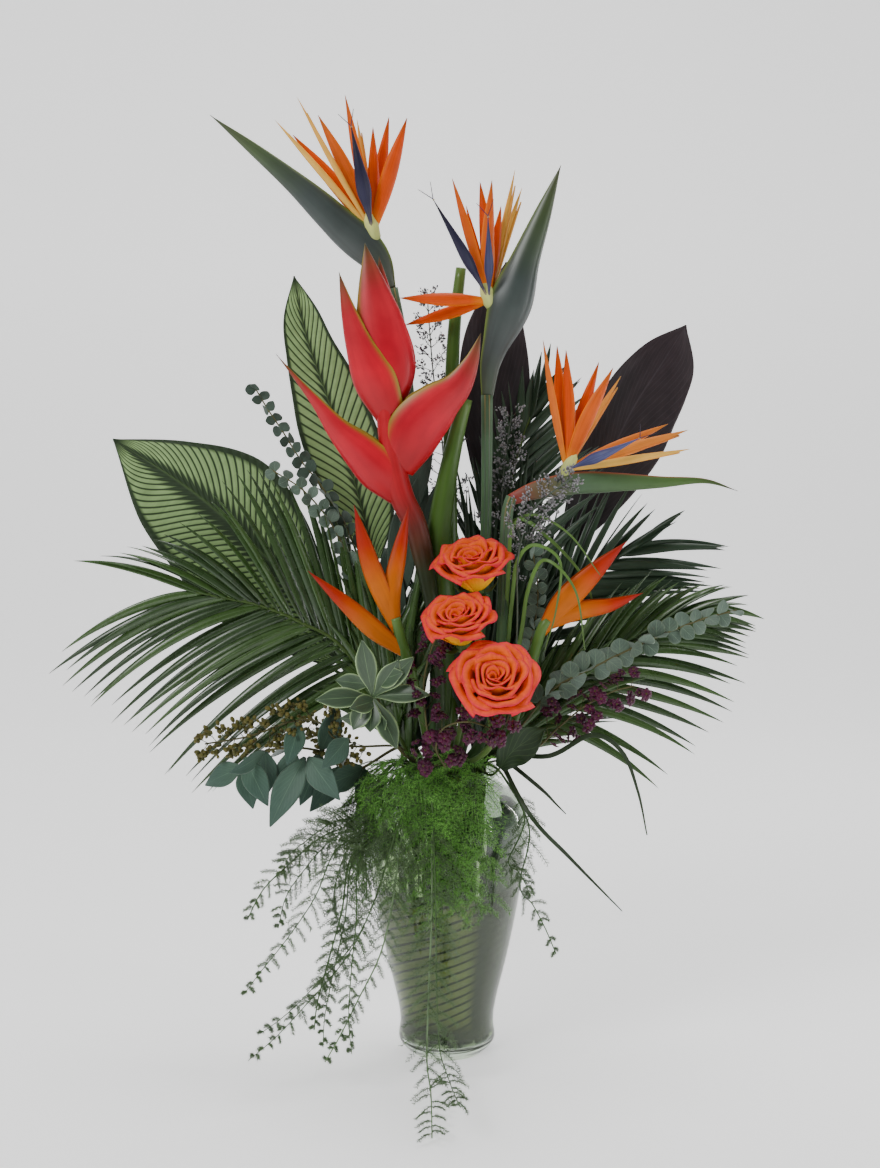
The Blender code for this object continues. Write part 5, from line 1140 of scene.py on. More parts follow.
BIRDS = (
    Bird(1, [(434, 640, 28), (424, 540, 30), (413, 430, 30), (402, 340, 28), (392, 288, 24)], [(391, 290, 24),
        (376, 258, 22), (340, 224, 22), (300, 187, 22), (255, 150, 22), (210, 115, 22)], (5.5, 17, 15, 10, 5.5, 0),
        (0.65, 0, 0.76), (373, 233, 20), 0.0105, (Floret(275, 120, -8, 3.0, 1.0), Floret(293, 135, 9, 6.2),
        Floret(297, 97, -16, 2.6, 0.9), Floret(318, 115, 2, 6.2, 0.15), Floret(345, 95, -9, 4.8, 0.1),
        Floret(357, 119, 13, 3.2, 0.9), Floret(373, 127, -2, 5.4), Floret(389, 117, 12, 6.0),
        Floret(407, 118, -8, 6.8)), (Floret(351, 126, -22, 5.4),)),
    Bird(2, [(474, 700, 2), (482, 610, 2), (486, 520, 2), (487, 440, 2), (487, 395, 2)], [(487, 398, 2),
        (491, 360, 2), (507, 312, 2), (523, 265, 2), (541, 218, 2), (561, 165, 2)], (5.5, 12, 21, 14, 8, 0),
        (-0.93, 0, 0.35), (489, 300, 0), 0.0095, (Floret(452, 178, -12, 4.2, 0.1), Floret(466, 205, 10, 3.4),
        Floret(480, 182, 3, 6.2), Floret(492, 180, -9, 5.8, 0.1), Floret(501, 206, 12, 5.4),
        Floret(515, 170, 20, 3.2, 0.9), Floret(522, 188, 28, 3.6, 1.0), Floret(400, 298, -10, 5.6),
        Floret(405, 325, 12, 5.4)), (Floret(433, 199, -26, 4.0), Floret(488, 216, -24, 3.4, 0.5))),
    Bird(3, [(492, 720, -30), (501, 640, -30), (504, 570, -30), (507, 515, -30), (512, 497, -30)], [(510, 500, -30),
        (536, 490, -30), (575, 483, -30), (615, 482, -30), (660, 482, -30), (705, 481, -30), (738, 491, -30)],
        (5.5, 9.5, 10.5, 8.5, 5.5, 2.6, 0), (0.0, 0, 1.0), (566, 470, -30), 0.0085, (Floret(543, 340, -10, 3.4, 0.2),
        Floret(557, 346, 9, 6.0), Floret(566, 350, -2, 6.0), Floret(599, 362, 12, 6.0),
        Floret(613, 368, -6, 6.4, 0.1), Floret(621, 376, 20, 3.2, 0.6), Floret(668, 424, 14, 4.6, 0.3),
        Floret(688, 430, -3, 4.6, 0.4), Floret(690, 449, -16, 3.2, 1.0)), (Floret(640, 438, -26, 4.0, 1.0),),
        SPATHE_WARM),
)


# Heliconias and green stalks


@dataclass(frozen=True)
class Bract:
    """One folded bract: its route, half depths in millimetres, the way its groove opens and how wide it spreads."""

    places: tuple[Place, ...]
    halves: tuple[float, ...]
    opening: Place
    spread: float = 1.0

    def patch(self, shift: float) -> Patch:
        """A boat section along its route."""
        half = eased(self.halves, 48, 0.25) / 1000
        route = even(seen(self.places, shift), 48)
        return sweep(route, self.opening, half * self.spread, half, boat_section(56), tone=0.3)


@dataclass
class Heliconia:
    """A heliconia head: a thick stem with folded bracts."""

    node: str
    stem: list[Place]
    radii: tuple[float, ...]
    bracts: tuple[Bract, ...]
    coats: tuple[Living, Living]
    slot: str

    def build(self) -> None:
        """Makes the head as one piece."""
        shift = PACKED.shift(self.node, self.stem)
        stem = PACKED.stem(self.node, self.stem, 48, shift)
        above = np.concatenate([[self.radii[0]] * 6, eased(self.radii, 48)])
        stem_patch = sweep(stem, FRONT, above, above, round_section(20), coat=1)
        piece(f"{self.node}_head", [*(b.patch(shift) for b in self.bracts), stem_patch], list(self.coats), self.slot,
              self.node)


HELICONIAS = (
    Heliconia("heliconia", [(441, 700, -36), (431, 600, -36), (417, 531, -36), (402, 497, -36), (393, 460, -36),
        (386, 410, -36), (384, 360, -36)], (0.0044, 0.0044, 0.0050, 0.0095, 0.0115, 0.0100, 0.0060),
        (Bract(((400, 497, -36), (381, 472, -37), (360, 450, -38), (338, 429, -40), (318, 404, -42), (296, 378, -44),
        (276, 354, -46)), (11, 21, 18, 11, 5.5, 2.2, 0), (0.6, -0.15, 0.8), 0.9), Bract(((398, 470, -36),
        (414, 430, -37), (436, 405, -40), (457, 386, -43), (471, 362, -45), (481, 333, -47)), (15, 26, 25, 16, 8, 0),
        (-0.7, -0.15, 0.7), 0.8), Bract(((391, 415, -36), (378, 385, -38), (362, 350, -41), (349, 312, -43),
        (339, 272, -44)), (15, 21, 14, 7, 0), (0.85, -0.15, 0.5), 0.9), Bract(((388, 405, -36), (389, 370, -34),
        (381, 330, -32), (373, 290, -31), (365, 243, -30)), (15, 26, 23, 13, 0), (-0.9, -0.1, 0.4), 0.8),
        Bract(((386, 360, -28), (387, 325, -22), (383, 290, -19), (379, 256, -16)), (9, 11, 7, 0), (-0.8, 0.1, 0.5))),
        (LOBSTER, LOBSTER_STEM), "heliconia_red"),
    Heliconia("heliconia_left", [(426, 740, -40), (416, 690, -60), (405, 652, -66), (395, 618, -66)],
        (0.0032, 0.0034, 0.0048, 0.0050), (Bract(((398, 632, -66), (386, 603, -66), (369, 560, -72), (354, 505, -78)),
        (5, 9.5, 7.5, 0), (0.8, -0.2, 0.5)), Bract(((396, 628, -66), (392, 592, -66), (400, 548, -60),
        (409, 505, -56)), (5, 8.5, 6.5, 0), (-0.9, -0.2, 0.1)), Bract(((407, 654, -66), (376, 631, -66),
        (345, 603, -70), (308, 571, -74)), (5, 9.5, 6.5, 0), (0.5, -0.2, 0.85))), (PARAKEET, STALK),
        "heliconia_orange"),
    Heliconia("heliconia_right", [(506, 740, -26), (524, 690, -46), (540, 634, -52), (548, 620, -52)],
        (0.0032, 0.0034, 0.0048, 0.0050), (Bract(((541, 633, -52), (561, 605, -52), (593, 573, -56), (627, 541, -60)),
        (5, 11.5, 8.5, 0), (-0.6, -0.2, 0.8)), Bract(((546, 626, -52), (577, 611, -48), (610, 605, -44),
        (643, 593, -40)), (5, 9, 6.5, 0), (0.0, -0.2, 1.0))), (PARAKEET, STALK), "heliconia_orange"),
)


@dataclass
class GreenStalk:
    """A smooth fleshy green stalk."""

    node: str
    places: list[Place]
    radii: tuple[float, ...]

    def build(self) -> None:
        """A round section whose radius swells along its route, with a crease along it."""
        shift = PACKED.shift(self.node, self.places)
        route = PACKED.stem(self.node, self.places, 48, shift)
        radii = np.concatenate([[self.radii[0]] * STRAIGHT_ROWS, eased(self.radii, 48, 0.0004)])
        section = round_section(24)
        groove = -0.10 * radii[:, None] * np.exp(-(((section.x - 0.55) ** 2) + (section.h - 0.83) ** 2) / 0.03)
        skin = sweep(route, FRONT, radii, radii, section, ripple=groove, tone=0.4)
        piece(f"{self.node}_skin", [skin], [STALK], "stalk_green", self.node)


STALKS = (
    GreenStalk("stalk_slim", [(455, 680, 36), (452, 560, 36), (450, 450, 36), (452, 372, 36), (455, 320, 36),
        (461, 268, 36)], (0.0050, 0.0052, 0.0058, 0.0064, 0.0066, 0.0050)),
    GreenStalk("stalk_fat", [(446, 690, -2), (443, 620, -2), (438, 550, -2), (445, 490, -2), (456, 437, -2),
        (466, 399, -2)], (0.0042, 0.0050, 0.0100, 0.0138, 0.0112, 0.0084, 0.0062)),
)


# Roses


@dataclass(frozen=True)
class PetalRow:
    """A row of petals: how many, radius at mid height, height, outward curl and half angle in degrees."""

    count: int
    reach: float
    tall: float
    curl: float
    half: float


ROSE_ROWS = (
    PetalRow(2, 0.08, 0.84, -0.02, 140),
    PetalRow(3, 0.17, 0.92, -0.04, 104),
    PetalRow(3, 0.28, 0.97, -0.03, 94),
    PetalRow(4, 0.40, 1.00, 0.00, 72),
    PetalRow(4, 0.52, 0.98, 0.05, 68),
    PetalRow(5, 0.62, 0.92, 0.10, 58),
    PetalRow(5, 0.70, 0.80, 0.15, 58),
)


ROSE_HEIGHT = 1.2
PETAL_THICK = 0.0007


@dataclass
class Rose:
    """An open garden rose: rows of petals round a rolled heart, on a short stem. Its height is 1.2 radii."""

    name: str
    at: Place
    axis: Place
    radius: float
    turn: float
    shares: Array = field(default_factory=lambda: np.linspace(0.03, 1, 14))

    def place(self, base: Array, r: Array, angle: Array, z: Array) -> Array:
        """Points round the rose's axis.

        Args:
            base: the axis's foot.
            r: distances from the axis.
            angle: angles round it.
            z: heights along it.

        Returns:
            The points.
        """
        axis = unit(np.array(self.axis, float))
        side = unit(np.cross(axis, np.array([0.2, 0.1, 1.0])))
        other = np.cross(axis, side)
        spoke = side * np.cos(angle)[..., None] + other * np.sin(angle)[..., None]
        return base + spoke * r[..., None] + axis * z[..., None]

    def petal(self, base: Array, row: int, middle: float, tilt: float) -> Patch:
        """A petal is a sector of a bell that rolls outwards at its top.

        With v up it, u across it and top = (v - 0.76) / 0.24 above v = 0.76, its radius is reach (0.32 +
        0.68 sin(1.9 v)) + 1.8 curl (v - 0.45), slanted by 0.045 u (0.4 + v), with a roll of (0.05 + 0.16 reach) top^2
        and a wave along its top. Its height is tall (v - 0.26 (v - 0.55) u^2) - 0.11 top^3 (0.6 + reach), with a point
        in the middle.

        Args:
            base: the foot of the bloom.
            row: which row of petals it is in.
            middle: the angle of its middle.
            tilt: moves the waves along its top.

        Returns:
            The petal.
        """
        kind = ROSE_ROWS[row]
        v, u = np.meshgrid(self.shares, np.linspace(-1, 1, 15), indexing="ij")
        top = np.clip((v - 0.76) / 0.24, 0, 1)
        roll = 0.05 + 0.16 * kind.reach
        wave = (0.02 + 0.05 * kind.reach) * np.sin(4.0 * u + tilt * 7) * v**4
        swell = kind.reach * (0.32 + 0.68 * np.sin(np.minimum(v * 1.9, 1.571)))
        swell = swell + kind.curl * np.maximum(v - 0.45, 0) * 1.8
        r = self.radius * (swell + 0.045 * u * (0.4 + v) + roll * top**2 + wave)
        point = 0.10 * np.exp(-((u / 0.22) ** 2)) * v**6 * (kind.reach > 0.35)
        lift = kind.tall * (v - 0.26 * np.maximum(v - 0.55, 0) * u * u) - 0.11 * top**3 * (0.6 + kind.reach) + point
        angle = middle + math.radians(kind.half) * u * (1.0 - 0.12 * v)
        rim = np.maximum(v**3, np.abs(u) ** 6 * v)
        height = self.radius * ROSE_HEIGHT
        return shell(self.place(base, r, angle, height * lift), PETAL_THICK, rim, tone=1.0 - kind.reach * 1.2)

    def build(self) -> None:
        """Makes the bloom and its stem with sepals."""
        rng = np.random.default_rng(int(self.turn * 10))
        axis = unit(np.array(self.axis, float))
        cad = PACKED.points(f"{self.name}_bloom")
        height = self.radius * ROSE_HEIGHT
        middle_depth = (cad[:, 1].max() + cad[:, 1].min()) / 2
        shift = min(SHIFTS, key=lambda step: abs(seen(self.at, step)[1] - middle_depth))
        base = seen(self.at, shift) - axis * height * 0.5
        petals = []
        for row, kind in enumerate(ROSE_ROWS):
            for k in range(kind.count):
                middle = self.turn + row * 0.95 + 2 * math.pi * k / kind.count + rng.uniform(-0.12, 0.12)
                petals.append(self.petal(base, row, middle, rng.uniform(0, 1)))
        piece(f"{self.name}_petals", petals, [ROSE], "rose_coral", f"{self.name}_bloom")
        route = [base - axis * 0.022 - UP * 0.034, base - axis * 0.014 - UP * 0.006, base - axis * 0.007,
                 base + axis * 0.004]
        stem = PACKED.stem(f"{self.name}_stem", route, 30)
        angles = np.arange(5) * 2 * math.pi / 5 + self.turn
        starts = self.place(base - axis * 0.004, np.full(5, 0.005), angles, np.zeros(5))
        reaches = self.place(base, np.full(5, 0.022), angles, np.full(5, 0.001)) - starts
        sepals = blades(starts, reaches, np.tile(-axis * 0.02, (5, 1)), -np.tile(axis, (5, 1)), np.full(5, 0.0042),
                        [0.6, 1, 0.8, 0.4, 0.05], leaf_section(4))
        hip = beads((base - axis * 0.006)[None], axis[None], np.array([0.0075]), 1.0, 14)
        stalk = rod(stem, (0.0028, 0.0027, 0.0030), 12)
        piece(f"{self.name}_stalk", [stalk, sepals, hip], [CALYX], "rose_stem", f"{self.name}_stem")


ROSES = (
    Rose("rose_upper", (473, 567, -52), (-0.12, -0.42, 0.90), 0.0360, 0.2),
    Rose("rose_middle", (459, 623, -94), (-0.15, -0.50, 0.85), 0.0330, 1.1),
    Rose("rose_lower", (494, 683, -136), (0.06, -0.76, 0.65), 0.0385, 2.3),
)


# Broad leaves


@dataclass
class BroadLeaf:
    """A broad leaf on its own stalk, its half widths in the photograph's pixels."""

    node: str
    above: list[Place]
    midrib: list[Place]
    left: tuple[float, ...]
    right: tuple[float, ...]
    coat: object
    slot: str
    cup: float = 0.12
    wave: float = 0.002
    radius: float = 0.0022
    quilt: float = 0.0005
    facing: Place = (0.0, -1.0, 0.1)
    rows: int = 130

    def build(self) -> None:
        """The blade is midrib + across u w + out (cup |u|^1.5 w + wave sin(2 pi (2.2 t + 0.25 u)) u^2 + quilt).

        The quilt swells between the side veins: |sin(pi (26 t - 7 |u|^0.8))| sin(pi |u|).
        """
        shift = PACKED.shift(self.node, self.midrib)
        route = even(seen(self.midrib, shift), self.rows)
        _, out, across = directions(route, self.facing)
        t, u = np.meshgrid(np.linspace(0, 1, self.rows), np.linspace(-1, 1, 37), indexing="ij")
        halves = [eased(side, self.rows, 0.3)[:, None] * PIXEL for side in (self.left, self.right)]
        width = np.where(u < 0, *halves)
        quilt = np.abs(np.sin(math.pi * (26 * t - 7 * np.abs(u) ** 0.8))) * np.sin(math.pi * np.abs(u))
        lift = self.cup * np.abs(u) ** 1.5 * width + self.wave * np.sin(2 * math.pi * (2.2 * t + 0.25 * u)) * u * u
        lift = lift + self.quilt * quilt * np.minimum(width / 0.03, 1)
        grid = route[:, None] + across[:, None] * (u * width)[..., None] + out[:, None] * lift[..., None]
        under = (route - out * 0.0011)[: self.rows * 8 // 10 : 12]
        stem = PACKED.stem(self.node, [*self.above, *under], 80, shift)
        stalk = rod(stem, (self.radius, self.radius, self.radius * 0.8, self.radius * 0.5, 0.0004), 12, 1)
        blade = shell(grid, BLADE_THICK, np.abs(u))
        piece(f"{self.node}_blade", [blade, stalk], [self.coat, PALM_RIB], self.slot, self.node)


BROAD_LEAVES = (
    BroadLeaf("calathea_left", [(400, 745, 40)], [(338, 660, 60), (302, 594, 62), (253, 544, 63), (210, 505, 64),
        (171, 476, 64), (113, 439, 62)], (14, 76, 80, 74, 54, 0), (14, 26, 58, 70, 40, 0), CALATHEA, "calathea_green",
        radius=0.0024),
    BroadLeaf("calathea_upper", [(395, 700, 75)], [(374, 560, 82), (357, 490, 82), (330, 405, 82), (306, 335, 82),
        (294, 276, 82)], (8, 24, 34, 40, 40, 34, 26, 18, 0), (8, 30, 38, 40, 38, 34, 26, 18, 0), CALATHEA_FAR,
        "calathea_green", 0.10, 0.0015),
    BroadLeaf("ti_leaf_right", [(500, 700, 60)], [(566, 545, 100), (603, 470, 100), (632, 410, 100), (664, 360, 100),
        (686, 325, 100)], (8, 18, 27, 33, 37, 37, 33, 23, 0), (8, 24, 36, 44, 49, 47, 42, 30, 0), TI, "ti_dark",
        quilt=0.0002, radius=0.0021),
    BroadLeaf("ti_leaf_middle", [(480, 700, 60)], [(492, 520, 70), (494, 440, 72), (496, 370, 72), (500, 310, 72),
        (506, 262, 72)], (7, 26, 38, 32, 0), (7, 26, 36, 26, 0), TI, "ti_dark", quilt=0.0002, radius=0.0021),
    BroadLeaf("salal_leaf", [(490, 775, -45)], [(500, 768, -60), (512, 752, -70), (528, 740, -78), (546, 728, -82)],
        (5, 14, 15, 0), (5, 16, 15, 0), SALAL, "leaf_green", 0.12, 0.001, 0.0014, 0.0, (0.0, -1.0, 0.2), 60),
)


# Stems with leaves, twigs or flowers


@dataclass
class Sprig:
    """A stem that carries smaller parts, with its directions at any share of its length above the neck."""

    node: str
    above: list[Place]
    slot: str
    coats: tuple[object, ...]
    radii: tuple[float, ...] = (0.0014, 0.0008)

    def __post_init__(self) -> None:
        """Seeds the stem's own random draws from its name."""
        self.rng = np.random.default_rng(sum(map(ord, self.node)))

    def grow(self) -> None:
        """Lays the stem's route and its directions."""
        self.stem = PACKED.stem(self.node, self.above, 120, PACKED.shift(self.node, self.above))
        self.route = self.stem[STRAIGHT_ROWS:]
        self.along, self.out, self.across = directions(self.route, unit(FRONT + 0.3 * UP))

    def at(self, shares: Array) -> tuple[Array, Array, Array, Array]:
        """The points at these shares, with the directions along, out and across there."""
        return tuple(at_share(values, shares) for values in (self.route, self.along, self.out, self.across))

    def dress(self, patches: list[Patch], ending: str) -> None:
        """Makes the piece, the last of its coats on its stem."""
        stem = rod(self.stem, self.radii, 8, len(self.coats) - 1)
        piece(f"{self.node}_{ending}", [*patches, stem], list(self.coats), self.slot, self.node)


@dataclass
class Palm(Sprig):
    """A palm frond: a rib with a row of long folded leaflets on each side."""

    first: float = 0.3
    count: int = 30
    near: tuple[Place, ...] = ()
    far: tuple[Place, ...] = ()
    sag: float = 0.16
    half: float = 0.0050
    stray: Place = (4, 4, 7)
    inner: tuple[Place, ...] = ()
    inner_count: int = 36

    def build(self) -> None:
        """A leaflet runs from the rib to a tip that the photograph shows, bowed by reach |reach| 2 sag s (1 - s)."""
        self.grow()
        patches = []
        rows_of_tips = ((-1, self.near, self.count, self.first, 1.0), (1, self.far, self.count, self.first, 1.0),
                        (0, self.inner, self.inner_count, 0.02, self.first))
        for side, tips, count, low, high in rows_of_tips[: 3 if self.inner else 2]:
            at = (np.arange(count) + 0.5 + self.rng.uniform(-0.2, 0.2, count)) / count
            rows = np.array(tips, float)
            where = at * (len(rows) - 1)
            target = np.stack([np.interp(where, np.arange(len(rows)), rows[:, i]) for i in range(3)], axis=1)
            target = target + self.rng.normal(0, 1, target.shape) * self.stray
            start, along, _, across = self.at(low + (high - low) * (at if side else self.rng.uniform(0, 1, count)))
            reach = (seen(target) - start) * self.rng.uniform(0.93 if side else 0.7, 1.0, (count, 1))
            length = np.linalg.norm(reach, axis=1, keepdims=True)
            bow = (UP + 0.25 * FRONT) * length * self.sag * 2 * self.rng.uniform(0.75, 1.25, (count, 1))
            facing = unit(FRONT * 0.7 + UP * 0.5 + side * across * 0.4 + self.rng.normal(0, 0.25, reach.shape))
            patches.append(blades(start - along * 0.002, reach, bow, facing, np.full(count, self.half),
                                  [0.35, 0.85, 1.0, 0.98, 0.9, 0.75, 0.55, 0.3, 0.03], leaf_section(5, fold=-0.42), 26,
                                  tone=self.rng.uniform(0, 1, count)))
        self.dress(patches, "leaflets")


@dataclass
class Leafy(Sprig):
    """A stem with leaves in pairs, each pair turned from the one below it."""

    nodes: tuple[float, float, int] = (0.3, 0.97, 12)
    leaf: tuple[tuple[float, float], tuple[float, float]] = ((20, 11), (13, 7))
    outline: tuple[float, ...] = (0.15, 0.75, 1.0, 1.0, 0.9, 0.62, 0.1)
    forward: float = 0.5
    roll: float = 1.15
    lift: float = 0.0
    droop: float = 0.0
    fold: float = 0.12
    extra: tuple[tuple[Place, Place, float], ...] = ()
    leaf_rows: int = 12

    def build(self) -> None:
        """A leaf reaches out along side across cos a + out sin a + along forward, and bends back a little."""
        self.grow()
        first, last, pairs = self.nodes
        n = 2 * pairs
        shares = np.repeat(np.linspace(first, last, pairs), 2)
        t = np.repeat(np.linspace(0, 1, pairs), 2)[:, None]
        side = np.tile([-1.0, 1.0], pairs)[:, None]
        roll = self.roll * np.repeat(np.arange(pairs) % 2 - 0.5, 2)[:, None] + self.rng.uniform(-0.45, 0.45, (n, 1))
        start, along, out, across = self.at(shares)
        out, across = out * np.cos(roll) + across * np.sin(roll), across * np.cos(roll) - out * np.sin(roll)
        lift = self.lift + self.rng.uniform(-0.6, 0.6, (n, 1))
        outward = side * across * np.cos(lift) + out * np.sin(lift)
        (long_a, wide_a), (long_b, wide_b) = self.leaf
        length = (long_a + (long_b - long_a) * t) / 1000 * self.rng.uniform(0.88, 1.1, (n, 1))
        half = (wide_a + (wide_b - wide_a) * t[:, 0]) / 1000 * self.rng.uniform(0.88, 1.08, n)
        reach = unit(outward + along * self.forward - UP * self.droop) * length
        facing = out * np.cos(lift) - side * across * np.sin(lift) + FRONT * 0.3
        facing = unit(facing + self.rng.normal(0, 0.32, (n, 3)))
        if self.extra:
            starts, tips = (seen([pair[k] for pair in self.extra]) for k in (0, 1))
            start, reach = np.vstack([start, starts]), np.vstack([reach, tips - starts])
            half = np.concatenate([half, [pair[2] / 1000 for pair in self.extra]])
            facing = np.vstack([facing, unit(FRONT + self.rng.normal(0, 0.25, tips.shape))])
        length = np.linalg.norm(reach, axis=1, keepdims=True)
        section = leaf_section(6, fold=self.fold, cup=0.05)
        leaves = blades(start, reach, facing * length * 0.22, facing, half, self.outline, section, self.leaf_rows,
                        tone=self.rng.uniform(0, 1, len(reach)))
        self.dress([leaves], "leaves")


class Head(Enum):
    """What a twig of a flowering stem ends in."""

    SEED = "seed"
    BUD = "bud"
    FLOWER = "flower"


def small_flowers(rng: np.random.Generator, centres: Array, axes: Array, radius: float) -> list[Patch]:
    """Open flowers of five round petals, each petal a blade from the middle, with a bead for the heart.

    Args:
        rng: the stem's random draws.
        centres: the flowers' middles.
        axes: the ways that they look.
        radius: their radius.

    Returns:
        The petals and the hearts.
    """
    n = len(centres)
    axes = unit(axes)
    side = unit(np.cross(axes, axes[:, [1, 2, 0]] + 0.17))
    other = np.cross(axes, side)
    turn = rng.uniform(0, 6.28, (n, 1)) + 2 * math.pi * np.arange(5) / 5
    ways = side[:, None] * np.cos(turn)[..., None] + other[:, None] * np.sin(turn)[..., None]
    size = radius * rng.uniform(0.75, 1.1, (n, 1, 1))
    start = (centres[:, None] + ways * size * 0.12).reshape(-1, 3)
    face = np.repeat(axes, 5, axis=0)
    bow = np.broadcast_to(axes[:, None] * size * rng.uniform(0.1, 0.7, (n, 1, 1)), ways.shape).reshape(-1, 3)
    tone = rng.uniform(0, 1, n)
    petals = blades(start, (ways * size).reshape(-1, 3), bow, face, np.repeat(size.ravel() * 0.5, 5), (0.45, 1.0, 0.45),
                    leaf_section(2), 3, 0.0004, tone=np.repeat(tone, 5))
    return [petals, beads(centres, axes, np.full(n, radius * 0.24), 1.2, 5, tone=0.0, coat=1)]


@dataclass
class Flowery(Sprig):
    """A stem with forked twigs that each end in a seed, a few buds or an open flower."""

    nodes: tuple[float, float, int] = (0.4, 0.98, 9)
    reach: tuple[float, float] = (20, 10)
    forks: int = 3
    head: Head = Head.BUD
    size: float = 0.0016

    def build(self) -> None:
        """Twigs leave the stem on both sides, and each forks into shorter ones with heads at their ends."""
        self.grow()
        rng = self.rng
        first, last, pairs = self.nodes
        n = 2 * pairs
        start, along, out, across = self.at(np.repeat(np.linspace(first, last, pairs), 2))
        angle = rng.uniform(-1.3, 1.3, (n, 1))
        side = np.tile([-1.0, 1.0], pairs)[:, None]
        length = np.interp(np.repeat(np.arange(pairs), 2), [0, pairs - 1], self.reach)[:, None] / 1000
        way = unit(side * across * np.cos(angle) + out * np.sin(angle) + along * rng.uniform(0.4, 1.1, (n, 1))) * length
        share = rng.uniform(0.35, 1.0, (n, self.forks, 1))
        share[:, 0] = 1.0
        fork = (start[:, None] + way[:, None] * share).reshape(-1, 3)
        leave = unit(unit(way)[:, None] + rng.normal(0, 0.6, (n, self.forks, 3)) + UP * 0.2)
        leave = (leave * length[:, None] * rng.uniform(0.25, 0.5, (n, self.forks, 1))).reshape(-1, 3)
        ends = fork + leave
        stem_coat = len(self.coats) - 1
        patches = [spikes(start, way * 1.02, 0.0006, coat=stem_coat), spikes(fork, leave, 0.0004, coat=stem_coat)]
        axes = unit(unit(leave) + FRONT * 0.6 + UP * 0.2)
        tone = rng.uniform(0, 1, len(ends))
        if self.head is Head.FLOWER:
            patches += small_flowers(rng, ends, axes, self.size)
        elif self.head is Head.SEED:
            patches.append(beads(ends, leave, self.size * rng.uniform(0.7, 1.1, len(ends)), 1.35, 8, tone=tone))
        else:
            spread = (ends[:, None] + rng.normal(0, self.size * 1.5, (len(ends), 4, 3))).reshape(-1, 3)
            size = self.size * rng.uniform(0.5, 1.2, len(spread))
            patches.append(beads(spread, np.repeat(axes, 4, axis=0), size, 1.6, 4, tone=np.repeat(tone, 4)))
        self.dress(patches, f"{self.head.value}s")


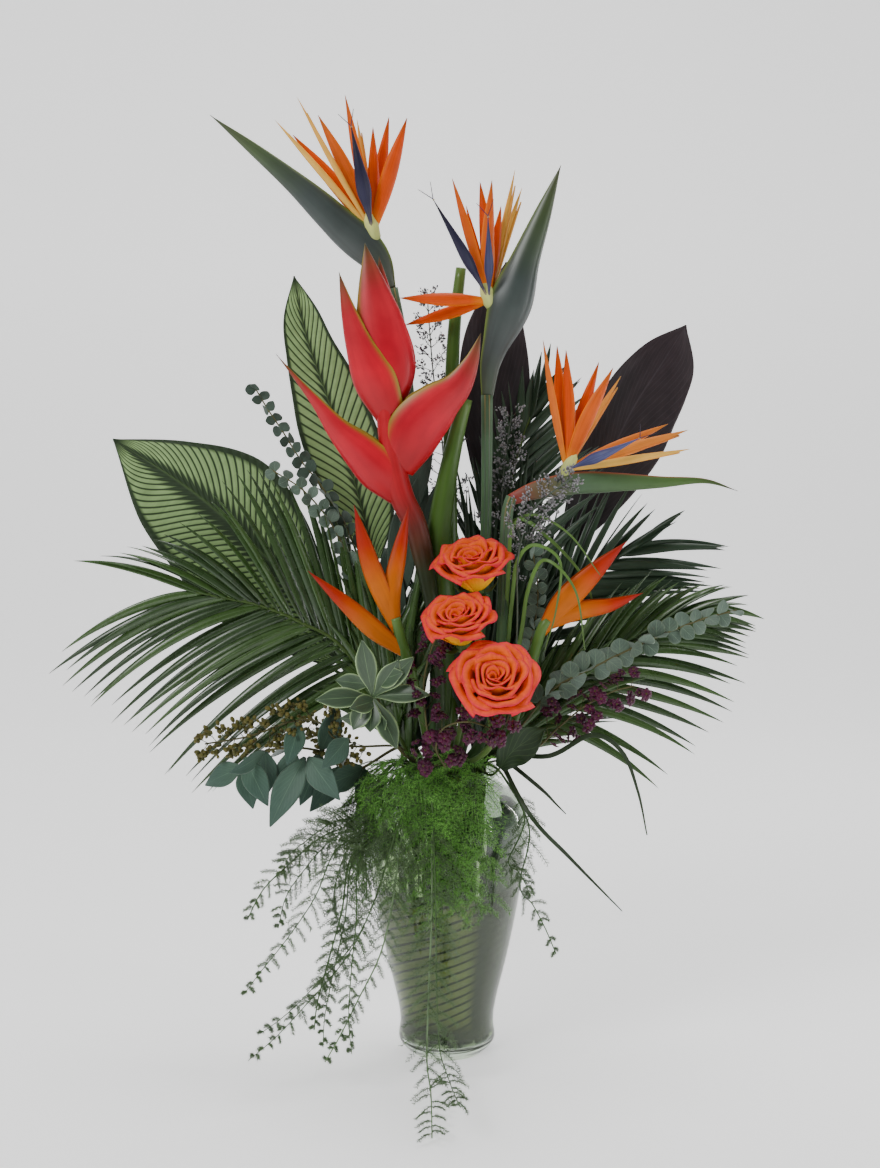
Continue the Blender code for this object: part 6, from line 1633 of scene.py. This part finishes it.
@dataclass
class Fern(Sprig):
    """Asparagus fern: stems with flat branches, twigs on each branch, and needles round each twig."""

    stems: int = 3
    fan: float = 0.012
    first: float = 0.2
    branches: int = 22
    branch: tuple[float, float] = (34, 5)
    twigs: int = 12
    needles: int = 12
    needle: float = 0.0042
    thick: float = 0.00024
    droop: float = 0.25
    flat: float = 0.3
    twig: float = 0.09
    mass: tuple[float, float, int, float] = (0, 0, 0, 0)
    trailing: int = 0

    def build(self) -> None:
        """Branches reach out of the stem, twigs out of the branches and needles out of the twigs, ever shorter."""
        self.grow()
        rng, patches = self.rng, []
        for k in range(self.stems):
            spread = np.linspace(0, 1, len(self.route))[:, None] ** 1.3
            lean = rng.normal(0, self.fan, 3) * [1.6, 0.5, 1.0] if k else np.zeros(3)
            route = self.route + lean * spread * (1 + 1.5 * spread) + FRONT * 0.001 * k * spread
            if k:
                patches.append(rod(off_glass(route), (0.0009, 0.0004), 6, 1))
            trail = self.frond(route, rng, self.branches, self.branch, self.twig)
            for patch in trail:
                patch.coat = patch.coat or self.trailing
            patches += trail
        first, last, count, drop = self.mass
        for turn in np.linspace(first, last, count) if count else ():
            turn = turn + rng.uniform(-3, 3)
            low = RIM_TOP - 0.02 - drop * rng.uniform(0.45, 1.0)
            route = even([
                around(turn, 0.0405, RIM_TOP + 0.004), around(turn, 0.053, RIM_TOP + 0.008 + rng.uniform(0, 0.01)),
                around(turn, 0.074, RIM_TOP + 0.002), around(turn + rng.uniform(-5, 5), 0.090, RIM_TOP - 0.022),
                around(turn + rng.uniform(-12, 12), 0.094 + rng.uniform(0, 0.014), low),
            ], 60)
            self.along, self.out, self.across = directions(route, unit(around(turn, 1.0, 0.4)))
            patches.append(rod(off_glass(route), (0.0009, 0.0004), 6, 1))
            patches += self.frond(route, rng, 18, (42, 22), 0.19)
        self.dress(patches, "fronds")

    def frond(self, route: Array, rng: np.random.Generator, n: int, branch: tuple[float, float],
              twig: float) -> list[Patch]:
        """The n branches, twigs and needles of one stem: branch lengths in millimetres, twigs as a share of them.

        Args:
            route: the stem's middle.
            rng: its random draws.
            n: how many branches it has.
            branch: the longest and the last branch's length.
            twig: a twig's share of its branch.

        Returns:
            The branches, the twigs and the needles.
        """
        t = np.linspace(0, 1, n)
        shares = self.first + (0.985 - self.first) * np.clip(t + rng.normal(0, 0.35 / n, n), 0, 1)
        start = at_share(route, shares)
        along, out, across = (at_share(values, shares) for values in (self.along, self.out, self.across))
        side = np.where(np.arange(n) % 2, 1.0, -1.0)[:, None]
        angle = rng.normal(0, self.flat, (n, 1))
        length = np.interp(t, [0, 0.25, 1], [branch[0] * 0.8, branch[0], branch[1]])[:, None] / 1000
        length = length * rng.uniform(0.66, 1.15, (n, 1))
        way = side * across * np.cos(angle) + out * np.sin(angle) + along * rng.uniform(0.55, 1.1, (n, 1))
        way = unit(way - UP * self.droop) * length
        bow = (UP * 0.45 + along * 0.1) * length
        s = np.linspace(0.04, 1.0, self.twigs)[None, :, None]
        twig_start = start[:, None] + way[:, None] * s + bow[:, None] * s * (1 - s)
        hand = np.where(np.arange(self.twigs) % 2, 1.0, -1.0)[None, :, None]
        level = unit(np.cross(way, out + rng.normal(0, 0.3, out.shape)))[:, None]
        heading = unit(way)[:, None] * 0.9 + level * hand + rng.normal(0, 0.22, twig_start.shape)
        twig_long = np.maximum(length, 0.014)[:, None] * twig * (1.12 - 0.6 * s)
        twig_long = twig_long * rng.uniform(0.7, 1.15, (n, self.twigs, 1))
        twig_way = unit(heading - UP * self.droop * 0.4) * twig_long
        flat_start, flat_way = off_glass(twig_start.reshape(-1, 3)), twig_way.reshape(-1, 3)
        q = np.linspace(0.08, 1.0, self.needles)[None, :, None]
        base = (flat_start[:, None] + flat_way[:, None] * q).reshape(-1, 3)
        lean = unit(np.repeat(unit(flat_way), self.needles, 0) * 0.75 + rng.normal(0, 0.7, base.shape))
        size = self.needle * rng.uniform(0.6, 1.15, (len(base), 1)) * np.tile(1.15 - 0.45 * q[0], (len(flat_start), 1))
        base = off_glass(base)
        tone = np.repeat(rng.uniform(0, 1, n), self.twigs)
        made = [blades(start, way, bow, unit(out + 0.1), np.full(n, 0.00034), (1, 0.8, 0.5), round_section(4), 5,
                       0.0004, coat=1),
                spikes(flat_start, off_glass(flat_start + flat_way) - flat_start, 0.0003, tone),
                spikes(base, off_glass(base + lean * size) - base, self.thick, np.repeat(tone, self.needles))]
        for patch in made:
            patch.points = off_glass(patch.points)
        return made


def off_glass(points: Array) -> Array:
    """The points, moved out of the vase's wall and up from the floor where they would lie in them.

    Args:
        points: any array of points.

    Returns:
        The moved points.
    """
    p = points.copy()
    p[..., 2] = np.maximum(p[..., 2], 0.0008)
    outside = np.array(VASE_OUTSIDE)[::-1]
    wall = np.interp(p[..., 2], outside[:, 1], outside[:, 0]) + 0.0012
    r = np.hypot(p[..., 0], p[..., 1])
    grown = np.where((p[..., 2] < RIM_TOP) & (r < wall), wall / np.maximum(r, 0.01), 1.0)
    p[..., :2] *= grown[..., None]
    return p


@dataclass
class Grass(Sprig):
    """A long thin blade of grass."""

    half: float = 0.0023
    strands: tuple[tuple[Place, ...], ...] = ()

    def build(self) -> None:
        """A thin folded section along the stem's own route, and thinner strands that leave it above the neck."""
        self.grow()
        width = np.interp(np.linspace(0, 1, len(self.stem)), [0, 0.6, 1], [self.half, self.half, self.half * 0.25])
        section = leaf_section(4, fold=0.4)
        patches = [sweep(self.stem, unit(FRONT + 0.2 * UP), width, width * 0.3, section)]
        for strand in self.strands:
            route = even([self.route[12], *seen(strand)], 90)
            thin = np.interp(np.linspace(0, 1, 90), [0, 0.6, 1], [self.half, self.half * 0.8, self.half * 0.2])
            patches.append(sweep(route, unit(FRONT + 0.2 * UP), thin, thin * 0.3, section))
        piece(f"{self.node}_blade", patches, list(self.coats), self.slot, self.node)


ROUND_LEAF = (0.12, 0.66, 0.95, 1.0, 0.92, 0.66, 0.12)
PALMS = (
    Palm("palm_left", [(388, 715, 12), (343, 648, 18), (300, 622, 22), (262, 606, 22), (225, 598, 18),
        (196, 592, 12)], "palm_green", (PALM, PALM_RIB), (0.0024, 0.0012), 0.30, 23, ((222, 796, -30),
        (190, 788, -20), (172, 778, -10), (148, 757, 0), (128, 728, 0), (112, 724, 0), (92, 714, 0), (71, 702, 0),
        (51, 679, 0), (45, 655, 0)), ((345, 520, 30), (323, 500, 20), (290, 480, 20), (253, 459, 15), (222, 470, 10),
        (200, 500, 5), (160, 532, 0), (125, 546, 0), (85, 552, 0), (58, 562, 0)), inner=((300, 700, 0),
        (318, 640, 20), (330, 560, 20), (345, 500, 20), (362, 540, 20), (385, 580, 0), (400, 620, 0), (412, 560, 30),
        (434, 500, 34), (452, 560, 30), (440, 640, 0), (408, 690, -20)), inner_count=72),
    Palm("palm_right", [(520, 735, 10), (560, 690, 12), (605, 655, 12), (650, 628, 12), (690, 612, 10)], "palm_green",
        (PALM, PALM_RIB), (0.0022, 0.0011), 0.24, 20, ((610, 590, 20), (640, 575, 10), (668, 572, 0), (700, 578, 0),
        (740, 590, -10), (756, 604, -10)), ((650, 800, -30), (705, 752, -20), (733, 718, -10), (742, 690, -10),
        (750, 660, -10), (752, 645, -10), (758, 632, -10), (762, 617, -10)), inner=((548, 600, 30), (590, 610, 20),
        (640, 640, 10), (650, 680, 0), (620, 715, 0), (590, 740, -10)), inner_count=30),
    Palm("palm_back", [(500, 660, 45), (503, 580, 50), (508, 510, 52), (519, 450, 55), (538, 398, 58)], "palm_dark",
        (PALM_DARK, PALM_RIB), (0.0019, 0.0010), 0.40, 17, ((455, 520, 50), (462, 470, 55), (478, 430, 60),
        (500, 395, 60), (530, 355, 60), (556, 338, 60)), ((600, 510, 50), (606, 475, 50), (604, 440, 50),
        (596, 410, 50), (584, 380, 50), (572, 350, 55)), 0.06, inner=((388, 600, 30), (400, 540, 30), (418, 480, 40),
        (440, 520, 40), (468, 430, 50), (500, 470, 50), (530, 430, 50), (560, 470, 50), (580, 540, 50),
        (560, 620, 40), (430, 620, 30)), inner_count=80),
    Palm("palm_low", [(520, 690, 50), (548, 630, 58), (578, 588, 60), (612, 558, 60), (642, 545, 58)], "palm_dark",
        (PALM_DARK, PALM_RIB), (0.0019, 0.0010), 0.36, 17, ((560, 500, 55), (590, 480, 55), (625, 470, 55),
        (655, 508, 50), (680, 515, 50), (695, 508, 50)), ((690, 655, 45), (700, 625, 45), (708, 600, 45),
        (712, 580, 45), (722, 562, 45), (743, 543, 45)), 0.08, inner=((520, 560, 40), (560, 590, 40), (590, 640, 40),
        (560, 680, 30), (470, 600, 30), (440, 660, 20), (540, 720, 20), (580, 740, 0)), inner_count=44),
)
LEAFY = (
    Leafy("eucalyptus_right", [(522, 725, -30), (552, 690, -34), (600, 664, -36), (650, 640, -36), (700, 620, -34),
        (737, 610, -32)], "eucalyptus_silver", (SILVER, TWIG), (0.0014, 0.0008), (0.30, 0.985, 17),
        ((20, 10.5), (13, 7)), ROUND_LEAF, 0.45),
    Leafy("eucalyptus_dark", [(395, 700, 30), (372, 610, 34), (350, 535, 36), (322, 487, 36), (302, 462, 36),
        (283, 432, 36), (267, 408, 36), (254, 386, 36)], "eucalyptus_dark", (SILVER_DARK, TWIG), (0.0014, 0.0007),
        (0.40, 0.99, 21), ((16, 8.0), (10, 5)), ROUND_LEAF, 0.55,
        extra=tuple(((*foot, 30), (*tip, 26), half) for foot, tip, half in (((396, 640), (386, 548), 14),
        ((400, 600), (404, 500), 14), ((404, 560), (424, 470), 12), ((410, 520), (430, 440), 11),
        ((402, 690), (412, 600), 16), ((414, 640), (434, 560), 13), ((398, 700), (386, 620), 14),
        ((404, 745), (420, 680), 13), ((410, 750), (440, 690), 14), ((402, 750), (398, 690), 13),
        ((420, 560), (440, 480), 11), ((418, 700), (404, 640), 13)))),
    Leafy("eucalyptus_silver", [(398, 710, 4), (378, 640, 4), (356, 580, 2), (335, 530, 0), (305, 492, -4),
        (272, 470, -6)], "eucalyptus_silver", (SILVER, TWIG), (0.0014, 0.0007), (0.46, 0.99, 13),
        ((15, 7.5), (11, 5.5)), ROUND_LEAF, 0.55),
    Leafy("eucalyptus_middle", [(503, 730, -8), (516, 690, -12), (530, 645, -22), (538, 595, -30), (533, 552, -34)],
        "eucalyptus_silver", (SILVER, TWIG), (0.0012, 0.0007), (0.30, 0.99, 14), ((15, 7.6), (11, 5.6)), ROUND_LEAF,
        0.55),
    Leafy("seeded_leaves", [around(188, 0.048, 0.298), (352, 772, -30), (330, 755, -40), (300, 748, -48),
        (262, 752, -52), (240, 770, -54)], "eucalyptus_blue", (BLUE_LEAF, TWIG), (0.0016, 0.0009), (0.30, 0.98, 6),
        ((60, 14), (44, 11)), (0.1, 0.55, 0.9, 1.0, 0.9, 0.66, 0.36, 0.05), 0.3, 0.5, 0.0, 0.9, 0.1,
        (((245, 757, -56), (268, 806, -64), 12), ((305, 757, -50), (270, 827, -70), 14),
        ((308, 757, -52), (340, 800, -72), 13), ((300, 722, -50), (287, 765, -70), 10),
        ((348, 738, -50), (322, 768, -72), 11)), 18),
    Leafy("pittosporum", [(400, 750, -70), (388, 725, -82), (378, 700, -90), (373, 680, -92)], "pittosporum_green",
        (CREAM_LEAF, TWIG), (0.0016, 0.0012), (0.74, 0.97, 3), ((40, 10), (34, 9)),
        (0.1, 0.3, 0.62, 0.92, 1.0, 0.9, 0.5, 0.05), 0.25, 1.5, 0.25, 0.0, 0.16,
        tuple(((373, 697, -92), (column, row, -104), 9.5) for column, row in ((315, 700), (430, 695), (362, 640),
        (399, 660), (414, 657), (353, 730), (370, 732), (397, 749))), 16),
)
FLOWERY = (
    Flowery("seeded_twig", [around(200, 0.050, 0.301), (345, 745, -50), (318, 722, -58), (290, 722, -60),
        (250, 736, -60), (205, 744, -56)], "seed_gold", (SEED, TWIG), (0.0012, 0.0008), (0.24, 0.985, 20), (22, 13),
        9, Head.SEED, 0.0021),
    Flowery("limonium_left", [(452, 640, 55), (448, 540, 58), (442, 440, 58), (434, 380, 58), (430, 335, 58),
        (427, 292, 58)], "limonium_grey", (GREY_FLOWER, GREY_TWIG), (0.0010, 0.0006), (0.50, 0.985, 20), (24, 11), 7,
        Head.BUD, 0.0009),
    Flowery("limonium_right", [(492, 640, 30), (500, 540, 34), (503, 480, 34), (507, 445, 32), (512, 412, 30)],
        "limonium_white", (WHITE_FLOWER, GREY_TWIG), (0.0010, 0.0006), (0.46, 0.985, 22), (24, 12), 8, Head.BUD,
        0.0009),
    Flowery("wax_white", [(510, 720, -60), (517, 630, -62), (518, 560, -62), (530, 515, -62), (550, 494, -62),
        (572, 478, -62)], "limonium_white", (WHITE_FLOWER, GREY_TWIG), (0.0010, 0.0006), (0.74, 0.985, 13), (19, 11),
        7, Head.BUD, 0.0009),
    Flowery("wax_left", [(430, 740, -92), (425, 710, -94), (424, 680, -94), (431, 650, -92), (441, 628, -90)],
        "wax_purple", (PURPLE, SEED, TWIG), (0.0011, 0.0007), (0.40, 0.985, 8), (18, 12), 3, Head.FLOWER, 0.0054),
    Flowery("wax_middle", [(444, 765, -100), (436, 748, -116), (444, 728, -124), (470, 722, -128), (500, 732, -128)],
        "wax_purple", (PURPLE, SEED, TWIG), (0.0011, 0.0007), (0.34, 0.985, 9), (19, 13), 3, Head.FLOWER, 0.0054),
    Flowery("wax_right", [(530, 752, -50), (558, 728, -58), (585, 706, -62), (612, 692, -62), (634, 686, -60)],
        "wax_purple", (PURPLE, SEED, TWIG), (0.0011, 0.0007), (0.46, 0.985, 8), (20, 13), 3, Head.FLOWER, 0.0054),
)
FERNS = (
    Fern("fern_left", [*over_rim(204), around(203, 0.094, 0.235), (320, 838, -75), (287, 866, -85), (263, 890, -92),
        (247, 920, -98)], "fern_green", (FERN_GREY, FERN_STEM), (0.0011, 0.0006), 4, 0.010, 0.16, 40, (36, 6), 20, 7,
        0.0027, twig=0.17),
    Fern("fern_drop", [*over_rim(226), around(226, 0.096, 0.232), (350, 860, -110), (342, 910, -115),
        (330, 955, -118), (318, 1000, -118), (314, 1030, -116)], "fern_green", (FERN_GREY, FERN_STEM),
        (0.0011, 0.0006), 4, 0.012, 0.10, 46, (34, 5), 20, 7, 0.0027, twig=0.17),
    Fern("fern_middle", [*over_rim(245), around(245, 0.098, 0.230), (392, 905, -116), (380, 955, -118),
        (358, 1000, -122), (340, 1036, -128), laid(325, 1062, 0.030)], "fern_green", (FERN, FERN_STEM, FERN_GREY),
        (0.0011, 0.0006), 3, 0.009, 0.10, 48, (34, 5), 17, 6, 0.0034, twig=0.16, mass=(202, 258, 12, 0.11),
        trailing=2),
    Fern("fern_front", [*over_rim(261), around(262, 0.098, 0.228), (432, 900, -108), (430, 960, -104),
        (428, 1010, -104), laid(427, 1062, 0.026), laid(431, 1095, 0.010), laid(432, 1138, 0.008)], "fern_green",
        (FERN, FERN_STEM, FERN_GREY), (0.0011, 0.0006), 2, 0.006, 0.08, 50, (38, 14), 18, 6, 0.0032, twig=0.15,
        droop=0.1, mass=(252, 292, 10, 0.10), trailing=2),
    Fern("fern_right", [*over_rim(322), around(322, 0.097, 0.232), (520, 885, -66), (533, 905, -68), (546, 930, -68),
        (556, 954, -66)], "fern_green", (FERN_GREY, FERN_STEM), (0.0010, 0.0005), 2, 0.008, 0.30, 26, (24, 5), 18, 6,
        0.0027, twig=0.18),
)
GRASSES = (
    Grass("grass_a", [(506, 720, -22), (505, 620, -26), (508, 540, -50), (520, 519, -70), (545, 535, -80),
        (579, 571, -84), (592, 605, -80), (578, 640, -74)], "grass_green", (GRASS,), strands=(((512, 600, -40),
        (518, 560, -60), (535, 545, -70), (560, 562, -74), (556, 610, -70), (545, 650, -66)), ((520, 640, -40),
        (528, 590, -50), (545, 560, -70), (575, 590, -80), (585, 650, -76)), ((508, 580, -40), (513, 528, -50),
        (535, 515, -60), (570, 535, -70), (600, 575, -70)))),
    Grass("grass_c", [around(324, 0.056, 0.299), (548, 756, -74), (592, 735, -78), (622, 752, -78), (638, 792, -78),
        (647, 835, -76)], "grass_green", (GRASS_DARK,), strands=(((540, 788, -70), (556, 804, -72), (566, 814, -72)),
        ((530, 815, -86), (570, 858, -85), (622, 911, -80)))),
)


# The vase, its water and the leaf that lines it


def revolve(profile: Array, steps: int = 96) -> Patch:
    """A closed body of revolution: (r cos a, r sin a, z) for each profile place, its ends on the axis.

    Args:
        profile: (radius, height) rows from end to end.
        steps: sides of a ring.

    Returns:
        The closed body.
    """
    ring = profile[1:-1]
    a = 2 * math.pi * np.arange(steps) / steps
    points = np.stack([ring[:, :1] * np.cos(a), ring[:, :1] * np.sin(a), np.repeat(ring[:, 1:], steps, 1)], -1)
    n = len(ring)
    index = np.arange(n * steps).reshape(n, steps)
    quads = np.stack([index[:-1], np.roll(index[:-1], -1, 1), np.roll(index[1:], -1, 1), index[1:]], -1).reshape(-1, 4)
    first, last = n * steps, n * steps + 1
    starts = np.stack([np.full(steps, first), np.roll(index[0], -1), index[0]], -1)
    ends = np.stack([np.full(steps, last), index[-1], np.roll(index[-1], -1)], -1)
    poles = [[0, 0, profile[0, 1]], [0, 0, profile[-1, 1]]]
    points = np.vstack([points.reshape(-1, 3), poles])
    blank = np.zeros(len(points))
    return Patch(points, quads, [starts, ends], np.zeros((len(points), 2)), blank, blank, blank)


@dataclass
class Vase:
    """The ginger jar shaped glass vase, its water and the striped leaf round its inside."""

    wall: float = VASE_WALL
    water_overlap: float = 0.0003
    liner_inset: float = 0.0020

    def outside(self) -> Array:
        """The outer profile from the foot to the rim, smooth between its places."""
        return spline(np.array(VASE_OUTSIDE)[::-1], 120)

    def inside(self, height: Array, inset: float) -> Array:
        """The radius of the vase's inside at a height, less an inset."""
        outer = self.outside()
        return np.interp(height, outer[:, 1], outer[:, 0]) - self.wall - inset

    def build(self) -> None:
        """Makes the glass, the water and the liner."""
        outer = self.outside()
        heights = np.linspace(VASE_FLOOR + 0.004, RIM_TOP - 0.001, 90)
        inner = np.stack([self.inside(heights, 0.0), heights], 1)[::-1]
        floor_radius = inner[-1, 0]
        floor = [(floor_radius - 0.001, VASE_FLOOR + 0.0015), (floor_radius - 0.004, VASE_FLOOR), (0.0, VASE_FLOOR)]
        rim = [(0.0482, RIM_TOP + 0.0004), (0.0470, RIM_TOP + 0.0007), (0.0459, RIM_TOP + 0.0003)]
        foot = [(0.0, 0.0008), (0.030, 0.0006), (0.0335, 0.0)]
        piece("vase_glass_body", [revolve(np.vstack([foot, outer, rim, inner, floor]))], [GLASS], "vase_glass", "vase")
        heights = np.linspace(VASE_FLOOR - self.water_overlap, WATER_TOP, 60)
        radii = self.inside(np.maximum(heights, VASE_FLOOR + 0.004), -self.water_overlap)
        low = [(0.0, heights[0]), (radii[0] - 0.003, heights[0])]
        edge = ((0.0015, 0.0006), (0.004, 0.0010), (radii[-1], 0.0010))
        top = [(radii[-1] - inwards, WATER_TOP - down) for inwards, down in edge]
        body = np.vstack([low, np.stack([radii, heights], 1)[2:], top])
        piece("water_body", [revolve(body)], [WATER], "water_clear", "water")
        self.build_liner()

    def build_liner(self) -> None:
        """At height z the liner runs from 150 degrees + 0.4 lean to 345 - 1.6 lean, with lean = (z - 0.020) 0.9."""
        z, u = np.meshgrid(np.linspace(0.020, 0.168, 50), np.linspace(0, 1, 90), indexing="ij")
        lean = (z - 0.020) * 0.9
        begin, end = math.radians(150) + lean * 0.4, math.radians(345) - lean * 1.6
        turn = begin + (end - begin) * u
        r = self.inside(z, self.liner_inset) + 0.0004 * np.sin(60 * u + 40 * z) * np.sin(math.pi * u)
        grid = np.stack([r * np.cos(turn), r * np.sin(turn), z], -1)
        blade = shell(grid, 0.0008)
        blade.uv[:, 1] = 0.5 + blade.uv[:, 1] / 2
        z, turn = np.meshgrid(np.linspace(0.030, 0.240, 50), np.radians(np.linspace(302, 398, 50)), indexing="ij")
        r = self.inside(z, self.liner_inset * 3) + 0.0006 * np.sin(22 * turn + 30 * z)
        fold = np.stack([r * np.cos(turn), r * np.sin(turn), z], -1)
        piece("liner_leaf_blade", [blade, shell(fold, BLADE_THICK, coat=1)], [LINER, LINER_FOLD], "liner_stripes",
              "liner_leaf")


# The studio


@dataclass
class Studio:
    """A pale floor that curves up into a backdrop, soft lamps and the camera at the photograph's viewpoint."""

    pale: Colour = (250, 250, 250)
    glow: float = 0.6
    air: float = 0.2
    target: Place = (0.0, 0.0, 0.45)
    lamps: tuple[tuple[Place, float, float, float], ...] = (
        ((-1.7, -2.0, 2.4), 1.0, 1.0, 60.0), ((2.3, -1.6, 1.2), 1.4, 1.4, 5.0), ((0.3, 0.3, 2.8), 0.8, 0.8, 26.0),
        ((1.62, -0.86, 0.55), 0.05, 0.9, 6.0), ((1.7, 0.8, 0.6), 0.05, 1.2, 8.0),
    )

    def build(self) -> None:
        """Makes the stage, the lamps, the world and the camera."""
        turn = np.linspace(0, math.pi / 2, 24)
        curve = np.stack([1.6 + np.sin(turn), 1.0 - np.cos(turn)], 1)
        line = np.vstack([[(-6.0, 0.0)], curve, [(2.6, 6.0)]])
        x = np.array([-7.0, 7.0])
        sides = [np.repeat(column[:, None], 2, 1) for column in line.T]
        grid = np.stack([np.broadcast_to(x, (len(line), 2)), *sides], -1)
        index = np.arange(len(line) * 2).reshape(-1, 2)
        quads = np.stack([index[:-1, 0], index[:-1, 1], index[1:, 1], index[1:, 0]], -1)
        mesh = bpy.data.meshes.new("backdrop")
        mesh.from_pydata(grid.reshape(-1, 3).tolist(), [], quads.tolist())
        mesh.polygons.foreach_set("use_smooth", np.ones(len(quads), bool))
        paint, w, shader = painted("backdrop paint")
        mottle = effect(w, Effect.MOTTLE, {"Color": linear(self.pale), "Scale": 3.0, "Amount": 0.01})
        w.fill(shader, {"Base Color": mottle["Color"], "Roughness": 0.7, "Emission Color": WHITE,
                        "Emission Strength": self.glow})
        mesh.materials.append(paint)
        backdrop = placed("backdrop", mesh)
        for number, (place, wide, tall, power) in enumerate(self.lamps):
            light = bpy.data.lights.new(f"lamp_{number}", "AREA")
            light.shape, light.size, light.size_y, light.energy = "RECTANGLE", wide, tall, power
            lamp = placed(light.name, light)
            lamp.location = place
            lamp.rotation_euler = aimed(np.array(place), np.array(self.target))
        world = bpy.data.worlds.new("studio air")
        world.use_nodes = True
        Wiring(world.node_tree).fill(world.node_tree.nodes["Background"], {0: WHITE, 1: self.air})
        bpy.context.scene.world = world
        lens = bpy.data.cameras.new("photo_camera")
        lens.sensor_width, lens.lens = FILM_SIDE, FOCAL_PIXELS / PHOTO_HEIGHT * FILM_SIDE
        camera = placed("photo_camera", lens)
        camera.location = EYE
        camera.rotation_euler = (math.pi / 2 - EYE_TILT, 0.0, 0.0)
        bpy.context.scene.camera = camera


def aimed(place: Array, target: Array) -> tuple[float, float, float]:
    """The turn that points a lamp's -Z from its place to a target."""
    x, y, z = unit(target - place)
    return math.acos(-z), 0.0, math.atan2(-x, y) if abs(x) + abs(y) > 1e-9 else 0.0


def main() -> None:
    logging.basicConfig(level=logging.INFO, format="%(message)s")
    Studio().build()
    for part in (Vase(), *BIRDS, *HELICONIAS, *STALKS, *ROSES, *BROAD_LEAVES, *PALMS, *LEAFY, *FLOWERY, *FERNS,
                 *GRASSES):
        part.build()


if __name__ == "__main__":
    main()
